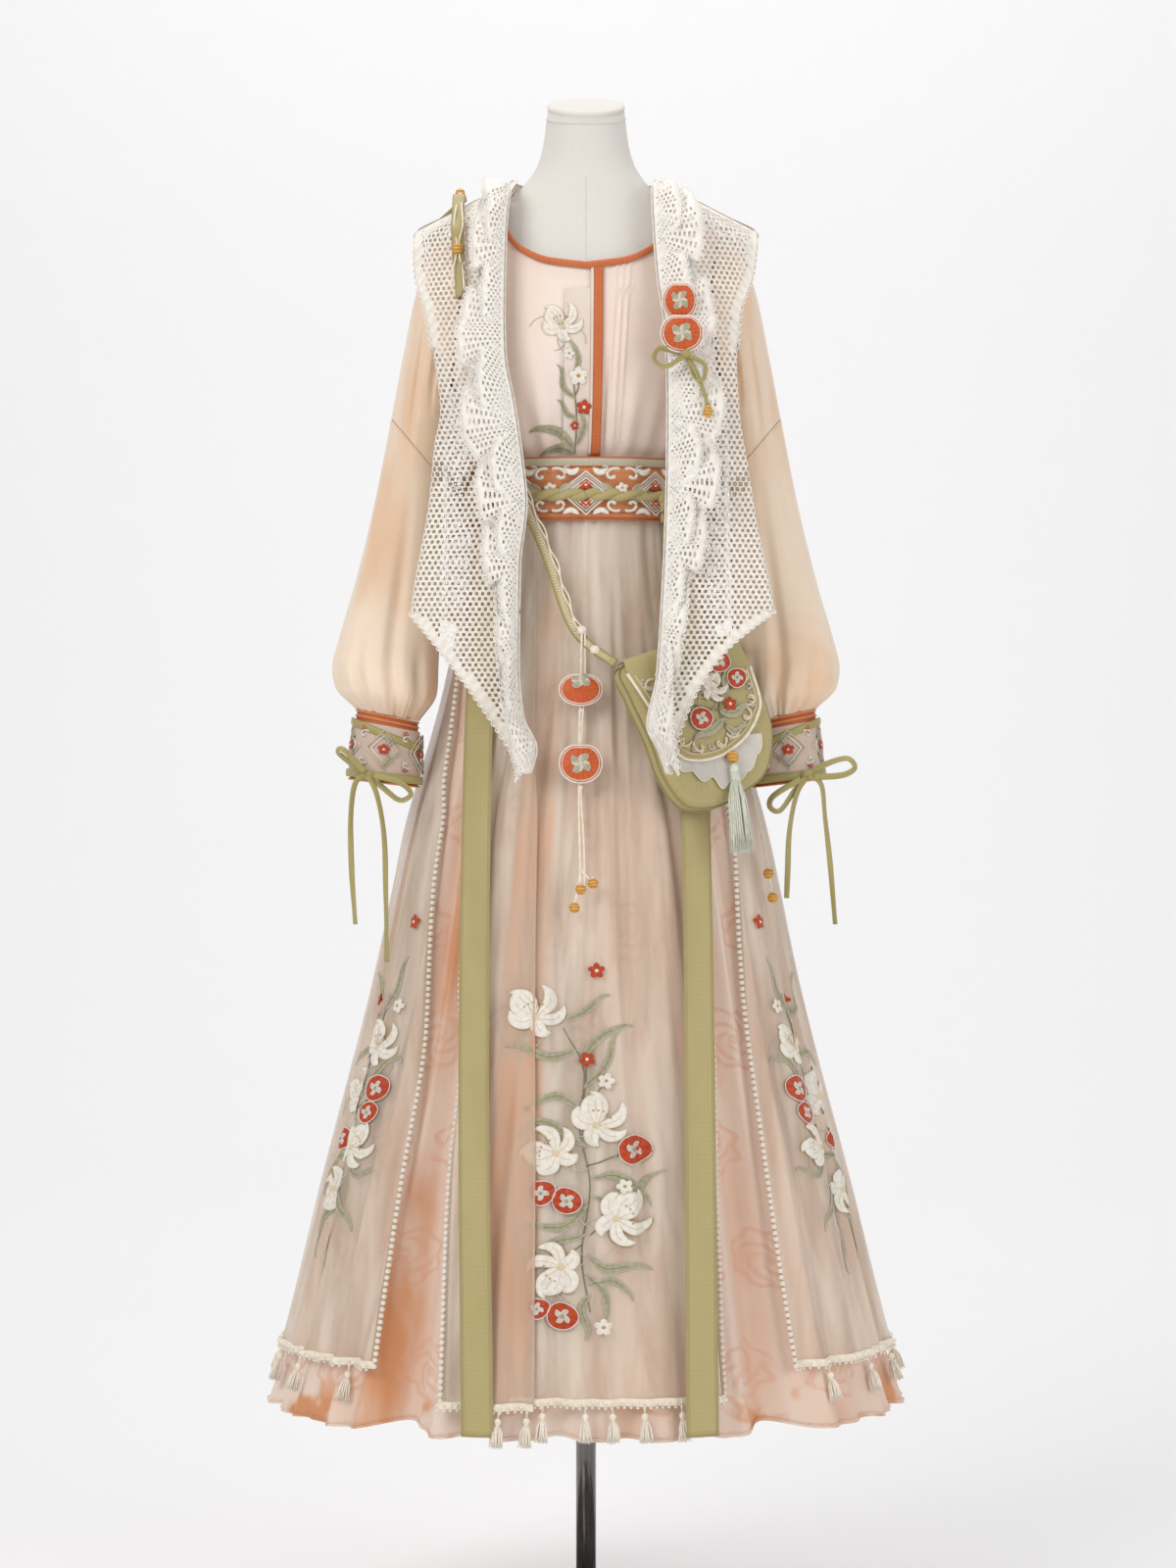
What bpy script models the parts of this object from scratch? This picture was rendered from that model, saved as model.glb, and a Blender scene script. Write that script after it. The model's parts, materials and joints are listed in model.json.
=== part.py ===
"""A hanfu skirt set on a limbless dress form.

Metres, +Z up, with the origin at the middle of the base's underside. The front of the garment faces -Y.
Right and left are the wearer's, so right is -X.
Every cloth piece is a sheet through sections worked out from the tables below, made a wall by Solidify.
"""

import math
from collections import namedtuple

import bmesh
import bpy
from mathutils import Vector

for old in list(bpy.data.objects):
    bpy.data.objects.remove(old, do_unlink=True)

SIDES = {"right": -1, "left": 1}
QUARTER = math.pi / 2
SEAM = 0.0004  # gap where two pieces meet
SILK = 0.0013  # wall of blouse and sleeves
SKIRT_CLOTH = 0.0015
SHEER = 0.0012
CROCHET = 0.0016
RIBBON = 0.0012

HEM_Z = 0.26  # lowest point of the skirt
WAIST_Z = 1.275  # top edge of both skirts, under the belt
BLOUSE_FOOT_Z = 1.262  # the blouse is tucked in to here
BELT_LOW, BELT_HIGH = 1.222, 1.289
ROPE_Z, ROPE_TWISTS = 1.246, 10  # the twisted cord round the belt
BASE_RADIUS, BASE_THICK = 0.18, 0.014
POLE_RADIUS = 0.011
BELT_OUT = 0.0084  # the belt's face, from the under-skirt
FORM_FOOT_Z = 0.90

# Oval sections: height, half width, depth in front of the axis, depth behind it.
Section = namedtuple("Section", "z half front back")
FORM = [
    Section(0.900, 0.150, 0.094, 0.104),
    Section(0.930, 0.157, 0.099, 0.110),
    Section(0.990, 0.156, 0.100, 0.114),
    Section(1.060, 0.143, 0.095, 0.106),
    Section(1.130, 0.122, 0.087, 0.091),
    Section(1.200, 0.107, 0.080, 0.079),
    Section(1.260, 0.1065, 0.0815, 0.0780),
    Section(1.330, 0.1205, 0.0975, 0.0835),
    Section(1.390, 0.134, 0.115, 0.090),
    Section(1.450, 0.142, 0.104, 0.094),
    Section(1.500, 0.144, 0.087, 0.090),
    Section(1.530, 0.138, 0.075, 0.082),
    Section(1.555, 0.117, 0.066, 0.074),
    Section(1.577, 0.090, 0.059, 0.067),
    Section(1.597, 0.068, 0.053, 0.061),
    Section(1.620, 0.053, 0.047, 0.054),
    Section(1.645, 0.0465, 0.044, 0.049),
    Section(1.684, 0.0421, 0.042, 0.042),
]
BLOUSE = [
    Section(1.262, 0.1150, 0.0890, 0.0860),
    Section(1.288, 0.1175, 0.0925, 0.0885),
    Section(1.310, 0.1280, 0.1060, 0.0950),
    Section(1.345, 0.1410, 0.1210, 0.1030),
    Section(1.390, 0.1500, 0.1270, 0.1060),
    Section(1.440, 0.1555, 0.1190, 0.1060),
    Section(1.490, 0.1575, 0.1020, 0.1020),
    Section(1.530, 0.1520, 0.0880, 0.0940),
    Section(1.555, 0.1320, 0.0790, 0.0860),
    Section(1.575, 0.1080, 0.0720, 0.0790),
    Section(1.600, 0.0800, 0.0640, 0.0720),
]
SKIRT = [
    Section(0.260, 0.350, 0.285, 0.293),
    Section(0.320, 0.329, 0.272, 0.280),
    Section(0.510, 0.281, 0.235, 0.243),
    Section(0.720, 0.227, 0.193, 0.200),
    Section(0.880, 0.193, 0.163, 0.168),
    Section(1.050, 0.149, 0.128, 0.132),
    Section(1.220, 0.1220, 0.0972, 0.0950),
    Section(1.275, 0.1210, 0.0955, 0.0922),
]
# The crocheted vest: its half width runs past its own side edges.
VEST = [
    Section(0.930, 0.285, 0.176, 0.175),
    Section(1.050, 0.275, 0.158, 0.152),
    Section(1.150, 0.262, 0.147, 0.131),
    Section(1.220, 0.246, 0.142, 0.122),
    Section(1.330, 0.224, 0.139, 0.118),
    Section(1.390, 0.216, 0.139, 0.117),
    Section(1.450, 0.214, 0.129, 0.115),
    Section(1.500, 0.206, 0.112, 0.111),
    Section(1.547, 0.187, 0.096, 0.103),
    Section(1.565, 0.153, 0.088, 0.098),
    Section(1.585, 0.115, 0.080, 0.090),
    Section(1.606, 0.0755, 0.070, 0.080),
]
VEST_POWER = 2.6

# Neckline of the blouse: angle from the front in degrees, height.
Neck = namedtuple("Neck", "angle z")
NECKLINE = [
    Neck(0, 1.499),
    Neck(15, 1.505),
    Neck(27, 1.520),
    Neck(36, 1.542),
    Neck(50, 1.569),
    Neck(68, 1.581),
    Neck(90, 1.589),
    Neck(135, 1.588),
    Neck(180, 1.586),
]
ARMHOLE_Z, ARMHOLE_HALF_HEIGHT, ARMHOLE_HALF_DEPTH = 1.457, 0.083, 0.055

# Valleys between the skirt's folds: angle and half width in degrees, depth at the hem.
Fold = namedtuple("Fold", "angle width depth")
SKIRT_FOLDS = [
    Fold(-171, 9, 0.022),
    Fold(-153, 8, 0.018),
    Fold(-136, 9, 0.024),
    Fold(-119, 8, 0.016),
    Fold(-105, 9, 0.020),
    Fold(-78, 8, 0.014),
    Fold(-61, 7, 0.010),
    Fold(-37, 10, 0.042),
    Fold(-20, 6, 0.018),
    Fold(-5, 6, 0.020),
    Fold(7, 5, 0.014),
    Fold(20, 6, 0.018),
    Fold(37, 10, 0.040),
    Fold(61, 7, 0.011),
    Fold(78, 8, 0.015),
    Fold(104, 9, 0.019),
    Fold(120, 8, 0.018),
    Fold(137, 9, 0.023),
    Fold(154, 8, 0.017),
    Fold(171, 8, 0.021),
]
SKIRT_ROWS = (0.55, 0.90, 1.215, WAIST_Z)  # rows of the skirts above their hems
OVERSKIRT_SHARE = 0.4  # how much of each valley the stiffer overskirt follows
HEM_RISE = 0.22  # how far the skirt's hem rises, as a share of a valley's depth
# Distance of the overskirt's front and side panel edges from the middle, as seen from the front.
Edge = namedtuple("Edge", "z front side")
PANEL_EDGES = [
    Edge(0.298, 0.149, 0.230),
    Edge(0.580, 0.139, 0.189),
    Edge(0.835, 0.130, 0.162),
    Edge(1.060, 0.115, 0.138),
    Edge(1.275, 0.093, 0.112),
]
FRONT_HEM_Z, SIDE_HEM_Z = 0.300, 0.327
LAP_EDGE_X = -0.054  # the folded edge over the front panel, at the wearer's right
LAP_UNDER = 0.075  # how far the front panel runs on under the lap, as an angle

# Outer and inner edge of the sleeve as seen from the front, and its half depth.
Ring = namedtuple("Ring", "out_x out_z in_x in_z depth")
UPPER_SLEEVE = [
    Ring(0.1680, 1.527, 0.1525, 1.364, 0.058),
    Ring(0.1860, 1.482, 0.1555, 1.341, 0.056),
    Ring(0.2015, 1.409, 0.1570, 1.310, 0.052),
    Ring(0.2145, 1.340, 0.1580, 1.272, 0.050),
]
LOWER_SLEEVE = [
    Ring(0.2147, 1.3393, 0.1580, 1.2714, 0.0500),
    Ring(0.2345, 1.240, 0.1590, 1.200, 0.050),
    Ring(0.2560, 1.154, 0.1600, 1.135, 0.053),
    Ring(0.2700, 1.100, 0.1600, 1.090, 0.057),
    Ring(0.2765, 1.066, 0.1605, 1.058, 0.059),
    Ring(0.2725, 1.043, 0.1620, 1.033, 0.056),
    Ring(0.2505, 1.0197, 0.1800, 1.0057, 0.0350),
]
SLEEVE_GATHERS, GATHER_DEPTH = 6, 0.0030
SLEEVE_FORWARD = 0.060  # how far the cuffs hang in front of the shoulders
CUFF = [
    Ring(0.2485, 1.0190, 0.1825, 1.0050, 0.0310),
    Ring(0.2568, 0.9430, 0.1825, 0.9340, 0.0360),
]

# Edges of the vest's fronts as seen from the front: height, distance from the middle.
Reach = namedtuple("Reach", "z x")
VEST_INNER = {
    "right": [
        Reach(0.945, 0.060), Reach(0.975, 0.052), Reach(1.009, 0.066), Reach(1.062, 0.071),
        Reach(1.170, 0.070), Reach(1.236, 0.063), Reach(1.289, 0.068), Reach(1.344, 0.076),
        Reach(1.397, 0.0855), Reach(1.452, 0.087), Reach(1.537, 0.0855), Reach(1.580, 0.0815),
        Reach(1.604, 0.0755),
    ],
    "left": [
        Reach(0.944, 0.086), Reach(0.975, 0.075), Reach(0.998, 0.064), Reach(1.050, 0.074),
        Reach(1.117, 0.079), Reach(1.197, 0.0835), Reach(1.280, 0.086), Reach(1.344, 0.0865),
        Reach(1.424, 0.084), Reach(1.480, 0.0765), Reach(1.537, 0.0725), Reach(1.580, 0.071),
        Reach(1.604, 0.0755),
    ],
}
VEST_OUTER = {
    "right": [
        Reach(1.121, 0.188), Reach(1.159, 0.1825), Reach(1.234, 0.169), Reach(1.307, 0.162),
        Reach(1.337, 0.1565), Reach(1.400, 0.164), Reach(1.447, 0.172), Reach(1.493, 0.184),
        Reach(1.546, 0.1865),
    ],
    "left": [
        Reach(1.122, 0.200), Reach(1.154, 0.195), Reach(1.213, 0.184), Reach(1.267, 0.176),
        Reach(1.335, 0.165), Reach(1.390, 0.162), Reach(1.444, 0.165), Reach(1.492, 0.180),
        Reach(1.546, 0.1865),
    ],
}
VEST_ARMHOLE_FOOT_Z = 1.335
VEST_SIDE_X = 0.1505  # side seam of the vest, between arm and body


def srgb(red, green, blue):
    """A colour given from 0 to 255, in the linear values that shaders take."""
    return [(v / 255) ** 2.2 for v in (red, green, blue)] + [1.0]


# Colour, roughness, metallic.
FINISHES = {
    "form_linen": (srgb(226, 222, 216), 0.85, 0.0),
    "form_metal": (srgb(118, 113, 112), 0.35, 0.9),
    "blouse_silk": (srgb(236, 212, 190), 0.55, 0.0),
    "sleeve_silk": (srgb(234, 205, 176), 0.50, 0.0),
    "orange_binding": (srgb(212, 128, 84), 0.60, 0.0),
    "belt_brocade": (srgb(206, 124, 84), 0.60, 0.0),
    "green_satin": (srgb(186, 182, 124), 0.50, 0.0),
    "skirt_jacquard": (srgb(232, 198, 180), 0.55, 0.0),
    "sheer_organza": (srgb(228, 210, 194), 0.50, 0.0),
    "cream_trim": (srgb(236, 226, 206), 0.80, 0.0),
    "crochet_cotton": (srgb(238, 232, 222), 0.85, 0.0),
    "cuff_brocade": (srgb(222, 206, 200), 0.65, 0.0),
    "persimmon": (srgb(204, 84, 48), 0.60, 0.0),
    "wood_bead": (srgb(216, 164, 72), 0.40, 0.0),
    "tassel_silk": (srgb(196, 210, 190), 0.50, 0.0),
}


def smooth(table, column, at):
    """Reads a column at a value of the first column, on a monotone cubic curve through the rows."""
    xs = [row[0] for row in table]
    ys = [getattr(row, column) for row in table]
    at = min(max(at, xs[0]), xs[-1])
    slopes = [(ys[i + 1] - ys[i]) / (xs[i + 1] - xs[i]) for i in range(len(xs) - 1)]
    tangents = [slopes[0]]
    for before, after in zip(slopes, slopes[1:]):
        turning = before * after <= 0
        tangents.append(0.0 if turning else 2 * before * after / (before + after))
    tangents.append(slopes[-1])
    i = max(k for k in range(len(slopes)) if xs[k] <= at)
    width = xs[i + 1] - xs[i]
    t = (at - xs[i]) / width
    return (
        ys[i] * (1 + 2 * t) * (1 - t) ** 2
        + ys[i + 1] * t * t * (3 - 2 * t)
        + width * (tangents[i] * t * (1 - t) ** 2 - tangents[i + 1] * t * t * (1 - t))
    )


def signed_power(value, power):
    return math.copysign(abs(value) ** power, value)


def around(table, angle, z, out=0.0, power=2.0):
    """The point of an oval section at an angle: 0 is the front, and a quarter turn is +X."""
    s, c = math.sin(angle), math.cos(angle)
    half = smooth(table, "half", z) + out
    depth = smooth(table, "front" if c > 0 else "back", z) + out
    return Vector((half * signed_power(s, 2 / power), -depth * signed_power(c, 2 / power), z))


def in_front(table, x, z, out=0.0, power=2.0):
    """The point of the front half of an oval section that shows at x."""
    half = smooth(table, "half", z) + out
    share = max(0.0, 1 - min(1.0, abs(x) / half) ** power) ** (1 / power)
    return Vector((x, -(smooth(table, "front", z) + out) * share, z))


def spread(low, high, count):
    return [low + (high - low) * i / (count - 1) for i in range(count)]


def turns(count):
    """Angles at even steps once round."""
    return spread(0, 2 * math.pi, count + 1)[:-1]


def turned(angle):
    """An angle in degrees between -180 and 180."""
    return (angle + 180) % 360 - 180


def valley(angle, z):
    """How far the skirt's folds draw its wall in at an angle and a height."""
    drop = max(0.0, (1.21 - z) / (1.21 - HEM_Z))
    total = 0.0
    for fold in SKIRT_FOLDS:
        off = turned(math.degrees(angle) - fold.angle) / fold.width
        if abs(off) < 1:
            total += fold.depth * (1 + math.cos(math.pi * off)) / 2
    return total * drop**0.85


def skirt_point(angle, z):
    return around(SKIRT, angle, z, -valley(angle, z))


def veil(z):
    """Distance from the skirt to the overskirt."""
    return 0.0028 + 0.0065 * min(1.0, max(0.0, (1.21 - z) / 0.30))


def overskirt_point(angle, z, out=0.0):
    return around(SKIRT, angle, z, veil(z) - OVERSKIRT_SHARE * valley(angle, z) + out)


def over_front(x, z, out=0.0):
    """The overskirt's surface, without its folds, where it shows at x from the front."""
    return in_front(SKIRT, x, z, veil(z) + out)


def finish(name, obj, slot, parent=None):
    """Names an object and gives it its material."""
    obj.name = name
    material = bpy.data.materials.get(slot)
    if material is None:
        colour, roughness, metallic = FINISHES[slot]
        material = bpy.data.materials.new(slot)
        material.use_nodes = True
        shader = material.node_tree.nodes["Principled BSDF"]
        shader.inputs["Base Color"].default_value = colour
        shader.inputs["Roughness"].default_value = roughness
        shader.inputs["Metallic"].default_value = metallic
        material.diffuse_color = colour
    obj.data.materials.clear()
    obj.data.materials.append(material)
    if parent is not None:
        obj.parent = parent
    return obj


def object_of(bm, smooth_shaded=True):
    mesh = bpy.data.meshes.new("mesh")
    bmesh.ops.recalc_face_normals(bm, faces=bm.faces)
    bm.to_mesh(mesh)
    bm.free()
    for polygon in mesh.polygons:
        polygon.use_smooth = smooth_shaded
    obj = bpy.data.objects.new("piece", mesh)
    bpy.context.scene.collection.objects.link(obj)
    return obj


def sheet(name, rows, thickness, slot, parent, ring=False, flip=False):
    """A cloth wall whose outer face goes through the rows of points.

    Columns run so that the face looks out.
    """
    mesh = bpy.data.meshes.new(name)
    columns = len(rows[0])
    points = [p for row in rows for p in row]
    faces = []
    for i in range(len(rows) - 1):
        for j in range(columns if ring else columns - 1):
            k = (j + 1) % columns
            quad = (i * columns + j, i * columns + k, (i + 1) * columns + k, (i + 1) * columns + j)
            faces.append(quad[::-1] if flip else quad)
    mesh.from_pydata(points, [], faces)
    for polygon in mesh.polygons:
        polygon.use_smooth = True
    obj = bpy.data.objects.new(name, mesh)
    bpy.context.scene.collection.objects.link(obj)
    wall = obj.modifiers.new("Wall", "SOLIDIFY")
    wall.thickness = thickness
    wall.offset = -1
    wall.use_rim = True
    return finish(name, obj, slot, parent)


def loft(rings, closed_ends=True):
    """A solid through closed rings of points, capped at both ends."""
    bm = bmesh.new()
    loops = [[bm.verts.new(p) for p in ring] for ring in rings]
    for below, above in zip(loops, loops[1:]):
        for j in range(len(below)):
            k = (j + 1) % len(below)
            bm.faces.new((below[j], below[k], above[k], above[j]))
    if closed_ends:
        bm.faces.new(loops[0])
        bm.faces.new(loops[-1])
    return object_of(bm)


def ball(name, centre, radii, slot, parent, segments=12):
    """A round or oval solid such as a bead."""
    bm = bmesh.new()
    bmesh.ops.create_uvsphere(bm, u_segments=segments, v_segments=segments // 2, radius=1.0)
    bmesh.ops.scale(bm, vec=Vector(radii), verts=bm.verts)
    bmesh.ops.translate(bm, vec=Vector(centre), verts=bm.verts)
    return finish(name, object_of(bm), slot, parent)


def through(points, count):
    """A smooth line through a few points, read at even steps (Catmull-Rom)."""
    points = [Vector(p) for p in points]
    padded = [2 * points[0] - points[1], *points, 2 * points[-1] - points[-2]]
    fine = []
    for a, b, c, d in zip(padded, padded[1:], padded[2:], padded[3:]):
        for step in range(12):
            t = step / 12
            bend = (2 * a - 5 * b + 4 * c - d) * t**2 + (3 * b - a - 3 * c + d) * t**3
            fine.append(0.5 * (2 * b + (c - a) * t + bend))
    fine.append(points[-1])
    lengths = [0.0]
    for a, b in zip(fine, fine[1:]):
        lengths.append(lengths[-1] + (b - a).length)
    found = []
    for goal in spread(0.0, lengths[-1], count):
        i = max(k for k in range(len(fine) - 1) if lengths[k] <= goal + 1e-9)
        share = (goal - lengths[i]) / max(lengths[i + 1] - lengths[i], 1e-9)
        found.append(fine[i].lerp(fine[i + 1], min(1.0, share)))
    return found


def ribbon_rows(line, widths, across):
    """Rows of a flat ribbon along a line: the two edges, half a width either way along across."""
    return [[p - d * w / 2, p + d * w / 2] for p, w, d in zip(line, widths, across)]


def fuse(target, helper):
    """Joins a helper to its target and leaves only the target to be seen."""
    helper.hide_render = True
    helper.display_type = "WIRE"
    join = target.modifiers.new("Join", "BOOLEAN")
    join.operation = "UNION"
    join.object = helper
    return target


def dress_form(root):
    tilt, drop = math.tan(math.radians(20)), 0.003  # the neck block leans forward, and sits a little lower
    rings = []
    for row in FORM:
        lean = tilt if row.z == FORM[-1].z else 0.0
        ring = [around(FORM, a, row.z) for a in turns(18)]
        rings.append([Vector((p.x, p.y, p.z + lean * p.y - drop * (lean > 0))) for p in ring])
    finish("form_body", loft(rings), "form_linen", root)
    cap = []
    for share, lift in ((1.0, 0.0005), (1.02, 0.0035), (0.9, 0.0060)):
        ring = [around(FORM, a, FORM[-1].z) for a in turns(18)]
        cap.append(
            [Vector((p.x * share, p.y * share, p.z + tilt * p.y * share + lift - drop)) for p in ring]
        )
    finish("form_neck_cap", loft(cap), "form_linen", root)
    base = [(0.0, BASE_RADIUS - 0.002), (0.002, BASE_RADIUS), (BASE_THICK - 0.003, BASE_RADIUS),
            (BASE_THICK, BASE_RADIUS - 0.004), (BASE_THICK + 0.002, 0.027), (0.050, 0.026), (0.052, 0.024)]
    pole = [(0.052 + SEAM, POLE_RADIUS), (FORM_FOOT_Z - SEAM, POLE_RADIUS)]
    for name, profile, count in (("form_base", base, 26), ("form_pole", pole, 14)):
        rings = []
        for z, radius in profile:
            ring = [Vector((radius * math.sin(a), -radius * math.cos(a), z)) for a in turns(count)]
            rings.append(ring)
        finish(name, loft(rings), "form_metal", root)


def neck_z(angle):
    return smooth(NECKLINE, "z", abs(turned(math.degrees(angle))))


def armhole_angle(z, front):
    """The angle of the blouse's armhole edge at a height: a quarter turn above and below the armhole."""
    level = (z - ARMHOLE_Z) / ARMHOLE_HALF_HEIGHT
    if abs(level) >= 1:
        return QUARTER
    reach = ARMHOLE_HALF_DEPTH * math.sqrt(1 - level * level)
    return math.acos(min(1.0, reach / smooth(BLOUSE, "front" if front else "back", z)))


def blouse_z(angle, rise):
    return BLOUSE_FOOT_Z + rise * (neck_z(angle) - BLOUSE_FOOT_Z)


def edge_angle(rise, front):
    """The outer angle of the blouse's row at a share of its rise."""
    angle = QUARTER
    for _ in range(20):
        z = blouse_z(angle if front else math.pi - angle, rise)
        angle = 0.5 * angle + 0.5 * armhole_angle(z, front)
    return angle


TUCK_X = (0.0285, 0.0355, 0.0425)  # three pin tucks on the wearer's left front
TUCK_HALF_WIDTH, TUCK_HEIGHT = 0.0026, 0.0013
BELT_GATHERS, BELT_GATHER_DEPTH = 9, 0.0035  # pleats of each front into the belt


def blouse_out(x, angle, z):
    """Gathers above the belt, and the pin tucks."""
    fade = max(0.0, 1 - abs(z - 1.300) / 0.060)
    gather = -BELT_GATHER_DEPTH * fade * (0.5 - 0.5 * math.cos(4 * BELT_GATHERS * angle))
    if z < 1.29:
        gather = 0.0
    tuck = sum(TUCK_HEIGHT * max(0.0, 1 - abs(x - at) / TUCK_HALF_WIDTH) for at in TUCK_X)
    return gather + (tuck if 1.33 < z < 1.52 else 0.0)


def blouse_point(angle, z):
    flat = around(BLOUSE, angle, z)
    return around(BLOUSE, angle, z, blouse_out(flat.x, angle, z))


def blouse(root):
    rises = spread(0.0, 1.0, 9)
    placket = math.radians(5.0)  # the orange strip stands a little to the wearer's left
    for side, sign in SIDES.items():
        if sign < 0:
            shares = spread(0.0, 1.0, 11)
        else:
            near = [0.0, 0.05]
            for x in TUCK_X:
                middle = (math.asin(x / 0.150) - placket) / (QUARTER - placket)
                near += [middle - 0.011, middle, middle + 0.011]
            shares = near + spread(near[-1] + 0.05, 1.0, 7)
        start = placket - 0.0125 if sign < 0 else placket
        rows = []
        for rise in rises:
            far = edge_angle(rise, True)
            angles = [start + share * (sign * far - start) for share in shares]
            rows.append([blouse_point(a, blouse_z(a, rise)) for a in angles])
        sheet(f"blouse_front_{side}", rows, SILK, "blouse_silk", root, flip=sign < 0)
    rows = []
    for rise in rises:
        far = edge_angle(rise, False)
        angles = spread(math.pi - far, math.pi + far, 15)
        # the back starts just behind the side seams
        rows.append([around(BLOUSE, a, blouse_z(a, rise)) + Vector((0, 2 * SEAM, 0)) for a in angles])
    sheet("blouse_back", rows, SILK, "blouse_silk", root)
    # bound neck edge: a narrow band over the neckline
    band = []
    for drop, out in ((0.0065, 0.0016), (-0.0010, 0.0016)):
        angles = turns(32)
        band.append([around(BLOUSE, a, neck_z(a) - drop, out + 0.0021) for a in angles])
    sheet("neck_binding", band, 0.0016, "orange_binding", root, ring=True)
    rows = []
    for z in spread(1.2905, 1.4905, 6):
        middle = smooth(BLOUSE, "half", z) * math.sin(placket)
        rows.append([in_front(BLOUSE, middle + x, z, 0.0034) for x in (-0.0050, 0.0050)])
    sheet("front_strip", rows, 0.0014, "orange_binding", root)


def sleeve_y(z):
    """How far forward a sleeve hangs at a height: not at all above the elbow."""
    t = min(1.0, max(0.0, (1.16 - z) / 0.145))
    return -SLEEVE_FORWARD * t * t * (3 - 2 * t)


def sleeve_ring(ring, sign, count, gather=0.0):
    """One oval ring of a sleeve. The first point is on its outer side."""
    outer, inner = Vector((ring.out_x, 0, ring.out_z)), Vector((ring.in_x, 0, ring.in_z))
    middle, reach = (outer + inner) / 2, (outer - inner) / 2
    points = []
    for turn in turns(count):
        size = 1 - gather * (0.5 - 0.5 * math.cos(SLEEVE_GATHERS * turn)) / ring.depth
        p = middle + size * (reach * math.cos(turn) + Vector((0, -ring.depth * math.sin(turn), 0)))
        points.append(Vector((sign * p.x, p.y + sleeve_y(middle.z), p.z)))
    return points


def armhole_ring(sign, count):
    """The sleeve's first ring, just outside the blouse's armhole edge."""
    points = []
    for turn in turns(count):
        z = ARMHOLE_Z + ARMHOLE_HALF_HEIGHT * math.cos(turn)
        y = -ARMHOLE_HALF_DEPTH * math.sin(turn)
        out = SILK + SEAM
        depth = smooth(BLOUSE, "front" if y < 0 else "back", z) + out
        x = (smooth(BLOUSE, "half", z) + out) * math.sqrt(1 - (y / depth) ** 2)
        points.append(Vector((sign * x, y * 1.02, z)))
    return points


def sleeves(root):
    for side, sign in SIDES.items():
        rows = [armhole_ring(sign, 18)] + [sleeve_ring(r, sign, 18) for r in UPPER_SLEEVE]
        sheet(f"sleeve_upper_{side}", rows, SILK, "sleeve_silk", root, ring=True, flip=sign < 0)
        last = len(LOWER_SLEEVE) - 1
        rows = []
        for i, ring in enumerate(LOWER_SLEEVE):
            depth = GATHER_DEPTH * max(0.0, (i - last + 2) / 2)
            rows.append(sleeve_ring(ring, sign, 21, depth))
        sheet(f"sleeve_lower_{side}", rows, SILK, "sleeve_silk", root, ring=True, flip=sign < 0)


def grown(ring, out, low=0.0):
    """A cuff ring made wider all round, and moved down."""
    return Ring(ring.out_x + out, ring.out_z - low, ring.in_x - out, ring.in_z - low, ring.depth + out)


def between(rings, share):
    """The ring at a share of the way down a short table of rings."""
    place = share * (len(rings) - 1)
    i = min(int(place), len(rings) - 2)
    t = place - i
    return Ring(*(a + (b - a) * t for a, b in zip(rings[i], rings[i + 1])))


# Bow on the cuff, as seen from the front of the wearer's right arm: points in metres from its knot.
BOW_RIGHT = {
    "loops": [
        [(0, 0, 0), (-0.018, -0.006, 0.012), (-0.032, -0.010, 0.024), (-0.026, -0.016, 0.027),
         (-0.004, -0.010, 0.004)],
        [(0, 0, 0), (0.016, -0.006, -0.014), (0.034, -0.010, -0.027), (0.046, -0.012, -0.020),
         (0.034, -0.018, -0.008), (0.006, -0.012, 0.000)],
    ],
    "tails": [
        [(0, 0, 0), (-0.014, -0.004, -0.008), (-0.019, -0.006, -0.045), (-0.018, -0.006, -0.100),
         (-0.014, -0.006, -0.160)],
        [(0, -0.002, 0), (0.010, -0.008, -0.024), (0.017, -0.010, -0.065), (0.019, -0.010, -0.125),
         (0.020, -0.010, -0.200)],
    ],
    "width": 0.0085,
}
BOW_LEFT = {
    "loops": [
        [(0, 0, 0), (0.020, -0.006, 0.012), (0.042, -0.010, 0.018), (0.050, -0.012, 0.008),
         (0.036, -0.016, 0.000), (0.006, -0.010, -0.002)],
        [(0, 0, 0), (-0.014, -0.006, -0.016), (-0.030, -0.010, -0.038), (-0.041, -0.012, -0.034),
         (-0.037, -0.016, -0.022), (-0.008, -0.011, -0.004)],
    ],
    "tails": [
        [(0, 0, 0), (-0.012, -0.005, -0.020), (-0.020, -0.007, -0.060), (-0.022, -0.008, -0.105),
         (-0.023, -0.008, -0.132)],
        [(0, -0.002, 0), (0.014, -0.006, -0.010), (0.018, -0.008, -0.045), (0.024, -0.008, -0.100),
         (0.029, -0.008, -0.160)],
    ],
    "width": 0.0085,
}
BOWS = {"right": BOW_RIGHT, "left": BOW_LEFT}


def band_line(points, width, thickness):
    """A closed solid ribbon along a line, its flat side to the front and its width square to its run."""
    rings = []
    for i, p in enumerate(points):
        run = (points[min(i + 1, len(points) - 1)] - points[max(i - 1, 0)]).normalized()
        face = Vector((0, -1, 0)) - run * Vector((0, -1, 0)).dot(run)
        face = face.normalized() if face.length > 0.25 else Vector((0, 0, 1))
        side = run.cross(face).normalized()
        w, t = side * width / 2, face * thickness / 2
        rings.append([p - w - t, p + w - t, p + w + t, p - w + t])
    return loft(rings)


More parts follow.
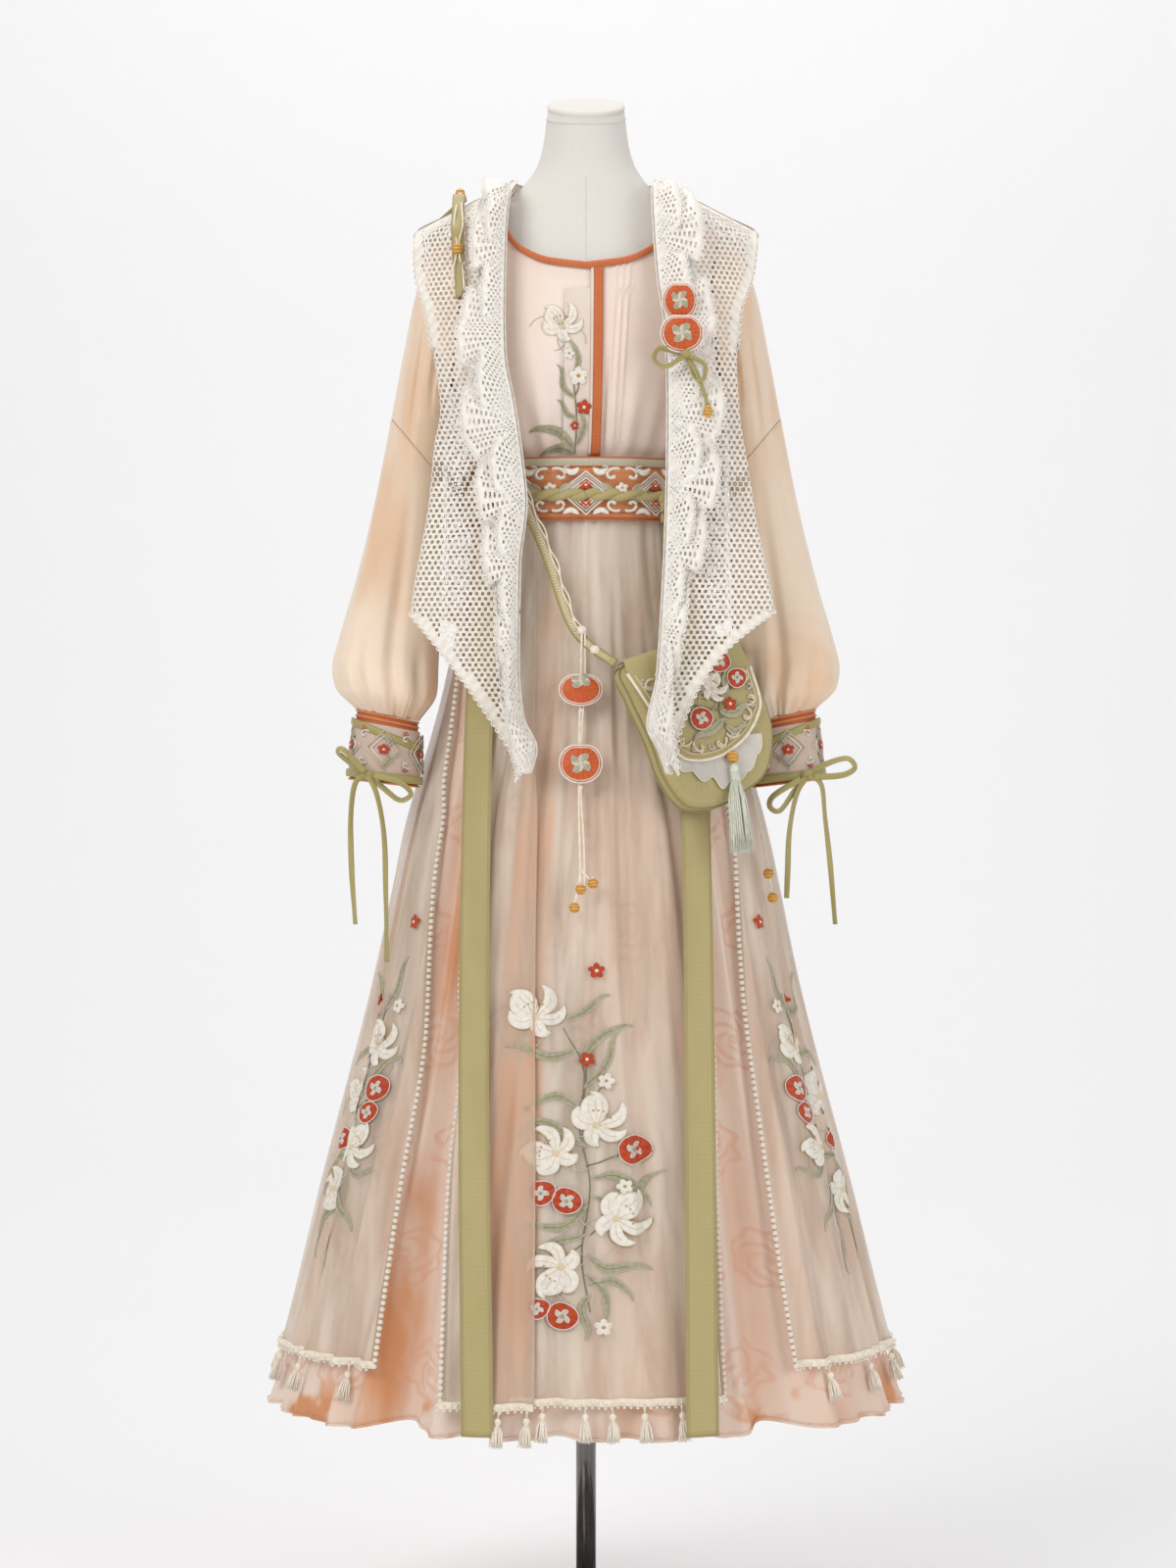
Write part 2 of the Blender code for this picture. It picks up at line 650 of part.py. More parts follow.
def cuffs(root):
    for side, sign in SIDES.items():
        rows = [sleeve_ring(r, sign, 16) for r in CUFF]
        sheet(f"cuff_{side}", rows, 0.0013, "orange_binding", root, ring=True, flip=sign < 0)
        wrap = [grown(between(CUFF, s), 0.0021) for s in (0.10, 0.90)]
        sheet(f"cuff_wrap_{side}", [sleeve_ring(r, sign, 16) for r in wrap], 0.0016, "cuff_brocade", root,
              ring=True, flip=sign < 0)
        high = grown(between(CUFF, 0.20), 0.0041)
        slant = 0.011  # the upper tie runs down towards the body
        top = Ring(high.out_x, high.out_z + slant - 0.004, high.in_x, high.in_z - slant, high.depth)
        rows = [sleeve_ring(top, sign, 16), sleeve_ring(grown(top, 0.0003, 0.0085), sign, 16)]
        sheet(f"cuff_tie_upper_{side}", rows, 0.0014, "green_satin", root, ring=True, flip=sign < 0)
        low = grown(between(CUFF, 0.84), 0.0042)
        rows = [sleeve_ring(low, sign, 16), sleeve_ring(grown(low, 0.0004, 0.0085), sign, 16)]
        tie = sheet(f"cuff_tie_{side}", rows, 0.0014, "green_satin", root, ring=True, flip=sign < 0)
        bow = BOWS[side]
        knot_x = 0.2335 if sign < 0 else 0.2385
        middle, half = (low.out_x + low.in_x) / 2, (low.out_x - low.in_x) / 2
        face = sleeve_y(low.in_z) - low.depth * math.sqrt(1 - ((knot_x - middle) / half) ** 2)
        knot = Vector((sign * knot_x, face, 0.9475))
        lump = []
        for y, size in ((0.0006, 0.0016), (-0.0035, 0.0062), (-0.0100, 0.0050)):
            lump.append([knot + Vector((size * math.cos(a), y, size * math.sin(a))) for a in turns(8)])
        fuse(tie, loft(lump))
        for number, line in enumerate(bow["loops"] + bow["tails"]):
            # each strand leaves the knot at its own depth, so that no two lie in one plane
            start = knot + Vector((0, -0.0028 - 0.0018 * number, 0))
            points = through([start + Vector(p) for p in line], 8)
            fuse(tie, band_line(points, bow["width"] - 0.0004 * number, RIBBON))


def belt(root):
    rows = [[around(SKIRT, a, z, BELT_OUT) for a in turns(36)] for z in (BELT_LOW, BELT_HIGH)]
    sheet("belt", rows, 0.0022, "belt_brocade", root, ring=True)
    # two twisted strands round the belt, as a rope of two lobes
    rings, sides = [], 5
    for turn in turns(44):
        centre = around(SKIRT, turn, ROPE_Z + 0.0025 * math.cos(turn), BELT_OUT + 0.0058)
        outward = Vector((centre.x, centre.y, 0)).normalized()
        ring = []
        for around_rope in turns(sides):
            reach = 0.0044 + 0.0014 * math.cos(2 * (around_rope - ROPE_TWISTS * turn))
            rise = Vector((0, 0, reach * math.sin(around_rope)))
            ring.append(centre + outward * reach * math.cos(around_rope) + rise)
        rings.append(ring)
    bm = bmesh.new()
    loops = [[bm.verts.new(p) for p in ring] for ring in rings]
    for i, below in enumerate(loops):
        above = loops[(i + 1) % len(loops)]
        for j in range(sides):
            k = (j + 1) % sides
            bm.faces.new((below[j], below[k], above[k], above[j]))
    finish("belt_cord", object_of(bm), "green_satin", root)


def skirt(root):
    heights = [HEM_Z, *SKIRT_ROWS]
    for name, low, high in (("front", -QUARTER, QUARTER), ("back", QUARTER, 3 * QUARTER)):
        margin = 0.0030  # the halves meet at the side seams
        angles = spread(low + margin, high - margin, 35)
        rows = []
        for z in heights:
            # the hem rises a little where the cloth is drawn in
            rise = HEM_RISE if z == HEM_Z else 0.0
            rows.append([skirt_point(a, z + rise * valley(a, z)) for a in angles])
        sheet(f"skirt_{name}", rows, SKIRT_CLOTH, "skirt_jacquard", root)


def overskirt_rows(low, high, columns, hem, out=0.0):
    """Rows of a panel between two edges, each given as a function of height."""
    rows = []
    for z in (hem, *SKIRT_ROWS):
        near = min(out, 0.0021) if z > 1.2 else out
        rows.append([overskirt_point(a, z, near) for a in spread(low(z), high(z), columns)])
    return rows


def tassel(place, tip):
    """A small four-sided tassel: a cord, a head and a skirt that widens to its tip."""
    along = tip - place
    out = Vector((place.x, place.y, 0)).normalized()
    side = Vector((-out.y, out.x, 0))
    rings = []
    for share, half in ((0.0, 0.0010), (0.34, 0.0029), (0.46, 0.0023), (1.0, 0.0050)):
        middle = place + along * share
        rings.append([middle + side * half, middle + out * half, middle - side * half, middle - out * half])
    return rings


def panel(name, low, high, columns, hem, tassels, root, out=0.0):
    """A sheer panel between two edges, and the narrow band with tassels over its hem.

    Tassels are shares of the way along the hem.
    """
    rows = overskirt_rows(low, high, columns, hem, out)
    sheet(f"overskirt_{name}", rows, SHEER, "sheer_organza", root)
    share = 0.008 / (SKIRT_ROWS[0] - hem)
    band = []
    for rise in (-0.4 * share, share):
        row = []
        for foot, above in zip(rows[0], rows[1]):
            p = foot.lerp(above, rise)
            row.append(p + Vector((p.x, p.y, 0)).normalized() * 0.0024)
        band.append(row)
    whole = sheet(f"hem_trim_{name}", band, 0.0016, "cream_trim", root)
    bm = bmesh.new()
    for place in tassels:
        j = min(int(place * (columns - 1)), columns - 2)
        p = band[0][j].lerp(band[0][j + 1], place * (columns - 1) - j)
        outward = Vector((p.x, p.y, 0)).normalized()
        start = p - outward * 0.0009 + Vector((0, 0, 0.0030))
        end = p + outward * 0.0100 - Vector((0, 0, 0.0360))
        loops = [[bm.verts.new(q) for q in ring] for ring in tassel(start, end)]
        for below, above in zip(loops, loops[1:]):
            for k in range(4):
                bm.faces.new((below[k], below[(k + 1) % 4], above[(k + 1) % 4], above[k]))
        bm.faces.new(loops[0])
        bm.faces.new(loops[-1])
    fuse(whole, object_of(bm))


def edge_angle_at(x, z):
    """The angle where the overskirt lies at a distance from the middle, as seen from the front."""
    return math.asin(max(-0.999, min(0.999, x / (smooth(SKIRT, "half", z) + veil(z)))))


def front_edge(z):
    return edge_angle_at(smooth(PANEL_EDGES, "front", z), z)


def side_edge(z):
    return edge_angle_at(smooth(PANEL_EDGES, "side", z), z)


def lap_edge(z):
    return edge_angle_at(LAP_EDGE_X, z)


def overskirt(root):
    back_seam = math.pi - 0.0030
    sides = spread(0.055, 0.945, 9)
    middles = (0.15, 0.34, 0.46, 0.60, 0.77)
    panel("front", lambda z: lap_edge(z) - LAP_UNDER, front_edge, 17, FRONT_HEM_Z, middles, root)
    panel("lap", lambda z: -front_edge(z), lap_edge, 8, FRONT_HEM_Z - 0.005, (0.65, 0.93), root, 0.0060)
    panel("left", side_edge, lambda z: back_seam, 20, SIDE_HEM_Z, sides, root)
    panel("right", lambda z: -back_seam, lambda z: -side_edge(z), 20, SIDE_HEM_Z, sides, root)


# Sash ribbons that hang from the belt: distance from the middle at a height.
SASH = {
    "right": [Reach(0.268, 0.1115), Reach(0.700, 0.1180), Reach(1.000, 0.1150), Reach(1.215, 0.0960)],
    "left": [Reach(0.268, 0.1200), Reach(0.700, 0.1190), Reach(1.000, 0.1150), Reach(1.215, 0.0960)],
}
SASH_WIDTH_TOP, SASH_WIDTH_FOOT = 0.029, 0.033
SASH_OUT = 0.0125  # the sashes hang clear of the overskirt's trim


def sashes(root):
    for side, sign in SIDES.items():
        rows = []
        # each sash comes out from under the belt's lower edge
        for z in (0.268, 0.45, 0.75, 1.00, 1.12, 1.2214):
            width = SASH_WIDTH_FOOT + (SASH_WIDTH_TOP - SASH_WIDTH_FOOT) * (z - 0.268) / 0.951
            middle = sign * smooth(SASH[side], "x", z)
            out = SASH_OUT if z < 1.2 else 0.0050
            rows.append([over_front(middle + x, z, out) for x in spread(-width / 2, width / 2, 3)])
        sheet(f"sash_{side}", rows, RIBBON, "green_satin", root)


def vest_front_point(x, z, out=0.0):
    return in_front(VEST, x, z, out, VEST_POWER)


BAG_CLEAR = 0.044  # how far the vest's left front hangs out over the bag


def bag_lift(side, z):
    """The wearer's left front is pushed out where it lies over the bag."""
    if side == "right":
        return 0.0
    low = min(1.0, max(0.0, (1.245 - z) / 0.190))
    return BAG_CLEAR * low * low * (3 - 2 * low)


def hem_rise(side, t):
    """How far a front's lower edge rises over a straight line from its point to its side."""
    if side == "right":
        return 0.008 * math.sin(math.pi * t)
    return 0.048 * math.sin(math.pi * t**0.62)


def vest_row(side, share, columns):
    """A row across a vest front, from its inner edge round the fold to the armhole or side seam."""
    inner_z = 1.604 + (VEST_INNER[side][0].z - 1.604) * share
    outer_z = 1.546 + (VEST_OUTER[side][0].z - 1.546) * share
    inner_x = smooth(VEST_INNER[side], "x", inner_z)
    outer_x = smooth(VEST_OUTER[side], "x", outer_z)
    turn = min(1.0, max(0.0, (1.405 - outer_z) / (1.405 - VEST_ARMHOLE_FOOT_Z)))
    line = []
    for t in (0.0, 0.16, 0.34, 0.55, 0.78, 0.94):
        x, z = inner_x + (outer_x - inner_x) * t, inner_z + (outer_z - inner_z) * t
        z += hem_rise(side, t) * share**6
        line.append(vest_front_point(x, z, bag_lift(side, z)))
    fold = vest_front_point(outer_x, outer_z, bag_lift(side, outer_z))
    line.append(fold)
    if share == 0.0:
        line = [Vector((p.x, -0.0012, p.z)) for p in line]
    if turn > 0:
        seam = Vector((VEST_SIDE_X, -0.0014, outer_z))
        near = Vector((VEST_SIDE_X + 0.001, -0.040, outer_z))
        back = Vector((outer_x - 0.010, fold.y * 0.64, outer_z))
        way = through([fold, back, near, seam], 13)
        line += way[2 : 2 + max(1, round(11 * turn))]
    return [Vector((SIDES[side] * p.x, p.y, p.z)) for p in through(line, columns)]


def vest(root):
    shares = (0.0, 0.03, 0.08, 0.15, 0.24, 0.34, 0.45, 0.57, 0.70, 0.82, 0.92, 1.0)
    for side, sign in SIDES.items():
        rows = [vest_row(side, share, 12) for share in shares]
        sheet(f"vest_front_{side}", rows, CROCHET, "crochet_cotton", root, flip=sign > 0)
    acrosses = (0.0, 0.15, 0.28, 0.40, 0.55, 0.70, 0.85, 1.0)
    acrosses = [-a for a in acrosses[:0:-1]] + list(acrosses)
    rows = [[vest_back_point(a, share) for a in acrosses] for share in
            (0.0, 0.035, 0.075, 0.12, 0.18, 0.27, 0.38, 0.52, 0.76, 1.0)]
    sheet("vest_back", rows, CROCHET, "crochet_cotton", root)


# The vest's back: height and half width at the side, angle of its edge past the side, height at the middle.
BackRow = namedtuple("BackRow", "share side_z half angle middle_z")
VEST_BACK = [
    BackRow(0.00, 1.547, 0.1865, 90, 1.596),
    BackRow(0.12, 1.500, 0.1900, 112, 1.540),
    BackRow(0.26, 1.445, 0.1850, 120, 1.485),
    BackRow(0.40, 1.390, 0.1700, 116, 1.430),
    BackRow(0.52, 1.335, 0.1505, 90, 1.370),
    BackRow(0.75, 1.230, 0.1505, 90, 1.250),
    BackRow(1.00, 1.124, 0.1515, 90, 1.110),
]


def vest_back_point(across, share, out=0.0):
    """A point of the vest's back: across is -1 at the wearer's right side and 1 at the left."""
    table, reach = VEST_BACK, abs(across)
    side_z, middle_z = smooth(table, "side_z", share), smooth(table, "middle_z", share)
    start = math.radians(smooth(table, "angle", share))
    angle = start + (math.pi - start) * (1 - reach)
    z = middle_z + (side_z - middle_z) * reach**1.6
    seam = max(0.0, 1 - share / 0.20)  # 1 on the shoulder seams and the neck edge
    seam_angle = QUARTER * (1 + max(0.0, 1 - reach / 0.40))
    seam_z = 1.604 - 0.057 * max(0.0, (reach - 0.40) / 0.60)
    angle += (seam_angle - angle) * seam
    z += (seam_z - z) * seam
    half = min(smooth(VEST, "half", z), smooth(table, "half", share)) + out
    s, c = max(0.0, math.sin(angle)), max(0.0, -math.cos(angle))
    y = (smooth(VEST, "back", z) + out) * c**0.85
    return Vector((math.copysign(half * s**0.9, across), max(0.0012, y), z))


def ruffle_point(side, share, across):
    """A point of the ruffled lapel: share runs down the inner edge, across runs from that edge out."""
    inner_z = 1.590 + (VEST_INNER[side][0].z + 0.012 - 1.590) * share
    inner_x = smooth(VEST_INNER[side], "x", inner_z)
    width = 0.018 + 0.027 * math.sin(math.pi * min(1.0, share * 1.15 + 0.12)) ** 0.7
    waves = math.sin(2 * math.pi * (7.5 * share + (0.15 if side == "left" else 0.0)))
    x = inner_x + 0.0015 + width * across * (1 + 0.13 * waves)
    z = inner_z - 0.012 * across * waves + 0.004 * across
    seat = 0.0066 if side == "right" else 0.0056
    roll = seat + 0.0060 * math.sin(math.pi * min(1.0, across * 1.2)) + 0.0055 * across * (1 + waves)
    p = vest_front_point(x, z, bag_lift(side, z) + roll)
    return Vector((SIDES[side] * p.x, p.y, p.z))


def ruffles(root):
    for side, sign in SIDES.items():
        rows = []
        for share in spread(0.0, 1.0, 31):
            rows.append([ruffle_point(side, share, across) for across in spread(0.0, 1.0, 4)])
        sheet(f"vest_ruffle_{side}", rows, CROCHET, "crochet_cotton", root, flip=sign > 0)
    rows = []
    for step, share in enumerate((0.012, 0.060, 0.110)):
        row = []
        for number, across in enumerate(spread(-0.40, 0.40, 15)):
            wave = 0.0025 * step * (number % 2)
            row.append(vest_back_point(across, share, 0.0062 + wave))
        rows.append(row)
    sheet("vest_collar", rows, CROCHET, "crochet_cotton", root)


# The bag's frame: middle of its back, turned out to the wearer's left and leaning on the skirt.
BAG_MIDDLE = Vector((0.106, -0.1370, 0.995))
BAG_TURN, BAG_LEAN = math.radians(20), math.radians(10)
BAG_ACROSS = Vector((math.cos(BAG_TURN), math.sin(BAG_TURN), 0))
BAG_OUT = Vector((math.sin(BAG_TURN), -math.cos(BAG_TURN), 0)) * math.cos(BAG_LEAN)
BAG_OUT += Vector((0, 0, math.sin(BAG_LEAN)))
BAG_UP = BAG_OUT.cross(BAG_ACROSS)
# Outline of the bag's face and edges of its flap and of the organza under it: across and up.
Outline = namedtuple("Outline", "u v")
BAG_OUTLINE = [
    Outline(-0.0800, 0.0592), Outline(-0.0440, 0.0747), Outline(0.0000, 0.0830), Outline(0.0430, 0.0893),
    Outline(0.0607, 0.0695), Outline(0.0751, 0.0426), Outline(0.0862, 0.0062), Outline(0.0855, -0.0250),
    Outline(0.0741, -0.0529), Outline(0.0486, -0.0716), Outline(0.0199, -0.0862), Outline(-0.0088, -0.0880),
    Outline(-0.0243, -0.0779), Outline(-0.0397, -0.0529), Outline(-0.0498, -0.0208),
    Outline(-0.0607, 0.0062), Outline(-0.0708, 0.0301),
]
FLAP_EDGE = [
    Outline(-0.0790, 0.0520), Outline(-0.0564, 0.0166), Outline(-0.0409, -0.0125),
    Outline(-0.0255, -0.0353), Outline(-0.0050, -0.0405), Outline(0.0177, -0.0363),
    Outline(0.0342, -0.0280), Outline(0.0519, -0.0135), Outline(0.0650, 0.0062),
    Outline(0.0700, 0.0260), Outline(0.0610, 0.0620),
]
ORGANZA_EDGE = [
    Outline(-0.0290, -0.0400), Outline(-0.0232, -0.0483), Outline(-0.0130, -0.0500),
    Outline(0.0000, -0.0581), Outline(0.0120, -0.0570), Outline(0.0210, -0.0654),
    Outline(0.0309, -0.0612), Outline(0.0420, -0.0560), Outline(0.0519, -0.0498),
    Outline(0.0590, -0.0370), Outline(0.0655, -0.0290), Outline(0.0690, -0.0104),
]
BAG_THICK, FLAP_CLEAR, ORGANZA_CLEAR = 0.036, 0.0076, 0.0047


def bag_point(u, v, n):
    return BAG_MIDDLE + BAG_ACROSS * u + BAG_UP * v + BAG_OUT * n


def bag(root):
    rings = []
    profile = [(0.92, 0.0), (1.0, 0.004), (1.0, BAG_THICK - 0.005), (0.94, BAG_THICK)]
    profile.append((0.60, BAG_THICK + 0.0030))
    for size, n in profile:
        rings.append([bag_point(o.u * size, o.v * size, n) for o in BAG_OUTLINE])
    finish("bag_body", loft(rings), "green_satin", root)
    # the flap: over the top edge and down the front to its round lower edge
    rows = []
    for down in (-2, -1, 0.0, 0.33, 0.66, 1.0):
        row = []
        for i, low in enumerate(FLAP_EDGE):
            t = i / (len(FLAP_EDGE) - 1)
            top = Vector((-0.0810 + 0.1290 * t, 0.0675 + 0.0290 * t + 0.0035 * math.sin(math.pi * t), 0))
            p = top.lerp(Vector((low.u, low.v, 0)), max(0.0, down))
            n = {-2: 0.018, -1: BAG_THICK}.get(down, BAG_THICK + FLAP_CLEAR)
            row.append(bag_point(p.x, p.y - (0.004 if down == 0 else 0.0), n))
        rows.append(row)
    sheet("bag_flap", rows, 0.0022, "green_satin", root, flip=True)
    rows = []
    for share in (0.0, 1.0):
        row = []
        for i, low in enumerate(ORGANZA_EDGE):
            t = i / (len(ORGANZA_EDGE) - 1)
            high = Vector((-0.0200 + 0.0700 * t, -0.0240 + 0.0120 * t, 0))
            p = high.lerp(Vector((low.u, low.v, 0)), share)
            row.append(bag_point(p.x, p.y, BAG_THICK + ORGANZA_CLEAR))
        rows.append(row)
    sheet("bag_organza", rows, 0.0012, "sheer_organza", root, flip=True)
    button = bag_point(0.0332, -0.0370, BAG_THICK + 0.0110)
    ball("bag_bead", button, (0.0065, 0.0063, 0.0065), "wood_bead", root, 10)
    rings = []
    widths = ((0.0070, 0.0025), (0.0130, 0.0044), (0.0240, 0.0040), (0.0500, 0.0080), (0.0950, 0.0150))
    for drop, half in widths:
        middle = button + Vector((0.10 * drop, -0.0015 - 0.12 * drop, -drop))
        ring = []
        for turn in turns(10):
            ring.append(middle + Vector((half * math.cos(turn), 0.55 * half * math.sin(turn), 0)))
        rings.append(ring)
    finish("bag_tassel", loft(rings), "tassel_silk", root)


# The bag's strap across the front: places as seen from the front, and how far it stands off the skirt.
OverPlace = namedtuple("OverPlace", "x z out")
STRAP_FRONT = [
    OverPlace(-0.0885, 1.292, 0.0300), OverPlace(-0.0770, 1.270, 0.0340), OverPlace(-0.0640, 1.238, 0.0300),
    OverPlace(-0.0400, 1.180, 0.0190), OverPlace(-0.0180, 1.115, 0.0140), OverPlace(0.0010, 1.088, 0.0160),
]
STRAP_X, STRAP_OUT = 0.1385, 0.0100  # where the strap crosses the right shoulder, and how far above it
# Places of the back strap on the vest's back.
StrapPlace = namedtuple("StrapPlace", "across share")
BACK_STRAP = [
    StrapPlace(-0.64, 0.035), StrapPlace(-0.60, 0.10), StrapPlace(-0.52, 0.20), StrapPlace(-0.40, 0.33),
    StrapPlace(-0.22, 0.50), StrapPlace(-0.02, 0.66), StrapPlace(0.22, 0.82), StrapPlace(0.44, 0.97),
]


def over_shoulder(x, y, out):
    """A point over the vest's shoulder at a place as seen from above."""
    low, high = 1.45, 1.606
    for _ in range(24):
        middle = (low + high) / 2
        if -in_front(VEST, x, middle, 0.0, VEST_POWER).y > abs(y):
            low = middle
        else:
            high = middle
    return Vector((x, y, low + out))


def strap(name, line, widths, outs, root):
    """A flat strap along a line, its face to the given directions."""
    across = []
    for i in range(len(line)):
        run = (line[min(i + 1, len(line) - 1)] - line[max(i - 1, 0)]).normalized()
        across.append(run.cross(outs[i]).normalized())
    sheet(name, ribbon_rows(line, widths, across), 0.0016, "green_satin", root)


def straps(root):
    line = [over_front(*place) for place in STRAP_FRONT] + [bag_point(-0.0815, 0.0680, BAG_THICK / 2)]
    count = 13
    line = through(line, count)
    strap("bag_strap_front", line, spread(0.014, 0.009, count), [Vector((0, -1, 0))] * count, root)
    # over the wearer's right shoulder and down the back to the bag's other corner
    front = []
    for x, z in ((0.1345, 1.46), (0.1355, 1.48), (0.1368, 1.50), (0.1380, 1.52), (STRAP_X, 1.538)):
        p = vest_front_point(x, z, 0.0062 + 0.0040 * (z - 1.46) / 0.078)
        front.append(Vector((-p.x, p.y, p.z)))
    top = [over_shoulder(-STRAP_X, y, STRAP_OUT) for y in (-0.050, -0.025, 0.000, 0.020)]
    places = through([Vector((place.across, place.share, 0)) for place in BACK_STRAP], 16)
    back = [vest_back_point(place.x, place.y, 0.0094) for place in places]
    side = []
    below = ((128, 1.108, 0.0200), (114, 1.096, 0.0140), (99, 1.090, 0.0110), (82, 1.088, 0.0110))
    for angle, z, out in below:
        side.append(around(SKIRT, math.radians(angle), z, veil(z) + out))
    side.append(bag_point(0.0500, 0.0999, BAG_THICK / 2))
    count = 36
    line = through(front + top + back + side, count)
    outs = []
    for p in line:
        if p.z > 1.5:
            outs.append(Vector((0, p.y * 1.2, 0.10)).normalized())
        else:
            outs.append(Vector((p.x, p.y, 0)).normalized())
    strap("bag_strap_back", line, [0.013] * count, outs, root)


PENDANT_X = -0.0055
KNOT_Z = 1.102
CORD_OUT = 0.0130  # how far the pendants' cord hangs in front of the overskirt


def string_with_beads(name, lines, radius, beads, root):
    """Cords fused with the beads threaded on them. A bead is its centre and its radii."""
    whole = None
    for line in lines:
        rings = []
        for i, p in enumerate(line):
            run = (line[min(i + 1, len(line) - 1)] - line[max(i - 1, 0)]).normalized()
            side = run.cross(Vector((0, -1, 0))).normalized()
            front = run.cross(side)
            rings.append([p + radius * (side * math.cos(a) + front * math.sin(a)) for a in turns(5)])
        strand = loft(rings)
        whole = finish(name, strand, "cream_trim", root) if whole is None else fuse(whole, strand)
    for centre, radii in beads:
        bm = bmesh.new()
        bmesh.ops.create_uvsphere(bm, u_segments=8, v_segments=5, radius=1.0)
        bmesh.ops.scale(bm, vec=Vector(radii), verts=bm.verts)
        bmesh.ops.translate(bm, vec=Vector(centre), verts=bm.verts)
        fuse(whole, object_of(bm))


def pendants(root):
    """The persimmon pendants on their cord, which hangs from a knot on the strap."""
    line = []
    for z in spread(KNOT_Z, 0.8272, 14):
        sway = 0.002 * math.sin((z - 0.83) * 14)
        rise = min(1.0, max(0.0, (z - 1.065) / 0.033))  # near its top the cord comes forward to the knot
        line.append(over_front(PENDANT_X - sway, z, CORD_OUT + 0.0066 * rise))
    near = over_front(PENDANT_X, 0.8480, CORD_OUT)
    strands = [line]
    beads = [(line[0], (0.0055, 0.0042, 0.0050)), (line[-1], (0.0058, 0.0056, 0.0056))]
    for x, z in ((0.0075, 0.8335), (-0.0120, 0.8080)):
        end = over_front(x, z, CORD_OUT)
        strands.append([near, near.lerp(end, 0.5), end])
        beads.append((end, (0.0058, 0.0056, 0.0056)))
    string_with_beads("pendant_cord", strands, 0.0012, beads, root)
    fruits = (("upper", 1.0385, 0.0225, 0.0168), ("lower", 0.9600, 0.0222, 0.0205))
    for name, z, half_width, half_height in fruits:
        rings = []
        for out, size in ((0.0004, 0.94), (0.0014, 1.0), (0.0036, 0.97), (0.0052, 0.60)):
            ring = []
            for turn in turns(16):
                x = size * half_width * signed_power(math.cos(turn), 0.9)
                dip = 0.10 * half_height * math.exp(-(((turn - QUARTER) / 0.35) ** 2))
                dz = size * (half_height * signed_power(math.sin(turn), 0.9) - dip)
                ring.append(over_front(PENDANT_X + x, z + dz, CORD_OUT + 0.0020 + out))
            rings.append(ring)
        finish(f"pendant_{name}", loft(rings), "persimmon", root)


def hip_beads(root):
    """Two beads on the strap cord's free end, at the wearer's left hip."""
    places = [
        OverPlace(0.1760, 0.945, 0.0020), OverPlace(0.1850, 0.905, 0.0020),
        OverPlace(0.1905, 0.880, 0.0024), OverPlace(0.1975, 0.841, 0.0064),
        OverPlace(0.2020, 0.815, 0.0064),
    ]
    line = through([over_front(*place) for place in places], 9)
    beads = [(over_front(*place), (0.0060, 0.0058, 0.0060)) for place in places[3:]]
    string_with_beads("hip_cord", [line], 0.0011, beads, root)


def shoulder_beads(root):
    """Beads on the strap at the wearer's right shoulder."""
    top = over_shoulder(-STRAP_X, -0.004, STRAP_OUT + 0.0056)
    ball("shoulder_bead_upper", top, (0.0055, 0.0055, 0.0055), "wood_bead", root, 10)
    low = vest_front_point(0.1378, 1.5130, 0.0082 + 0.0050)
    ball("shoulder_bead_lower", (-low.x, low.y, low.z), (0.0058, 0.0052, 0.0066), "wood_bead", root, 10)


def flower_rings(middle, half, height, petals, depth):
    """A soft flower boss that faces the front, with rounded petals."""
    rings = []
    for out, size in ((0.0, 0.94), (0.0012, 1.0), (depth * 0.7, 0.92), (depth, 0.45)):
        ring = []
        for turn in turns(20):
            lobe = 1 + 0.08 * math.cos(petals * turn)
            x, dz = size * half * lobe * math.cos(turn), size * height * lobe * math.sin(turn)
            ring.append(middle + Vector((x, -out, dz)))
        rings.append(ring)
    return rings


def brooch(root):
    """The persimmon brooch on the wearer's left lapel, with its ribbon and drop."""
    upper = vest_front_point(0.1010, 1.4540, 0.0172)
    lower = vest_front_point(0.1020, 1.4160, 0.0186)
    finish("brooch_upper", loft(flower_rings(upper, 0.0170, 0.0170, 4, 0.006)), "persimmon", root)
    finish("brooch_lower", loft(flower_rings(lower, 0.0200, 0.0160, 4, 0.006)), "persimmon", root)
    knot = lower + Vector((0.004, -0.001, -0.0224))
    lump = []
    for y, size in ((0.004, 0.0030), (0.0015, 0.0044), (-0.0085, 0.0044), (-0.0105, 0.0028)):
        lump.append([knot + Vector((size * math.cos(a), y, size * math.sin(a))) for a in turns(8)])
    tie = finish("brooch_ribbon", loft(lump), "green_satin", root)
    loops = [
        [(0, 0, 0), (-0.014, -0.001, 0.004), (-0.028, -0.003, 0.006), (-0.034, -0.005, -0.005),
         (-0.022, -0.008, -0.014), (-0.002, -0.007, -0.003)],
        [(0, 0, 0), (0.005, -0.001, -0.010), (0.009, -0.003, -0.024), (0.018, -0.005, -0.028),
         (0.020, -0.007, -0.012), (0.002, -0.006, -0.001)],
        [(0.001, 0, 0), (0.012, -0.001, -0.022), (0.019, -0.002, -0.040), (0.023, -0.002, -0.054)],
    ]
    for number, line in enumerate(loops):
        start = knot + Vector((0, 0.0013 - 0.0016 * number, 0))
        points = through([start + Vector(p) for p in line], 9)
        fuse(tie, band_line(points, 0.0062 - 0.0004 * number, RIBBON))
    end = knot + Vector((0.0235, -0.0040, -0.0612))
    ball("brooch_bead", end, (0.0048, 0.0048, 0.0070), "wood_bead", root, 10)


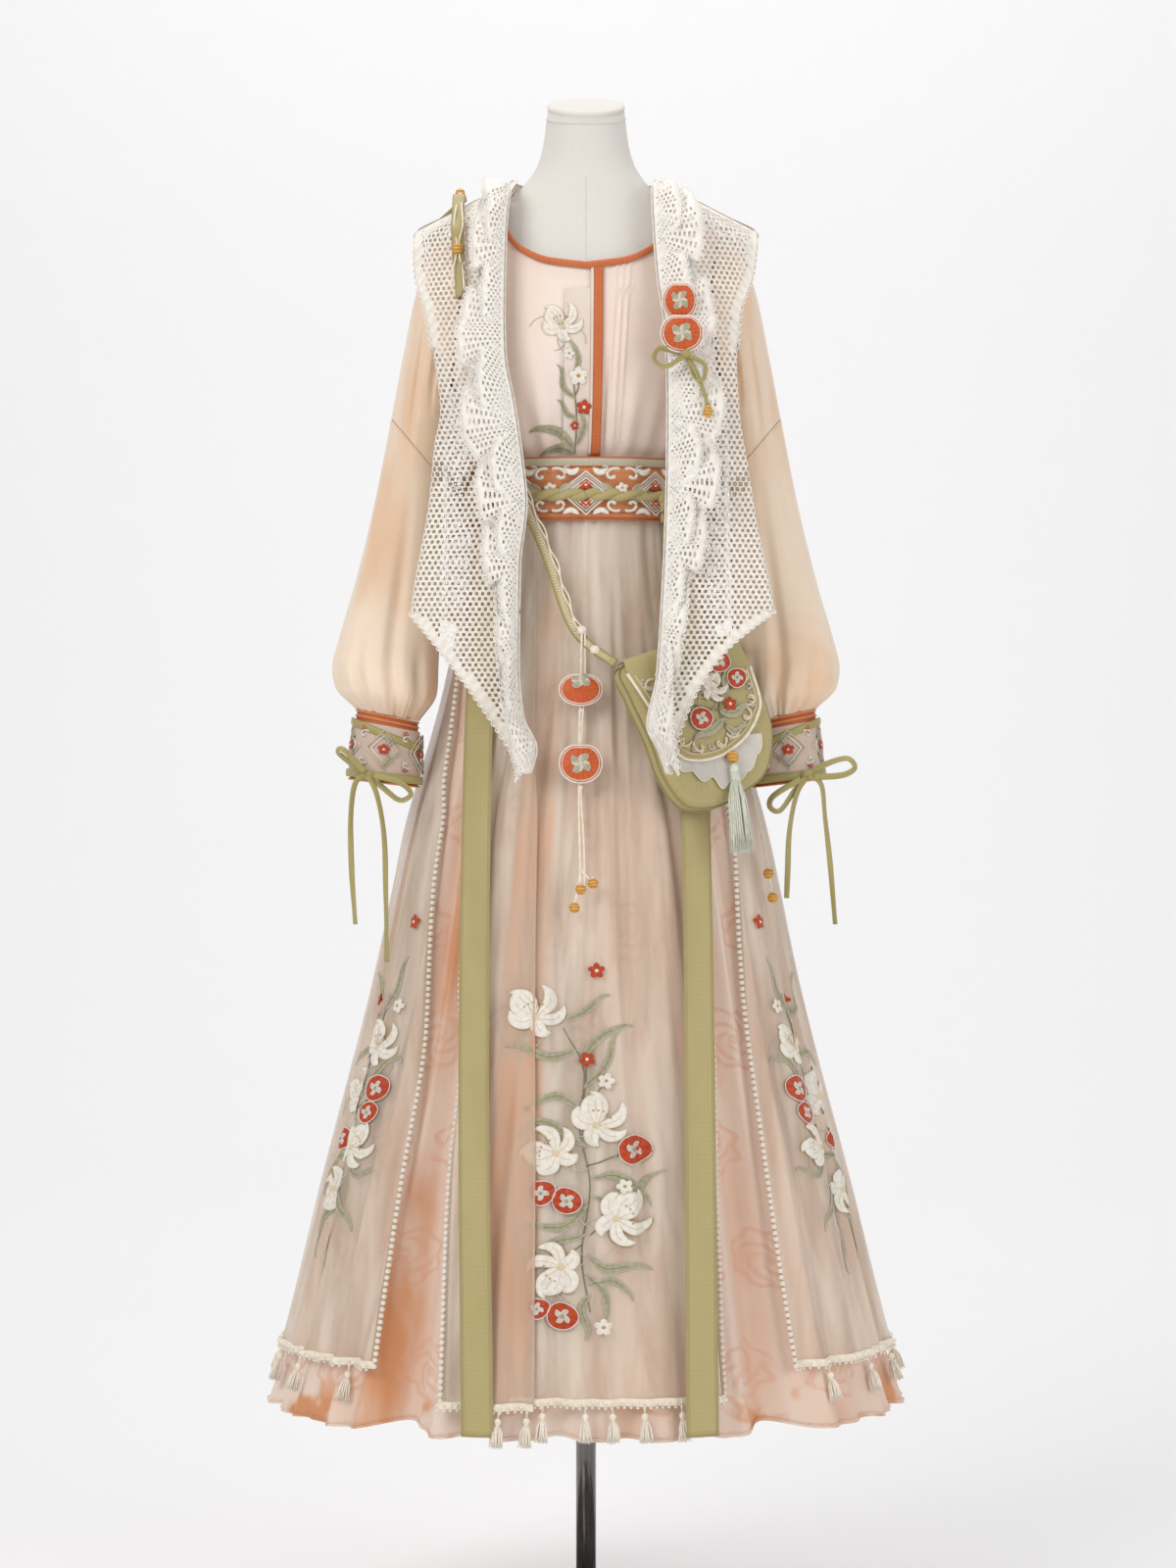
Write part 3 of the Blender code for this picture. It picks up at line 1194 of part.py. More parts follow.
def main():
    root = bpy.data.objects.new("hanfu_skirt_set", None)
    bpy.context.scene.collection.objects.link(root)
    for build in (
        dress_form,
        blouse,
        sleeves,
        cuffs,
        belt,
        skirt,
        overskirt,
        sashes,
        vest,
        ruffles,
        bag,
        straps,
        pendants,
        hip_beads,
        shoulder_beads,
        brooch,
    ):
        build(root)


main()
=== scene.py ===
"""The looks of the hanfu skirt set on its dress form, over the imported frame.

Metres, +Z up, the front faces -Y. Right and left are the wearer's, so right is -X. The tables of sections are
those of the part's source, and each cloth piece is a fine sheet through the same sections, with creases,
stitching and embroidery added.
"""

import bisect
import json
import math
import random
from collections import namedtuple

import bpy
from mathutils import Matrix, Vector

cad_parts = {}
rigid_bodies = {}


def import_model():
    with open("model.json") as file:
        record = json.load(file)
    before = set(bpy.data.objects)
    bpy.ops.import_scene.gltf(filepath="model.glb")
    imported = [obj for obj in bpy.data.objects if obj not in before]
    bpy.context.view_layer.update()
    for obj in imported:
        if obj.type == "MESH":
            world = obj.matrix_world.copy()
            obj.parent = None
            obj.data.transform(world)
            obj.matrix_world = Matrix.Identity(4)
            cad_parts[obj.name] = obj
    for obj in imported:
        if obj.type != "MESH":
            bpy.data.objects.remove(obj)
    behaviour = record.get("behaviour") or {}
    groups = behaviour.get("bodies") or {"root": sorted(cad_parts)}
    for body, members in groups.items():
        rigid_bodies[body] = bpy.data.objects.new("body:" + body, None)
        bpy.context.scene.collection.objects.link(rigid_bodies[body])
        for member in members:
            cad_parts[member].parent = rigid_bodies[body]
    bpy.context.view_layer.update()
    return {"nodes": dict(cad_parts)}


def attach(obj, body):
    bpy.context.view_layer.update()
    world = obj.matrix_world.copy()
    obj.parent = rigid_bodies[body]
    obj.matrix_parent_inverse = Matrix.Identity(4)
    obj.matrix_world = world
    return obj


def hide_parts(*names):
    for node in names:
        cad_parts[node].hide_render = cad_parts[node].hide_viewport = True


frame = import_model()

SIDES = {"right": -1, "left": 1}
QUARTER = math.pi / 2
SEAM = 0.0004  # gap where two pieces meet
SILK = 0.0013  # wall of blouse and sleeves

HEM_Z = 0.26  # lowest point of the skirt
WAIST_Z = 1.275  # top edge of both skirts, under the belt
BLOUSE_FOOT_Z = 1.262  # the blouse is tucked in to here
BELT_LOW, BELT_HIGH = 1.222, 1.289
BASE_RADIUS, BASE_THICK = 0.18, 0.014
POLE_RADIUS = 0.011
BELT_OUT = 0.0084  # the belt's face, from the under-skirt
FORM_FOOT_Z = 0.90


def rows_of(kind, *rows):
    """The rows of a table, with names for their columns."""
    return [kind(*row) for row in rows]


# Oval sections: height, half width, depth in front of the axis, depth behind it.
Section = namedtuple("Section", "z half front back")
FORM = rows_of(
    Section,
    (0.900, 0.150, 0.094, 0.104), (0.930, 0.157, 0.099, 0.110), (0.990, 0.156, 0.100, 0.114),
    (1.060, 0.143, 0.095, 0.106), (1.130, 0.122, 0.087, 0.091), (1.200, 0.107, 0.080, 0.079),
    (1.260, 0.1065, 0.0815, 0.0780), (1.330, 0.1205, 0.0975, 0.0835), (1.390, 0.134, 0.115, 0.090),
    (1.450, 0.142, 0.104, 0.094), (1.500, 0.144, 0.087, 0.090), (1.530, 0.138, 0.075, 0.082),
    (1.555, 0.117, 0.066, 0.074), (1.577, 0.090, 0.059, 0.067), (1.597, 0.068, 0.053, 0.061),
    (1.620, 0.053, 0.047, 0.054), (1.645, 0.0465, 0.044, 0.049), (1.684, 0.0421, 0.042, 0.042),
)
BLOUSE = rows_of(
    Section,
    (1.262, 0.1150, 0.0890, 0.0860), (1.288, 0.1175, 0.0925, 0.0885), (1.310, 0.1280, 0.1060, 0.0950),
    (1.345, 0.1410, 0.1210, 0.1030), (1.390, 0.1500, 0.1270, 0.1060), (1.440, 0.1555, 0.1190, 0.1060),
    (1.490, 0.1575, 0.1020, 0.1020), (1.530, 0.1520, 0.0880, 0.0940), (1.555, 0.1320, 0.0790, 0.0860),
    (1.575, 0.1080, 0.0720, 0.0790), (1.600, 0.0800, 0.0640, 0.0720),
)
SKIRT = rows_of(
    Section,
    (0.260, 0.350, 0.285, 0.293), (0.320, 0.329, 0.272, 0.280), (0.510, 0.281, 0.235, 0.243),
    (0.720, 0.227, 0.193, 0.200), (0.880, 0.193, 0.163, 0.168), (1.050, 0.149, 0.128, 0.132),
    (1.220, 0.1220, 0.0972, 0.0950), (1.275, 0.1210, 0.0955, 0.0922),
)

# The crocheted vest: its half width runs past its own side edges.
VEST = rows_of(
    Section,
    (0.930, 0.285, 0.176, 0.175), (1.050, 0.275, 0.158, 0.152), (1.150, 0.262, 0.147, 0.131),
    (1.220, 0.246, 0.142, 0.122), (1.330, 0.224, 0.139, 0.118), (1.390, 0.216, 0.139, 0.117),
    (1.450, 0.214, 0.129, 0.115), (1.500, 0.206, 0.112, 0.111), (1.547, 0.187, 0.096, 0.103),
    (1.565, 0.153, 0.088, 0.098), (1.585, 0.115, 0.080, 0.090), (1.606, 0.0755, 0.070, 0.080),
)
VEST_POWER = 2.6

# Neckline of the blouse: angle from the front in degrees, height.
Neck = namedtuple("Neck", "angle z")
NECKLINE = rows_of(
    Neck,
    (0, 1.499), (15, 1.505), (27, 1.520), (36, 1.542), (50, 1.569), (68, 1.581), (90, 1.589),
    (135, 1.588), (180, 1.586),
)
ARMHOLE_Z, ARMHOLE_HALF_HEIGHT, ARMHOLE_HALF_DEPTH = 1.457, 0.083, 0.055

# Valleys between the skirt's folds: angle and half width in degrees, depth at the hem.
Fold = namedtuple("Fold", "angle width depth")
SKIRT_FOLDS = rows_of(
    Fold,
    (-171, 9, 0.022), (-153, 8, 0.018), (-136, 9, 0.024), (-119, 8, 0.016), (-105, 9, 0.020),
    (-78, 8, 0.014), (-61, 7, 0.010), (-37, 10, 0.042), (-20, 6, 0.018), (-5, 6, 0.020), (7, 5, 0.014),
    (20, 6, 0.018), (37, 10, 0.040), (61, 7, 0.011), (78, 8, 0.015), (104, 9, 0.019), (120, 8, 0.018),
    (137, 9, 0.023), (154, 8, 0.017), (171, 8, 0.021),
)
OVERSKIRT_SHARE = 0.4  # how much of each valley the stiffer overskirt follows
# Distance of the overskirt's front and side panel edges from the middle, as seen from the front.
Edge = namedtuple("Edge", "z front side")
PANEL_EDGES = rows_of(
    Edge,
    (0.298, 0.149, 0.230), (0.580, 0.139, 0.189), (0.835, 0.130, 0.162), (1.060, 0.115, 0.138),
    (1.275, 0.093, 0.112),
)
FRONT_HEM_Z, SIDE_HEM_Z = 0.300, 0.327
LAP_EDGE_X = -0.054  # the folded edge over the front panel, at the wearer's right

# Outer and inner edge of the sleeve as seen from the front, and its half depth.
Ring = namedtuple("Ring", "out_x out_z in_x in_z depth")
UPPER_SLEEVE = rows_of(
    Ring,
    (0.1680, 1.527, 0.1525, 1.364, 0.058), (0.1860, 1.482, 0.1555, 1.341, 0.056),
    (0.2015, 1.409, 0.1570, 1.310, 0.052), (0.2145, 1.340, 0.1580, 1.272, 0.050),
)
LOWER_SLEEVE = rows_of(
    Ring,
    (0.2147, 1.3393, 0.1580, 1.2714, 0.0500), (0.2345, 1.240, 0.1590, 1.200, 0.050),
    (0.2560, 1.154, 0.1600, 1.135, 0.053), (0.2700, 1.100, 0.1600, 1.090, 0.057),
    (0.2765, 1.066, 0.1605, 1.058, 0.059), (0.2725, 1.043, 0.1620, 1.033, 0.056),
    (0.2505, 1.0197, 0.1800, 1.0057, 0.0350),
)
SLEEVE_FORWARD = 0.060  # how far the cuffs hang in front of the shoulders
CUFF = rows_of(
    Ring,
    (0.2485, 1.0190, 0.1825, 1.0050, 0.0310), (0.2568, 0.9430, 0.1825, 0.9340, 0.0360),
)

# Edges of the vest's fronts as seen from the front: height, distance from the middle.
Reach = namedtuple("Reach", "z x")
VEST_INNER = {
    "right": rows_of(
        Reach,
        (0.945, 0.060), (0.975, 0.052), (1.009, 0.066), (1.062, 0.071), (1.170, 0.070), (1.236, 0.063),
        (1.289, 0.068), (1.344, 0.076), (1.397, 0.0855), (1.452, 0.087), (1.537, 0.0855), (1.580, 0.0815),
        (1.604, 0.0755),
    ),
    "left": rows_of(
        Reach,
        (0.944, 0.086), (0.975, 0.075), (0.998, 0.064), (1.050, 0.074), (1.117, 0.079), (1.197, 0.0835),
        (1.280, 0.086), (1.344, 0.0865), (1.424, 0.084), (1.480, 0.0765), (1.537, 0.0725), (1.580, 0.071),
        (1.604, 0.0755),
    ),
}
VEST_OUTER = {
    "right": rows_of(
        Reach,
        (1.121, 0.188), (1.159, 0.1825), (1.234, 0.169), (1.307, 0.162), (1.337, 0.1565), (1.400, 0.164),
        (1.447, 0.172), (1.493, 0.184), (1.546, 0.1865),
    ),
    "left": rows_of(
        Reach,
        (1.122, 0.200), (1.154, 0.195), (1.213, 0.184), (1.267, 0.176), (1.335, 0.165), (1.390, 0.162),
        (1.444, 0.165), (1.492, 0.180), (1.546, 0.1865),
    ),
}
VEST_ARMHOLE_FOOT_Z = 1.335
VEST_SIDE_X = 0.1505  # side seam of the vest, between arm and body

CURVES = {}  # columns of the tables as curves, each worked out once


def smooth(table, column, at):
    """Reads a column at a value of the first column, on a monotone cubic curve through the rows."""
    key = (id(table), column)
    if key not in CURVES:
        xs = [row[0] for row in table]
        ys = [getattr(row, column) for row in table]
        slopes = [(ys[i + 1] - ys[i]) / (xs[i + 1] - xs[i]) for i in range(len(xs) - 1)]
        tangents = [slopes[0]]
        for before, after in zip(slopes, slopes[1:]):
            turning = before * after <= 0
            tangents.append(0.0 if turning else 2 * before * after / (before + after))
        tangents.append(slopes[-1])
        CURVES[key] = xs, ys, tangents
    xs, ys, tangents = CURVES[key]
    at = min(max(at, xs[0]), xs[-1])
    i = min(bisect.bisect_right(xs, at) - 1, len(xs) - 2)
    width = xs[i + 1] - xs[i]
    t = (at - xs[i]) / width
    return (
        ys[i] * (1 + 2 * t) * (1 - t) ** 2
        + ys[i + 1] * t * t * (3 - 2 * t)
        + width * (tangents[i] * t * (1 - t) ** 2 - tangents[i + 1] * t * t * (1 - t))
    )


def signed_power(value, power):
    return math.copysign(abs(value) ** power, value)


def around(table, angle, z, out=0.0, power=2.0):
    """The point of an oval section at an angle: 0 is the front, and a quarter turn is +X."""
    s, c = math.sin(angle), math.cos(angle)
    half = smooth(table, "half", z) + out
    depth = smooth(table, "front" if c > 0 else "back", z) + out
    return Vector((half * signed_power(s, 2 / power), -depth * signed_power(c, 2 / power), z))


def in_front(table, x, z, out=0.0, power=2.0):
    """The point of the front half of an oval section that shows at x."""
    half = smooth(table, "half", z) + out
    share = max(0.0, 1 - min(1.0, abs(x) / half) ** power) ** (1 / power)
    return Vector((x, -(smooth(table, "front", z) + out) * share, z))


def spread(low, high, count):
    return [low + (high - low) * i / (count - 1) for i in range(count)]


def circle(count):
    """Even turns once round, from 0."""
    return spread(0, 2 * math.pi, count + 1)[:-1]


def turned(angle):
    """An angle in degrees between -180 and 180."""
    return (angle + 180) % 360 - 180


def valley(angle, z):
    """How far the skirt's folds draw its wall in at an angle and a height."""
    drop = max(0.0, (1.21 - z) / (1.21 - HEM_Z))
    total = 0.0
    for fold in SKIRT_FOLDS:
        off = turned(math.degrees(angle) - fold.angle) / fold.width
        if abs(off) < 1:
            total += fold.depth * (1 + math.cos(math.pi * off)) / 2
    return total * drop**0.85


def veil(z):
    """Distance from the skirt to the overskirt."""
    return 0.0028 + 0.0065 * min(1.0, max(0.0, (1.21 - z) / 0.30))


def over_front(x, z, out=0.0):
    """The overskirt's surface, without its folds, where it shows at x from the front."""
    return in_front(SKIRT, x, z, veil(z) + out)


def running(line):
    """The length of a line up to each of its points."""
    lengths = [0.0]
    for a, b in zip(line, line[1:]):
        lengths.append(lengths[-1] + (b - a).length)
    return lengths


def path_length(line):
    return running(line)[-1]


def heading(line, i):
    """The way a line runs at one of its points."""
    return (line[min(i + 1, len(line) - 1)] - line[max(i - 1, 0)]).normalized()


def outward(p):
    """The level direction from the form's axis to a point."""
    return Vector((p.x, p.y, 0)).normalized()


def blend(a, b, c, d, t):
    """A place from b, at 0, to c, at 1, on a smooth curve that also minds a and d (Catmull-Rom)."""
    return 0.5 * (2 * b + (c - a) * t + (2 * a - 5 * b + 4 * c - d) * t**2 + (3 * b - a - 3 * c + d) * t**3)


def through(points, count):
    """A smooth line through a few points, read at even steps."""
    points = [Vector(p) for p in points]
    padded = [2 * points[0] - points[1], *points, 2 * points[-1] - points[-2]]
    fine = []
    for a, b, c, d in zip(padded, padded[1:], padded[2:], padded[3:]):
        fine += [blend(a, b, c, d, step / 12) for step in range(12)]
    fine.append(points[-1])
    lengths = running(fine)
    found = []
    for goal in spread(0.0, lengths[-1], count):
        i = min(bisect.bisect_right(lengths, goal + 1e-9) - 1, len(fine) - 2)
        share = (goal - lengths[i]) / max(lengths[i + 1] - lengths[i], 1e-9)
        found.append(fine[i].lerp(fine[i + 1], min(1.0, share)))
    return found


def neck_z(angle):
    return smooth(NECKLINE, "z", abs(turned(math.degrees(angle))))


def armhole_angle(z, front):
    """Where the blouse's armhole edge is at a height: a quarter turn above and below the armhole."""
    level = (z - ARMHOLE_Z) / ARMHOLE_HALF_HEIGHT
    if abs(level) >= 1:
        return QUARTER
    reach = ARMHOLE_HALF_DEPTH * math.sqrt(1 - level * level)
    return math.acos(min(1.0, reach / smooth(BLOUSE, "front" if front else "back", z)))


def blouse_z(angle, rise):
    return BLOUSE_FOOT_Z + rise * (neck_z(angle) - BLOUSE_FOOT_Z)


def edge_angle(rise, front):
    """The outer angle of the blouse's row at a share of its rise."""
    angle = QUARTER
    for _ in range(20):
        z = blouse_z(angle if front else math.pi - angle, rise)
        angle = 0.5 * angle + 0.5 * armhole_angle(z, front)
    return angle


TUCK_X = (0.0285, 0.0355, 0.0425)  # three pin tucks on the wearer's left front
TUCK_HALF_WIDTH, TUCK_HEIGHT = 0.0026, 0.0013
BELT_GATHER_DEPTH = 0.0035  # pleats of the fronts into the belt


def sleeve_y(z):
    """How far forward a sleeve hangs at a height: not at all above the elbow."""
    t = min(1.0, max(0.0, (1.16 - z) / 0.145))
    return -SLEEVE_FORWARD * t * t * (3 - 2 * t)


def on_ring(ring, sign, turn, size=1.0):
    """A point of an oval ring of a sleeve, from its outer side round. size is a share of the ring."""
    outer, inner = Vector((ring.out_x, 0, ring.out_z)), Vector((ring.in_x, 0, ring.in_z))
    middle, reach = (outer + inner) / 2, (outer - inner) / 2
    p = middle + size * (reach * math.cos(turn) + Vector((0, -ring.depth * math.sin(turn), 0)))
    return Vector((sign * p.x, p.y + sleeve_y(middle.z), p.z))


def sleeve_ring(ring, sign, count):
    return [on_ring(ring, sign, turn) for turn in circle(count)]


def armhole_ring(sign, count):
    """The sleeve's first ring, just outside the blouse's armhole edge."""
    points = []
    for turn in circle(count):
        z = ARMHOLE_Z + ARMHOLE_HALF_HEIGHT * math.cos(turn)
        y = -ARMHOLE_HALF_DEPTH * math.sin(turn)
        out = SILK + SEAM
        depth = smooth(BLOUSE, "front" if y < 0 else "back", z) + out
        x = (smooth(BLOUSE, "half", z) + out) * math.sqrt(1 - (y / depth) ** 2)
        points.append(Vector((sign * x, y * 1.02, z)))
    return points


def grown(ring, out, low=0.0):
    """A cuff ring made wider all round, and moved down."""
    return Ring(ring.out_x + out, ring.out_z - low, ring.in_x - out, ring.in_z - low, ring.depth + out)


def between(rings, share):
    """The ring at a share of the way down a short table of rings."""
    place = share * (len(rings) - 1)
    i = min(int(place), len(rings) - 2)
    t = place - i
    return Ring(*(a + (b - a) * t for a, b in zip(rings[i], rings[i + 1])))


# Bow on each cuff, as seen from the front: points from its knot, of two loops and then of two tails.
BOW_WIDTH = 0.0085
BOWS = {
    "right": [
        [
            (0, 0, 0), (-0.018, -0.006, 0.012), (-0.032, -0.010, 0.024), (-0.026, -0.016, 0.027),
            (-0.004, -0.010, 0.004),
        ],
        [
            (0, 0, 0), (0.016, -0.006, -0.014), (0.034, -0.010, -0.027), (0.046, -0.012, -0.020),
            (0.034, -0.018, -0.008), (0.006, -0.012, 0.000),
        ],
        [
            (0, 0, 0), (-0.014, -0.004, -0.008), (-0.019, -0.006, -0.045), (-0.018, -0.006, -0.100),
            (-0.014, -0.006, -0.160),
        ],
        [
            (0, -0.002, 0), (0.010, -0.008, -0.024), (0.017, -0.010, -0.065), (0.019, -0.010, -0.125),
            (0.020, -0.010, -0.200),
        ],
    ],
    "left": [
        [
            (0, 0, 0), (0.020, -0.006, 0.012), (0.042, -0.010, 0.018), (0.050, -0.012, 0.008),
            (0.036, -0.016, 0.000), (0.006, -0.010, -0.002),
        ],
        [
            (0, 0, 0), (-0.014, -0.006, -0.016), (-0.030, -0.010, -0.038), (-0.041, -0.012, -0.034),
            (-0.037, -0.016, -0.022), (-0.008, -0.011, -0.004),
        ],
        [
            (0, 0, 0), (-0.012, -0.005, -0.020), (-0.020, -0.007, -0.060), (-0.022, -0.008, -0.105),
            (-0.023, -0.008, -0.132),
        ],
        [
            (0, -0.002, 0), (0.014, -0.006, -0.010), (0.018, -0.008, -0.045), (0.024, -0.008, -0.100),
            (0.029, -0.008, -0.160),
        ],
    ],
}

# Sash ribbons that hang from the belt: distance from the middle at a height.
SASH = {
    "right": rows_of(Reach, (0.268, 0.1115), (0.700, 0.1180), (1.000, 0.1150), (1.215, 0.0960)),
    "left": rows_of(Reach, (0.268, 0.1200), (0.700, 0.1190), (1.000, 0.1150), (1.215, 0.0960)),
}
SASH_WIDTH_TOP, SASH_WIDTH_FOOT = 0.029, 0.033
SASH_FOOT_Z = 0.268
SASH_OUT = 0.0125  # the sashes hang clear of the overskirt's trim


def vest_front_point(x, z, out=0.0):
    return in_front(VEST, x, z, out, VEST_POWER)


BAG_CLEAR = 0.044  # how far the vest's left front hangs out over the bag


def bag_lift(side, z):
    """The wearer's left front is pushed out where it lies over the bag."""
    if side == "right":
        return 0.0
    low = min(1.0, max(0.0, (1.245 - z) / 0.190))
    return BAG_CLEAR * low * low * (3 - 2 * low)


def hem_rise(side, t):
    """How far a front's lower edge rises over a straight line from its point to its side."""
    if side == "right":
        return 0.008 * math.sin(math.pi * t)
    return 0.048 * math.sin(math.pi * t**0.62)


# The vest's back: height at the side, half width there, angle of its edge past the side, height at the middle.
BackRow = namedtuple("BackRow", "share side_z half angle middle_z")
VEST_BACK = rows_of(
    BackRow,
    (0.00, 1.547, 0.1865, 90, 1.596), (0.12, 1.500, 0.1900, 112, 1.540),
    (0.26, 1.445, 0.1850, 120, 1.485), (0.40, 1.390, 0.1700, 116, 1.430),
    (0.52, 1.335, 0.1505, 90, 1.370), (0.75, 1.230, 0.1505, 90, 1.250), (1.00, 1.124, 0.1515, 90, 1.110),
)


def vest_back_point(across, share, out=0.0):
    """A point of the vest's back: across is -1 at the wearer's right side and 1 at the left."""
    table, reach = VEST_BACK, abs(across)
    side_z, middle_z = smooth(table, "side_z", share), smooth(table, "middle_z", share)
    start = math.radians(smooth(table, "angle", share))
    angle = start + (math.pi - start) * (1 - reach)
    z = middle_z + (side_z - middle_z) * reach**1.6
    seam = max(0.0, 1 - share / 0.20)  # 1 on the shoulder seams and the neck edge
    seam_angle = QUARTER * (1 + max(0.0, 1 - reach / 0.40))
    seam_z = 1.604 - 0.057 * max(0.0, (reach - 0.40) / 0.60)
    angle += (seam_angle - angle) * seam
    z += (seam_z - z) * seam
    half = min(smooth(VEST, "half", z), smooth(table, "half", share)) + out
    s, c = max(0.0, math.sin(angle)), max(0.0, -math.cos(angle))
    y = (smooth(VEST, "back", z) + out) * c**0.85
    return Vector((math.copysign(half * s**0.9, across), max(0.0012, y), z))


# The bag's frame: middle of its back, turned out to the wearer's left and leaning on the skirt.
BAG_MIDDLE = Vector((0.106, -0.1370, 0.995))
BAG_TURN, BAG_LEAN = math.radians(20), math.radians(10)
BAG_ACROSS = Vector((math.cos(BAG_TURN), math.sin(BAG_TURN), 0))
BAG_OUT = Vector((
    math.sin(BAG_TURN) * math.cos(BAG_LEAN),
    -math.cos(BAG_TURN) * math.cos(BAG_LEAN),
    math.sin(BAG_LEAN),
))
BAG_UP = BAG_OUT.cross(BAG_ACROSS)
# Outline of the bag's face, and edges of its flap and of the organza under it: across and up from the middle.
Outline = namedtuple("Outline", "u v")
BAG_OUTLINE = rows_of(
    Outline,
    (-0.0800, 0.0592), (-0.0440, 0.0747), (0.0000, 0.0830), (0.0430, 0.0893), (0.0607, 0.0695),
    (0.0751, 0.0426), (0.0862, 0.0062), (0.0855, -0.0250), (0.0741, -0.0529), (0.0486, -0.0716),
    (0.0199, -0.0862), (-0.0088, -0.0880), (-0.0243, -0.0779), (-0.0397, -0.0529), (-0.0498, -0.0208),
    (-0.0607, 0.0062), (-0.0708, 0.0301),
)
FLAP_EDGE = rows_of(
    Outline,
    (-0.0790, 0.0520), (-0.0564, 0.0166), (-0.0409, -0.0125), (-0.0255, -0.0353), (-0.0050, -0.0405),
    (0.0177, -0.0363), (0.0342, -0.0280), (0.0519, -0.0135), (0.0650, 0.0062), (0.0700, 0.0260),
    (0.0610, 0.0620),
)
ORGANZA_EDGE = rows_of(
    Outline,
    (-0.0290, -0.0400), (-0.0232, -0.0483), (-0.0130, -0.0500), (0.0000, -0.0581), (0.0120, -0.0570),
    (0.0210, -0.0654), (0.0309, -0.0612), (0.0420, -0.0560), (0.0519, -0.0498), (0.0590, -0.0370),
    (0.0655, -0.0290), (0.0690, -0.0104),
)
BAG_THICK = 0.036


def bag_point(u, v, n):
    return BAG_MIDDLE + BAG_ACROSS * u + BAG_UP * v + BAG_OUT * n


# The bag's strap across the front: places as seen from there, and how far it stands off the skirt or belt.
STRAP_FRONT = [
    (-0.0885, 1.292, 0.030), (-0.0770, 1.270, 0.034), (-0.0640, 1.238, 0.0300), (-0.0400, 1.180, 0.0190),
    (-0.0180, 1.115, 0.0140), (0.0010, 1.088, 0.0160),
]

# Places of the back strap on the vest's back, and below it round the overskirt.
StrapPlace = namedtuple("StrapPlace", "across share")
BACK_STRAP = rows_of(
    StrapPlace,
    (-0.64, 0.035), (-0.60, 0.10), (-0.52, 0.20), (-0.40, 0.33), (-0.22, 0.50), (-0.02, 0.66),
    (0.22, 0.82), (0.44, 0.97),
)


def over_shoulder(x, y, out):
    """A point over the vest's shoulder at a place as seen from above."""
    low, high = 1.45, 1.606
    for _ in range(24):
        middle = (low + high) / 2
        if -in_front(VEST, x, middle, 0.0, VEST_POWER).y > abs(y):
            low = middle
        else:
            high = middle
    return Vector((x, y, low + out))


PENDANT_X = -0.0055
KNOT_Z = 1.102


def edge_angle_at(x, z):
    """The angle where the overskirt lies at a distance from the middle, as seen from the front."""
    return math.asin(max(-0.999, min(0.999, x / (smooth(SKIRT, "half", z) + veil(z)))))


def front_edge(z):
    return edge_angle_at(smooth(PANEL_EDGES, "front", z), z)


def side_edge(z):
    return edge_angle_at(smooth(PANEL_EDGES, "side", z), z)


def lap_edge(z):
    return edge_angle_at(LAP_EDGE_X, z)


# Materials

def linear(red, green, blue):
    """A colour on the usual 0 to 255 scale, in the linear values that shaders take."""
    return tuple((v / 255) ** 2.2 for v in (red, green, blue)) + (1.0,)


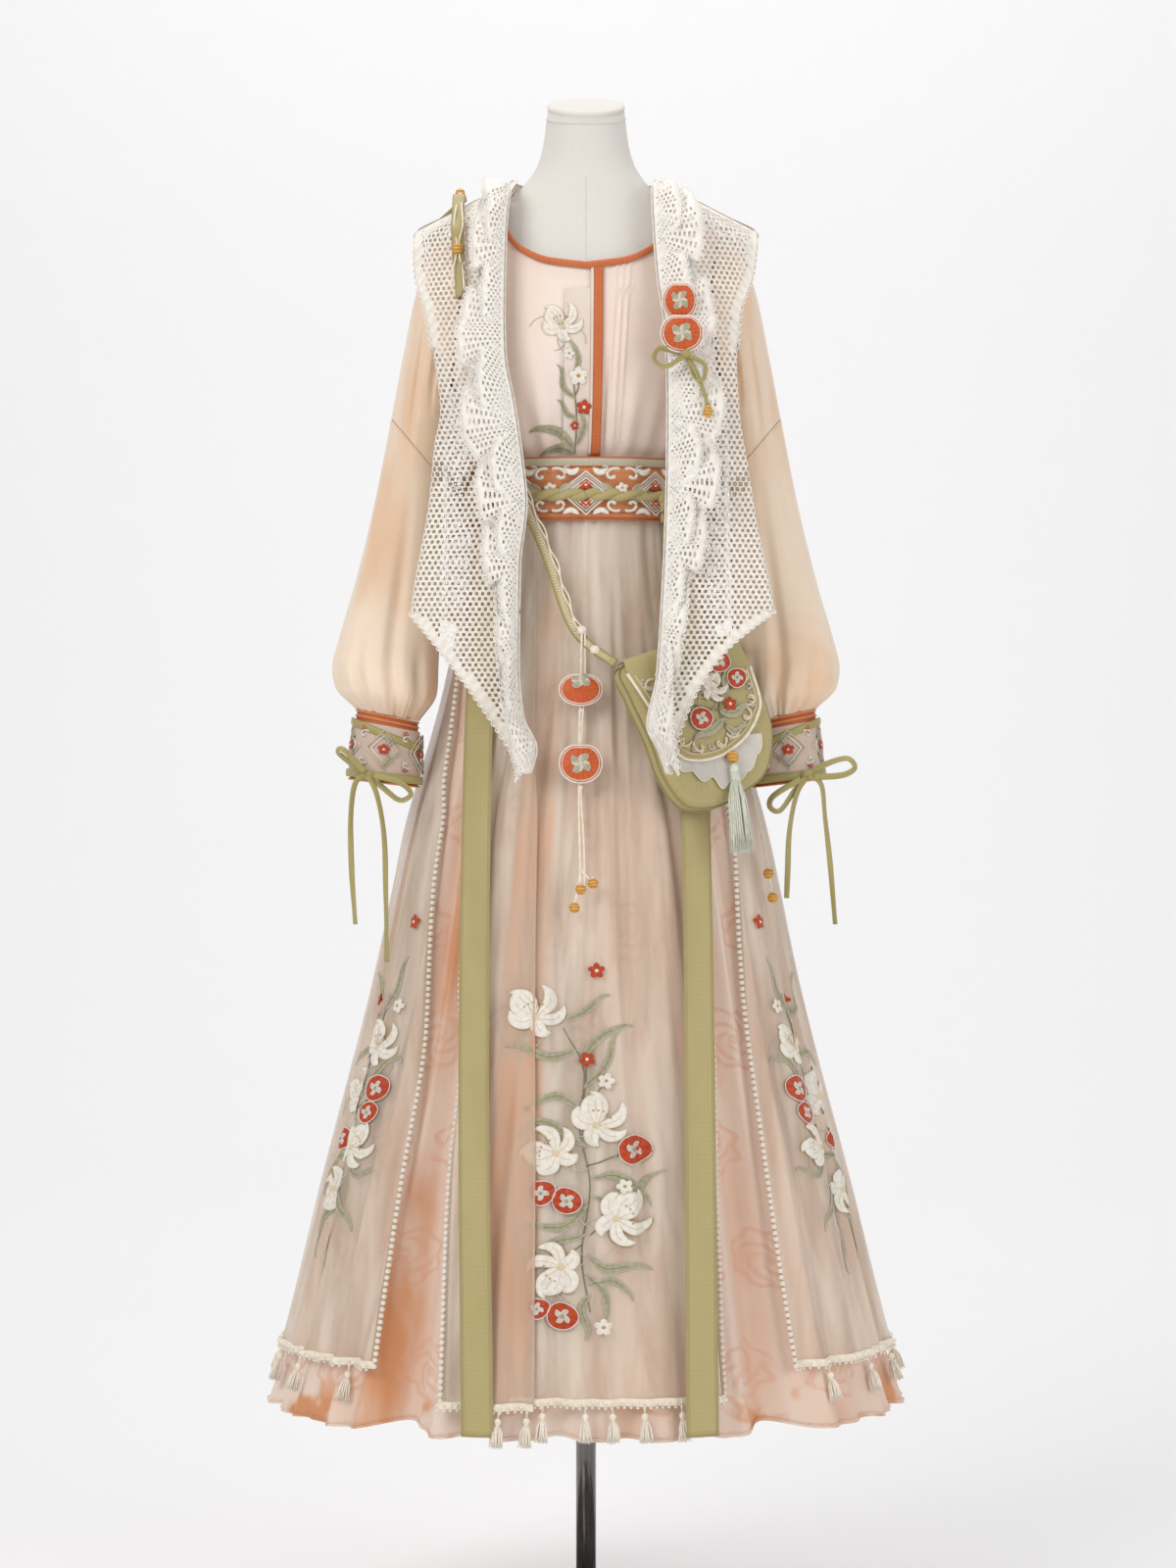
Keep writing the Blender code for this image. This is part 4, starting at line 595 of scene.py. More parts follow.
class Finish:
    """A material with one Principled shader, and short calls for the nodes that feed it."""

    def __init__(self, name, roughness, sheen=0.0, metallic=0.0, alpha=1.0):
        self.material = bpy.data.materials.new(name)
        self.material.use_nodes = True
        self.tree = self.material.node_tree
        self.shader = self.tree.nodes["Principled BSDF"]
        self.set("Roughness", roughness)
        self.set("Metallic", metallic)
        self.set("Alpha", alpha)
        self.set("Specular IOR Level", 0.3)
        if sheen:
            self.set("Sheen Weight", sheen)
            self.set("Sheen Roughness", 0.45)

    def set(self, socket, value):
        self.shader.inputs[socket].default_value = value

    def join(self, source, socket):
        self.tree.links.new(source, self.shader.inputs[socket])

    def node(self, kind, inputs=None, **settings):
        made = self.tree.nodes.new(kind)
        for key, value in settings.items():
            setattr(made, key, value)
        for key, value in (inputs or {}).items():
            if hasattr(value, "links"):
                self.tree.links.new(value, made.inputs[key])
            else:
                made.inputs[key].default_value = value
        return made

    def uv(self):
        return self.node("ShaderNodeTexCoord").outputs["UV"]

    def place(self):
        return self.node("ShaderNodeTexCoord").outputs["Object"]

    def stretched(self, vector, scale):
        return self.node("ShaderNodeMapping", {"Vector": vector, "Scale": scale}).outputs["Vector"]

    def noise(self, vector, scale, detail=3.0):
        inputs = {"Vector": vector, "Scale": scale, "Detail": detail}
        return self.node("ShaderNodeTexNoise", inputs).outputs["Fac"]

    def wave(self, vector, scale, direction="X", bend=0.0):
        inputs = {"Vector": vector, "Scale": scale, "Distortion": bend}
        return self.node("ShaderNodeTexWave", inputs, bands_direction=direction).outputs["Fac"]

    def math(self, operation, a, b=0.0):
        return self.node("ShaderNodeMath", {0: a, 1: b}, operation=operation).outputs[0]

    def times(self, a, b):
        return self.math("MULTIPLY", a, b)

    def plus(self, a, b):
        return self.math("ADD", a, b)

    def larger(self, a, b):
        return self.math("MAXIMUM", a, b)

    def bearing(self):
        """The angle round the form's axis in degrees, 0 in front, and the height."""
        parts = self.node("ShaderNodeSeparateXYZ", {"Vector": self.place()}).outputs
        turn = self.math("ARCTAN2", parts["X"], self.times(parts["Y"], -1.0))
        return self.times(turn, 180 / math.pi), parts["Z"]

    def ramp(self, value, low, high):
        made = self.node("ShaderNodeMapRange", {"Value": value, "From Min": low, "From Max": high})
        made.interpolation_type = "SMOOTHSTEP"
        return made.outputs["Result"]

    def mix(self, share, a, b):
        """Between two colours, each a socket or red, green and blue."""
        made = self.node("ShaderNodeMix", {"Factor": share}, data_type="RGBA")
        for socket, value in (("A", a), ("B", b)):
            target = [s for s in made.inputs if s.name == socket and s.type == "RGBA"][0]
            if isinstance(value, tuple):
                target.default_value = linear(*value)
            else:
                self.tree.links.new(value, target)
        return [s for s in made.outputs if s.type == "RGBA"][0]

    def tint(self, share, a, b):
        self.join(self.mix(share, a, b), "Base Color")

    def split(self, vector):
        made = self.node("ShaderNodeSeparateXYZ", {"Vector": vector})
        return made.outputs["X"], made.outputs["Y"]

    def bump(self, height, strength, distance):
        made = self.node("ShaderNodeBump", {"Height": height, "Strength": strength, "Distance": distance})
        self.join(made.outputs["Normal"], "Normal")

    def band(self, value, low, high, soft):
        """1 between two values, with soft edges."""
        rise = self.ramp(value, low - soft, low + soft)
        return self.times(rise, self.ramp(value, high + soft, high - soft))

    def weave(self, threads):
        """A plain weave in the cloth's own run, so many threads to the metre each way."""
        uv = self.uv()
        across = self.wave(uv, threads / 20, "X", 0.4)
        along = self.wave(uv, threads / 20, "Y", 0.4)
        self.bump(self.larger(across, along), 0.25, 0.0002)


def blotched(name, first, second, roughness, sheen, threads, scale=9.0, alpha=1.0, low=0.35, high=0.65):
    """Dyed cloth whose colour drifts softly between two tones, with a plain weave."""
    made = Finish(name, roughness, sheen, alpha=alpha)
    drift = made.ramp(made.noise(made.stretched(made.place(), (1.0, 1.0, 0.45)), scale), low, high)
    fine = made.noise(made.stretched(made.uv(), (1.0, 0.12, 1.0)), 900.0, 2.0)
    tone = made.mix(drift, first, second)
    made.tint(made.times(fine, 0.16), tone, tuple(v * 0.80 for v in first))
    made.weave(threads)
    return made.material


# Where the under-skirt is dyed orange: angle of the middle of each band, its half width, strength.
DYE_BANDS = [
    (-48, 4.5, 1.0), (-19, 7, 0.95), (9, 3, 0.25), (25, 5, 0.30), (43, 2.5, 0.70), (57, 4, 0.40),
    (-60, 5, 0.40), (92, 7, 0.60), (-98, 8, 0.60), (135, 8, 0.65), (-142, 9, 0.60), (175, 5, 0.45),
]


def jacquard():
    """Peach pink cloth with tone on tone medallions, dyed orange in soft upright patches."""
    made = Finish("skirt_jacquard", 0.5, 0.25)
    cell_wide, cell_high = 0.085, 0.118
    x, y = made.split(made.uv())
    up = made.math("DIVIDE", y, cell_high)
    shift = made.times(made.math("MODULO", made.math("FLOOR", up), 2.0), 0.5)
    across = made.plus(made.math("DIVIDE", x, cell_wide), shift)
    u = made.math("SUBTRACT", made.math("FRACT", across), 0.5)
    v = made.math("SUBTRACT", made.math("FRACT", up), 0.5)
    v = made.times(v, cell_high / cell_wide)
    reach = made.math("SQRT", made.plus(made.times(u, u), made.times(v, v)))
    turn = made.math("ARCTAN2", u, v)
    petals = made.math("COSINE", made.times(turn, 8.0))
    edge = made.plus(reach, made.times(petals, 0.030))
    ring = made.times(made.ramp(edge, 0.31, 0.33), made.ramp(edge, 0.39, 0.37))
    curl = made.math("COSINE", made.plus(made.times(turn, 4.0), made.times(reach, 42.0)))
    inner = made.times(made.ramp(curl, 0.15, 0.35), made.ramp(reach, 0.30, 0.27))
    core = made.ramp(reach, 0.075, 0.060)
    inner = made.times(inner, made.ramp(reach, 0.08, 0.11))
    figure = made.larger(made.larger(ring, inner), core)
    place = made.place()
    worn = made.ramp(made.noise(place, 70.0, 4.0), 0.25, 0.50)
    figure = made.times(figure, worn)
    upright = made.stretched(place, (1.0, 1.0, 0.30))
    bearing, foot = made.bearing()
    dye = 0.0
    for middle, half, strength in DYE_BANDS:
        one = made.times(made.band(bearing, middle - half, middle + half, 4.0), strength)
        dye = made.larger(dye, one)
    cloudy = made.ramp(made.noise(upright, 14.0, 4.0), 0.32, 0.60)
    dye = made.times(made.times(dye, cloudy), made.ramp(foot, 1.20, 0.70))
    patches = made.ramp(made.noise(place, 17.0, 3.0), 0.52, 0.66)
    dye = made.larger(dye, made.times(made.ramp(foot, 0.325, 0.275), patches))
    pale = made.mix(made.ramp(made.noise(upright, 5.0, 2.0), 0.35, 0.65), (240, 219, 204), (232, 206, 188))
    ground = made.mix(dye, pale, (216, 150, 104))
    made.tint(made.times(figure, 0.48), ground, (226, 168, 138))
    x_threads = made.wave(made.uv(), 60.0, "X", 0.4)
    height = made.plus(x_threads, made.times(figure, 1.5))
    made.bump(height, 0.25, 0.0003)
    return made.material


def organza():
    """Sheer silk in upright streaks: a painted highlight, and a little more opacity, where its fold ridges would
    be, and painted shade, greyer, between them.
    """
    made = Finish("sheer_organza", 0.45, 0.5)
    place = made.place()
    # Upright noise streaks stand for the folds: their pale tone is a painted highlight, their grey tone painted
    # shade, and they also set the opacity.
    painted_fold_streaks = made.noise(made.stretched(place, (1.0, 1.0, 0.05)), 26.0, 3.0)
    broad = made.noise(made.stretched(place, (1.0, 1.0, 0.15)), 7.0, 2.0)
    tone = made.mix(made.ramp(painted_fold_streaks, 0.36, 0.64), (218, 204, 184), (246, 235, 219))
    bearing, height = made.bearing()
    stain = made.times(made.band(bearing, -25.0, -11.5, 2.0), made.ramp(height, 1.22, 1.05))
    stain = made.times(stain, made.plus(made.ramp(painted_fold_streaks, 0.35, 0.65), 0.35))
    ridge = made.times(made.ramp(broad, 0.42, 0.62), 0.28)
    share = made.larger(ridge, made.times(stain, 0.75))
    made.tint(share, tone, (232, 188, 156))
    made.join(made.plus(made.times(made.ramp(painted_fold_streaks, 0.34, 0.66), 0.20), 0.46), "Alpha")
    made.weave(1100)
    return made.material


def satin_stitch(name, colour, deep):
    """Embroidery thread laid side by side: fine ridges along the stitch, with painted shade in the grooves between
    them.
    """
    made = Finish(name, 0.42, 0.35)
    ridges = made.wave(made.stretched(made.uv(), (1.0, 0.30, 1.0)), 45.0, "X", 1.2)
    patches = made.noise(made.place(), 160.0, 2.0)
    # The deep colour is painted shade in the grooves between the ridges, mixed with random patches of tone.
    share = made.times(made.plus(made.times(ridges, 0.45), patches), 0.5)
    made.tint(share, deep, colour)
    made.bump(ridges, 0.5, 0.0003)
    return made.material


def linen():
    made = Finish("form_linen", 0.85, 0.1)
    place = made.place()
    shade = made.times(made.noise(place, 260.0, 4.0), 0.3)
    made.tint(shade, (230, 226, 219), (204, 198, 189))
    made.bump(made.noise(made.stretched(place, (1.0, 1.0, 1.6)), 900.0, 3.0), 0.25, 0.0003)
    return made.material


def grey_metal():
    made = Finish("form_metal", 0.34, metallic=0.85)
    place = made.place()
    brushed = made.noise(made.stretched(place, (1.0, 1.0, 0.03)), 700.0, 2.0)
    made.tint(brushed, (150, 147, 146), (112, 108, 108))
    made.join(made.ramp(brushed, 0.0, 1.8), "Roughness")
    return made.material


def crochet(name, colour, deep):
    """Cotton yarn: twisted strands with a painted highlight, and painted shade, a deeper cream, in the hollows."""
    made = Finish(name, 0.8, 0.3)
    place = made.place()
    strands = made.wave(made.uv(), 45.0, "DIAGONAL", 3.0)
    loose = made.noise(place, 420.0, 3.0)
    # Pale on the strands is a painted highlight and deep in the hollows is painted shade, with random fluff mixed
    # in.
    share = made.times(made.plus(strands, loose), 0.5)
    made.tint(share, deep, colour)
    made.bump(made.plus(strands, loose), 0.6, 0.0005)
    return made.material


def tassel_thread(name, colour, deep):
    made = Finish(name, 0.5, 0.4)
    threads = made.noise(made.stretched(made.place(), (1.0, 1.0, 0.05)), 900.0, 2.0)
    made.tint(made.ramp(threads, 0.3, 0.7), deep, colour)
    made.bump(threads, 0.4, 0.0004)
    return made.material


def wood():
    made = Finish("wood_bead", 0.32)
    made.set("Coat Weight", 0.4)
    place = made.place()
    grain = made.wave(made.stretched(place, (1.0, 1.0, 0.4)), 220.0, "Z", 4.0)
    made.tint(grain, (226, 176, 84), (190, 126, 46))
    return made.material


def plain_cloth(name, colour, deep, threads=1500, roughness=0.6, sheen=0.2):
    made = Finish(name, roughness, sheen)
    uv = made.uv()
    across = made.wave(uv, threads / 20, "X", 0.3)
    along = made.wave(uv, threads / 20, "Y", 0.3)
    both = made.times(across, along)
    drift = made.noise(made.place(), 30.0, 3.0)
    share = made.plus(made.times(both, 0.25), made.times(drift, 0.5))
    made.tint(share, deep, colour)
    made.bump(both, 0.3, 0.0002)
    return made.material


# Colour and deeper colour of each finish, by kind. Cloths may add threads to the metre, roughness and sheen.
SATIN = 1300, 0.5
CLOTHS = {
    "orange_binding": ((216, 128, 80), (190, 98, 54)),
    "rust_cloth": ((234, 164, 116), (216, 138, 92)),
    "green_satin": ((193, 178, 129), (175, 160, 108), *SATIN, 0.35),
    "dark_green": ((170, 158, 104), (142, 134, 82), *SATIN, 0.3),
    "olive_ribbon": ((190, 178, 122), (160, 148, 92), *SATIN, 0.3),
    "grey_green": ((206, 202, 180), (184, 178, 152)),
    "tape_silk": ((206, 184, 158), (182, 156, 128)),
    "cuff_brocade": ((222, 204, 190), (202, 178, 162)),
}
# Each yarn's deeper colour is its painted shade in the hollows between its strands.
YARNS = {
    "bobble_cotton": ((252, 246, 236), (232, 222, 206)),
    "cream_trim": ((252, 242, 226), (236, 220, 198)),
    "crochet_cotton": ((254, 249, 241), (232, 222, 208)),
    "lace_cotton": ((254, 251, 246), (236, 228, 216)),
}
TASSELS = {
    "tassel_silk": ((238, 240, 224), (208, 210, 190)),
    "tassel_cream": ((253, 245, 231), (234, 220, 198)),
}
# Each thread's deeper colour is its painted shade between stitches, and also random patches.
THREADS = {
    "persimmon": ((224, 118, 62), (186, 72, 34)),
    "white_thread": ((252, 249, 242), (228, 220, 206)),
    "beige_thread": ((242, 228, 198), (212, 192, 156)),
    "gold_thread": ((214, 176, 110), (176, 132, 66)),
    "leaf_thread": ((194, 188, 156), (154, 150, 118)),
    "stem_thread": ((154, 148, 116), (122, 118, 90)),
    "silver_thread": ((228, 222, 212), (194, 186, 174)),
    "red_thread": ((212, 90, 44), (168, 50, 22)),
}

# Both tones of the plain silks, roughness, sheen, threads to the metre, scale of the drift between the tones,
# and where they aren't the usual ones opacity and the limits of the drift.
SILKS = {
    "blouse_silk": ((250, 236, 226), (245, 223, 208), 0.5, 0.35, 1700, 8.0),
    "placket_silk": ((236, 222, 210), (230, 210, 196), 0.5, 0.3, 1700, 30.0),
    "sleeve_silk": ((246, 224, 200), (238, 198, 162), 0.48, 0.4, 1700, 9.0, 1.0, 0.46, 0.72),
    "white_organza": ((236, 232, 226), (226, 220, 212), 0.45, 0.5, 1100, 6.0, 0.75),
}
MATERIALS = {
    "form_linen": linen(),
    "form_metal": grey_metal(),
    "skirt_jacquard": jacquard(),
    "sheer_organza": organza(),
    "wood_bead": wood(),
}
KINDS = (
    (plain_cloth, CLOTHS),
    (crochet, YARNS),
    (tassel_thread, TASSELS),
    (satin_stitch, THREADS),
    (blotched, SILKS),
)
for kind, finishes in KINDS:
    for finish_name, values in finishes.items():
        MATERIALS[finish_name] = kind(finish_name, *values)

# The finishes grouped under the slot of the record they would count as, by that slot. piece looks a finish up here
# but does not use the answer.
SHARED_SLOTS = {
    "blouse_silk": "placket_silk",
    "belt_brocade": "rust_cloth grey_green",
    "green_satin": "dark_green olive_ribbon leaf_thread stem_thread",
    "cream_trim": "tassel_cream bobble_cotton tape_silk white_thread beige_thread gold_thread silver_thread",
    "crochet_cotton": "lace_cotton",
    "sheer_organza": "white_organza",
    "persimmon": "red_thread",
}
SLOT_OF = {finish: slot for slot, finishes in SHARED_SLOTS.items() for finish in finishes.split()}


# Meshes

def linked(name, data):
    """A new object in the scene."""
    obj = bpy.data.objects.new(name, data)
    bpy.context.scene.collection.objects.link(obj)
    return obj


def mesh_object(name, points, faces, material):
    mesh = bpy.data.meshes.new(name)
    mesh.from_pydata([tuple(p) for p in points], [], faces)
    mesh.polygons.foreach_set("use_smooth", [True] * len(mesh.polygons))
    mesh.materials.append(material)
    return linked(name, mesh)


# Pieces that stand for a CAD node of another name. The others stand for the node of their own name, where
# there is one.
STANDS_FOR = {
    "dress_form": "form_body",
    "neck_block": "form_neck_cap",
    "stand_base": "form_base",
    "stand_pole": "form_pole",
}


def piece(name, finish, points, faces, uvs):
    """A piece of the garment from its points and faces, ridden on the one body."""
    obj = mesh_object(name, points, faces, MATERIALS[finish])
    layer = obj.data.uv_layers.new(name="UVMap")
    layer.data.foreach_set("uv", [c for loop in obj.data.loops for c in uvs[loop.vertex_index]])
    SLOT_OF.get(finish, finish)
    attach(obj, "root")
    node = STANDS_FOR.get(name, name)
    if node in frame["nodes"]:
        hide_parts(node)
    return obj


def grid_faces(rows, columns, ring=False, flip=False, first=0):
    faces = []
    for i in range(rows - 1):
        for j in range(columns if ring else columns - 1):
            k = (j + 1) % columns
            quad = (first + i * columns + j, first + i * columns + k,
                    first + (i + 1) * columns + k, first + (i + 1) * columns + j)
            faces.append(quad[::-1] if flip else quad)
    return faces


def grid_uvs(rows):
    """Places on the flat cloth in metres: along the row, and up the rows at the middle column."""
    uvs = []
    up = 0.0
    middle = len(rows[0]) // 2
    width = path_length(rows[len(rows) // 2])
    for i, row in enumerate(rows):
        if i:
            up += (row[middle] - rows[i - 1][middle]).length
        uvs += [(width * (j / (len(row) - 1) - 0.5), up) for j in range(len(row))]
    return uvs


CUTS = {}  # name of each piece of cloth: its object, and the width, length and area of its flat cut


def solidify(obj, thickness, offset=0):
    """A real thickness: 0 on both sides of the sheet, -1 behind it."""
    wall = obj.modifiers.new("Wall", "SOLIDIFY")
    wall.thickness = thickness
    wall.offset = offset


def note_cut(obj, name, rows, ring=False):
    """Measures a piece of cloth along its weave: its widest row, its longest column and its area."""
    closed = [row + row[:1] if ring else row for row in rows]
    width = max(path_length(row) for row in closed)
    columns = range(0, len(closed[0]), max(1, len(closed[0]) // 12))
    length = max(path_length([row[min(c, len(row) - 1)] for row in closed]) for c in columns)
    area = 0.0
    for low, high in zip(closed, closed[1:]):
        step = (len(high) - 1) / max(1, len(low) - 1)
        matched = [high[round(k * step)] for k in range(len(low))]
        for a, b, c, d in zip(low, low[1:], matched[1:], matched):
            area += ((b - a).cross(d - a).length + (b - c).cross(d - c).length) / 2
    CUTS[name] = (obj, width, length, area)


def cloth(name, finish, rows, ring=False, flip=False, wall=0.0):
    """A sheet of cloth through rows of points, its outer face on them. wall gives it a real thickness."""
    points = [p for row in rows for p in row]
    faces = grid_faces(len(rows), len(rows[0]), ring, flip)
    obj = piece(name, finish, points, faces, grid_uvs(rows))
    if wall:
        solidify(obj, wall, -1)
    note_cut(obj, name, rows, ring)
    return obj


class Gathered:
    """Many small forms gathered into one mesh."""

    def __init__(self):
        self.points, self.faces, self.uvs = [], [], []

    def grid(self, rows, ring=False, flip=False, uvs=None, cap=False):
        first, columns = len(self.points), len(rows[0])
        self.points += [p for row in rows for p in row]
        self.faces += grid_faces(len(rows), columns, ring, flip, first)
        self.uvs += uvs or [(0.004 * j, 0.004 * i) for i in range(len(rows)) for j in range(columns)]
        if cap:
            self.faces.append(tuple(range(first, first + columns))[::-1])
            last = first + (len(rows) - 1) * columns
            self.faces.append(tuple(range(last, last + columns)))

    def tube(self, line, radius, sides=5, taper=None, cap=True):
        """A round thread along a line of points."""
        rows, uvs, run_length = [], [], 0.0
        for i, p in enumerate(line):
            run = heading(line, i)
            side = run.cross(Vector((0, 0, 1)))
            side = (side if side.length > 0.2 else run.cross(Vector((0, -1, 0)))).normalized()
            front = side.cross(run)
            size = radius * (taper[i] if taper else 1.0)
            run_length += (p - line[max(i - 1, 0)]).length
            rows.append([p + size * (side * math.cos(a) + front * math.sin(a))
                         for a in circle(sides)])
            uvs += [(radius * a, run_length) for a in circle(sides)]
        self.grid(rows, True, False, uvs, cap)

    def ball(self, centre, radii, segments=8, rings=5):
        rows = []
        for i in range(1, rings):
            tilt = math.pi * i / rings
            wide, deep = radii[0] * math.sin(tilt), radii[1] * math.sin(tilt)
            row = []
            for a in circle(segments):
                place = Vector((wide * math.cos(a), deep * math.sin(a), -radii[2] * math.cos(tilt)))
                row.append(centre + place)
            rows.append(row)
        self.grid(rows, True, False, None, True)

    def made(self, name, finish):
        return piece(name, finish, self.points, self.faces, self.uvs)


def thread(name, finish, line, radius, sides=5):
    shape = Gathered()
    shape.tube(line, radius, sides)
    return shape.made(name, finish)


def wound_bead(name, centre, radii, segments=20, rings=12):
    bead = Gathered()
    bead.ball(Vector(centre), radii, segments, rings)
    bead.made(name, "wood_bead")


def closed_form(name, finish, rows, uvs=None):
    """A form through rings of points, with closed ends."""
    shape = Gathered()
    shape.grid(rows, True, False, uvs, True)
    return shape.made(name, finish)


# Creases that the light picks out, placed all round: angle, heights of top and foot, half width in
# degrees, depth.
Crease = namedtuple("Crease", "angle top foot width depth")
SKIRT_CREASES = rows_of(
    Crease,
    (-31, 1.18, 0.26, 3.0, 0.0060), (-14, 1.20, 0.60, 3.5, 0.0040), (-11, 0.70, 0.26, 4.0, 0.0080),
    (1, 1.19, 0.26, 3.0, 0.0050), (12, 1.21, 0.45, 3.0, 0.0060), (28, 1.17, 0.26, 3.5, 0.0070),
    (46, 1.10, 0.26, 4.0, 0.0070), (-47, 1.12, 0.26, 4.0, 0.0080), (54, 0.80, 0.26, 4.5, 0.0060),
    (-55, 0.90, 0.26, 4.0, 0.0070), (69, 1.00, 0.26, 3.5, 0.0060), (-70, 1.05, 0.26, 4.5, 0.0070),
    (91, 1.12, 0.26, 4.0, 0.0080), (-92, 0.90, 0.26, 4.0, 0.0070), (112, 1.10, 0.26, 3.5, 0.0070),
    (-127, 1.00, 0.26, 4.0, 0.0090), (129, 0.85, 0.26, 3.5, 0.0060), (-145, 1.15, 0.26, 3.0, 0.0060),
    (146, 1.15, 0.26, 4.0, 0.0080), (-162, 0.95, 0.26, 3.5, 0.0070), (163, 1.05, 0.26, 3.5, 0.0060),
    (179, 1.18, 0.26, 4.0, 0.0080),
)
VEIL_CREASES = rows_of(
    Crease,
    (-24, 1.16, 0.30, 3.5, 0.0060), (-17, 1.18, 0.30, 2.5, 0.0050), (-6, 1.12, 0.30, 3.0, 0.0085),
    (5, 1.17, 0.30, 3.0, 0.0040), (14, 1.05, 0.30, 3.5, 0.0070), (25, 1.10, 0.30, 3.0, 0.0045),
    (52, 1.10, 0.32, 3.5, 0.0060), (66, 1.16, 0.32, 3.0, 0.0050), (75, 0.90, 0.32, 4.0, 0.0060),
    (-51, 1.12, 0.32, 3.0, 0.0060), (-60, 0.95, 0.32, 4.0, 0.0050), (-74, 1.15, 0.32, 3.5, 0.0060),
    (88, 1.15, 0.32, 3.0, 0.0060), (-87, 1.00, 0.32, 3.5, 0.0060), (103, 1.05, 0.32, 4.0, 0.0060),
    (-104, 1.14, 0.32, 3.5, 0.0070), (118, 1.15, 0.32, 3.5, 0.0060), (-122, 1.08, 0.32, 4.0, 0.0060),
    (137, 0.98, 0.32, 4.0, 0.0070), (-140, 1.12, 0.32, 3.5, 0.0060), (155, 1.12, 0.32, 3.0, 0.0060),
    (-158, 0.92, 0.32, 4.0, 0.0070), (-172, 1.10, 0.32, 3.0, 0.0050), (172, 1.02, 0.32, 3.5, 0.0060),
)


def eased(value, low, high):
    t = min(1.0, max(0.0, (value - low) / (high - low)))
    return t * t * (3 - 2 * t)


def creased(table, angle, z):
    """How far the creases of a table draw the cloth in."""
    total, at = 0.0, math.degrees(angle)
    for crease in table:
        wander = 1.2 * math.sin(7.0 * z + crease.angle)
        off = turned(at - crease.angle - wander) / crease.width
        if abs(off) < 1:
            fade = 1 - eased(z, crease.top - 0.25, crease.top)
            if z < crease.foot:
                fade = 0.0
            total += crease.depth * (1 + math.cos(math.pi * off)) / 2 * fade
    return total


def waist_gathers(angle, z):
    """Small pleats that run down from the belt and die out."""
    fade = eased(z, 0.98, 1.20)
    lean = angle + 0.05 * math.sin(9 * angle)
    return fade * (0.0010 * math.cos(44 * lean) + 0.0007 * math.cos(27 * lean + 1.0))


def fine_skirt(angle, z, out=0.0):
    pull = valley(angle, z) + 1.7 * creased(SKIRT_CREASES, angle, z)
    return around(SKIRT, angle, z, waist_gathers(angle, z) - pull + out)


def fine_veil(angle, z, out=0.0):
    """The overskirt's surface with its folds and creases."""
    free = min(1.0, (veil(z) - 0.0028) / 0.0050)
    pull = OVERSKIRT_SHARE * valley(angle, z) + 0.8 * free * creased(VEIL_CREASES, angle, z)
    pull += 1.7 * creased(SKIRT_CREASES, angle, z)
    return around(SKIRT, angle, z, veil(z) + waist_gathers(angle, z) - pull + out)


# The dress form

def turned_solid(name, profile, count):
    """A turned metal form from its heights and radii."""
    rows = [[Vector((r * math.sin(a), -r * math.cos(a), z)) for a in circle(count)] for z, r in profile]
    closed_form(name, "form_metal", rows)


def dress_form():
    tilt = math.tan(math.radians(20))  # of the cut neck
    low, high = FORM[0].z, FORM[-1].z
    turns = circle(96)
    rows = []
    for z in spread(low, high, 72):
        lean = eased(z, 1.60, high) * tilt
        drop = 0.003 * eased(z, 1.65, high)
        row = []
        for a in turns:
            p = around(FORM, a, z)
            row.append(Vector((p.x, p.y, p.z + lean * p.y - drop)))
        rows.append(row)
    uvs = [(0.001 * j, 0.001 * i) for i in range(len(rows)) for j in range(len(turns))]
    closed_form("dress_form", "form_linen", rows, uvs)
    rows = []
    rim = [around(FORM, a, high) for a in turns]
    shares = (0.97, 1.0, 1.018, 1.02, 0.99, 0.9, 0.6)
    lifts = (-0.001, 0.0005, 0.0020, 0.0035, 0.0052, 0.0060, 0.0064)
    for share, lift in zip(shares, lifts):
        row = []
        for p in rim:
            row.append(Vector((p.x * share, p.y * share, p.z + tilt * p.y * share + lift - 0.003)))
        rows.append(row)
    closed_form("neck_block", "form_linen", rows)
    seams = Gathered()
    for middle in (1.607, 1.6705):
        line = []
        for a in spread(0, 2 * math.pi, 97):
            p = around(FORM, a, middle, 0.0003)
            line.append(p + Vector((0, 0, (tilt * 0.8 if middle > 1.65 else 0.25) * p.y)))
        seams.tube(line, 0.0006, 5)
    for angle, top in ((0.0, 1.598), (math.pi, 1.668)):
        seams.tube([around(FORM, angle, z, 0.0001) for z in spread(0.905, top, 90)], 0.0006, 5)
    seams.made("form_seams", "form_linen")
    foot = BASE_THICK
    base = (
        (0.0, BASE_RADIUS - 0.002), (0.0008, BASE_RADIUS), (foot - 0.004, BASE_RADIUS),
        (foot - 0.001, BASE_RADIUS - 0.002), (foot, BASE_RADIUS - 0.005), (foot + 0.0008, 0.10),
        (foot + 0.002, 0.034), (foot + 0.006, 0.0275), (0.046, 0.026), (0.050, 0.0255), (0.052, 0.023),
    )
    turned_solid("stand_base", base, 96)
    pole = [(z, POLE_RADIUS) for z in (0.0524, 0.30, 0.60, FORM_FOOT_Z - 0.0004)]
    turned_solid("stand_pole", pole, 40)


# Blouse

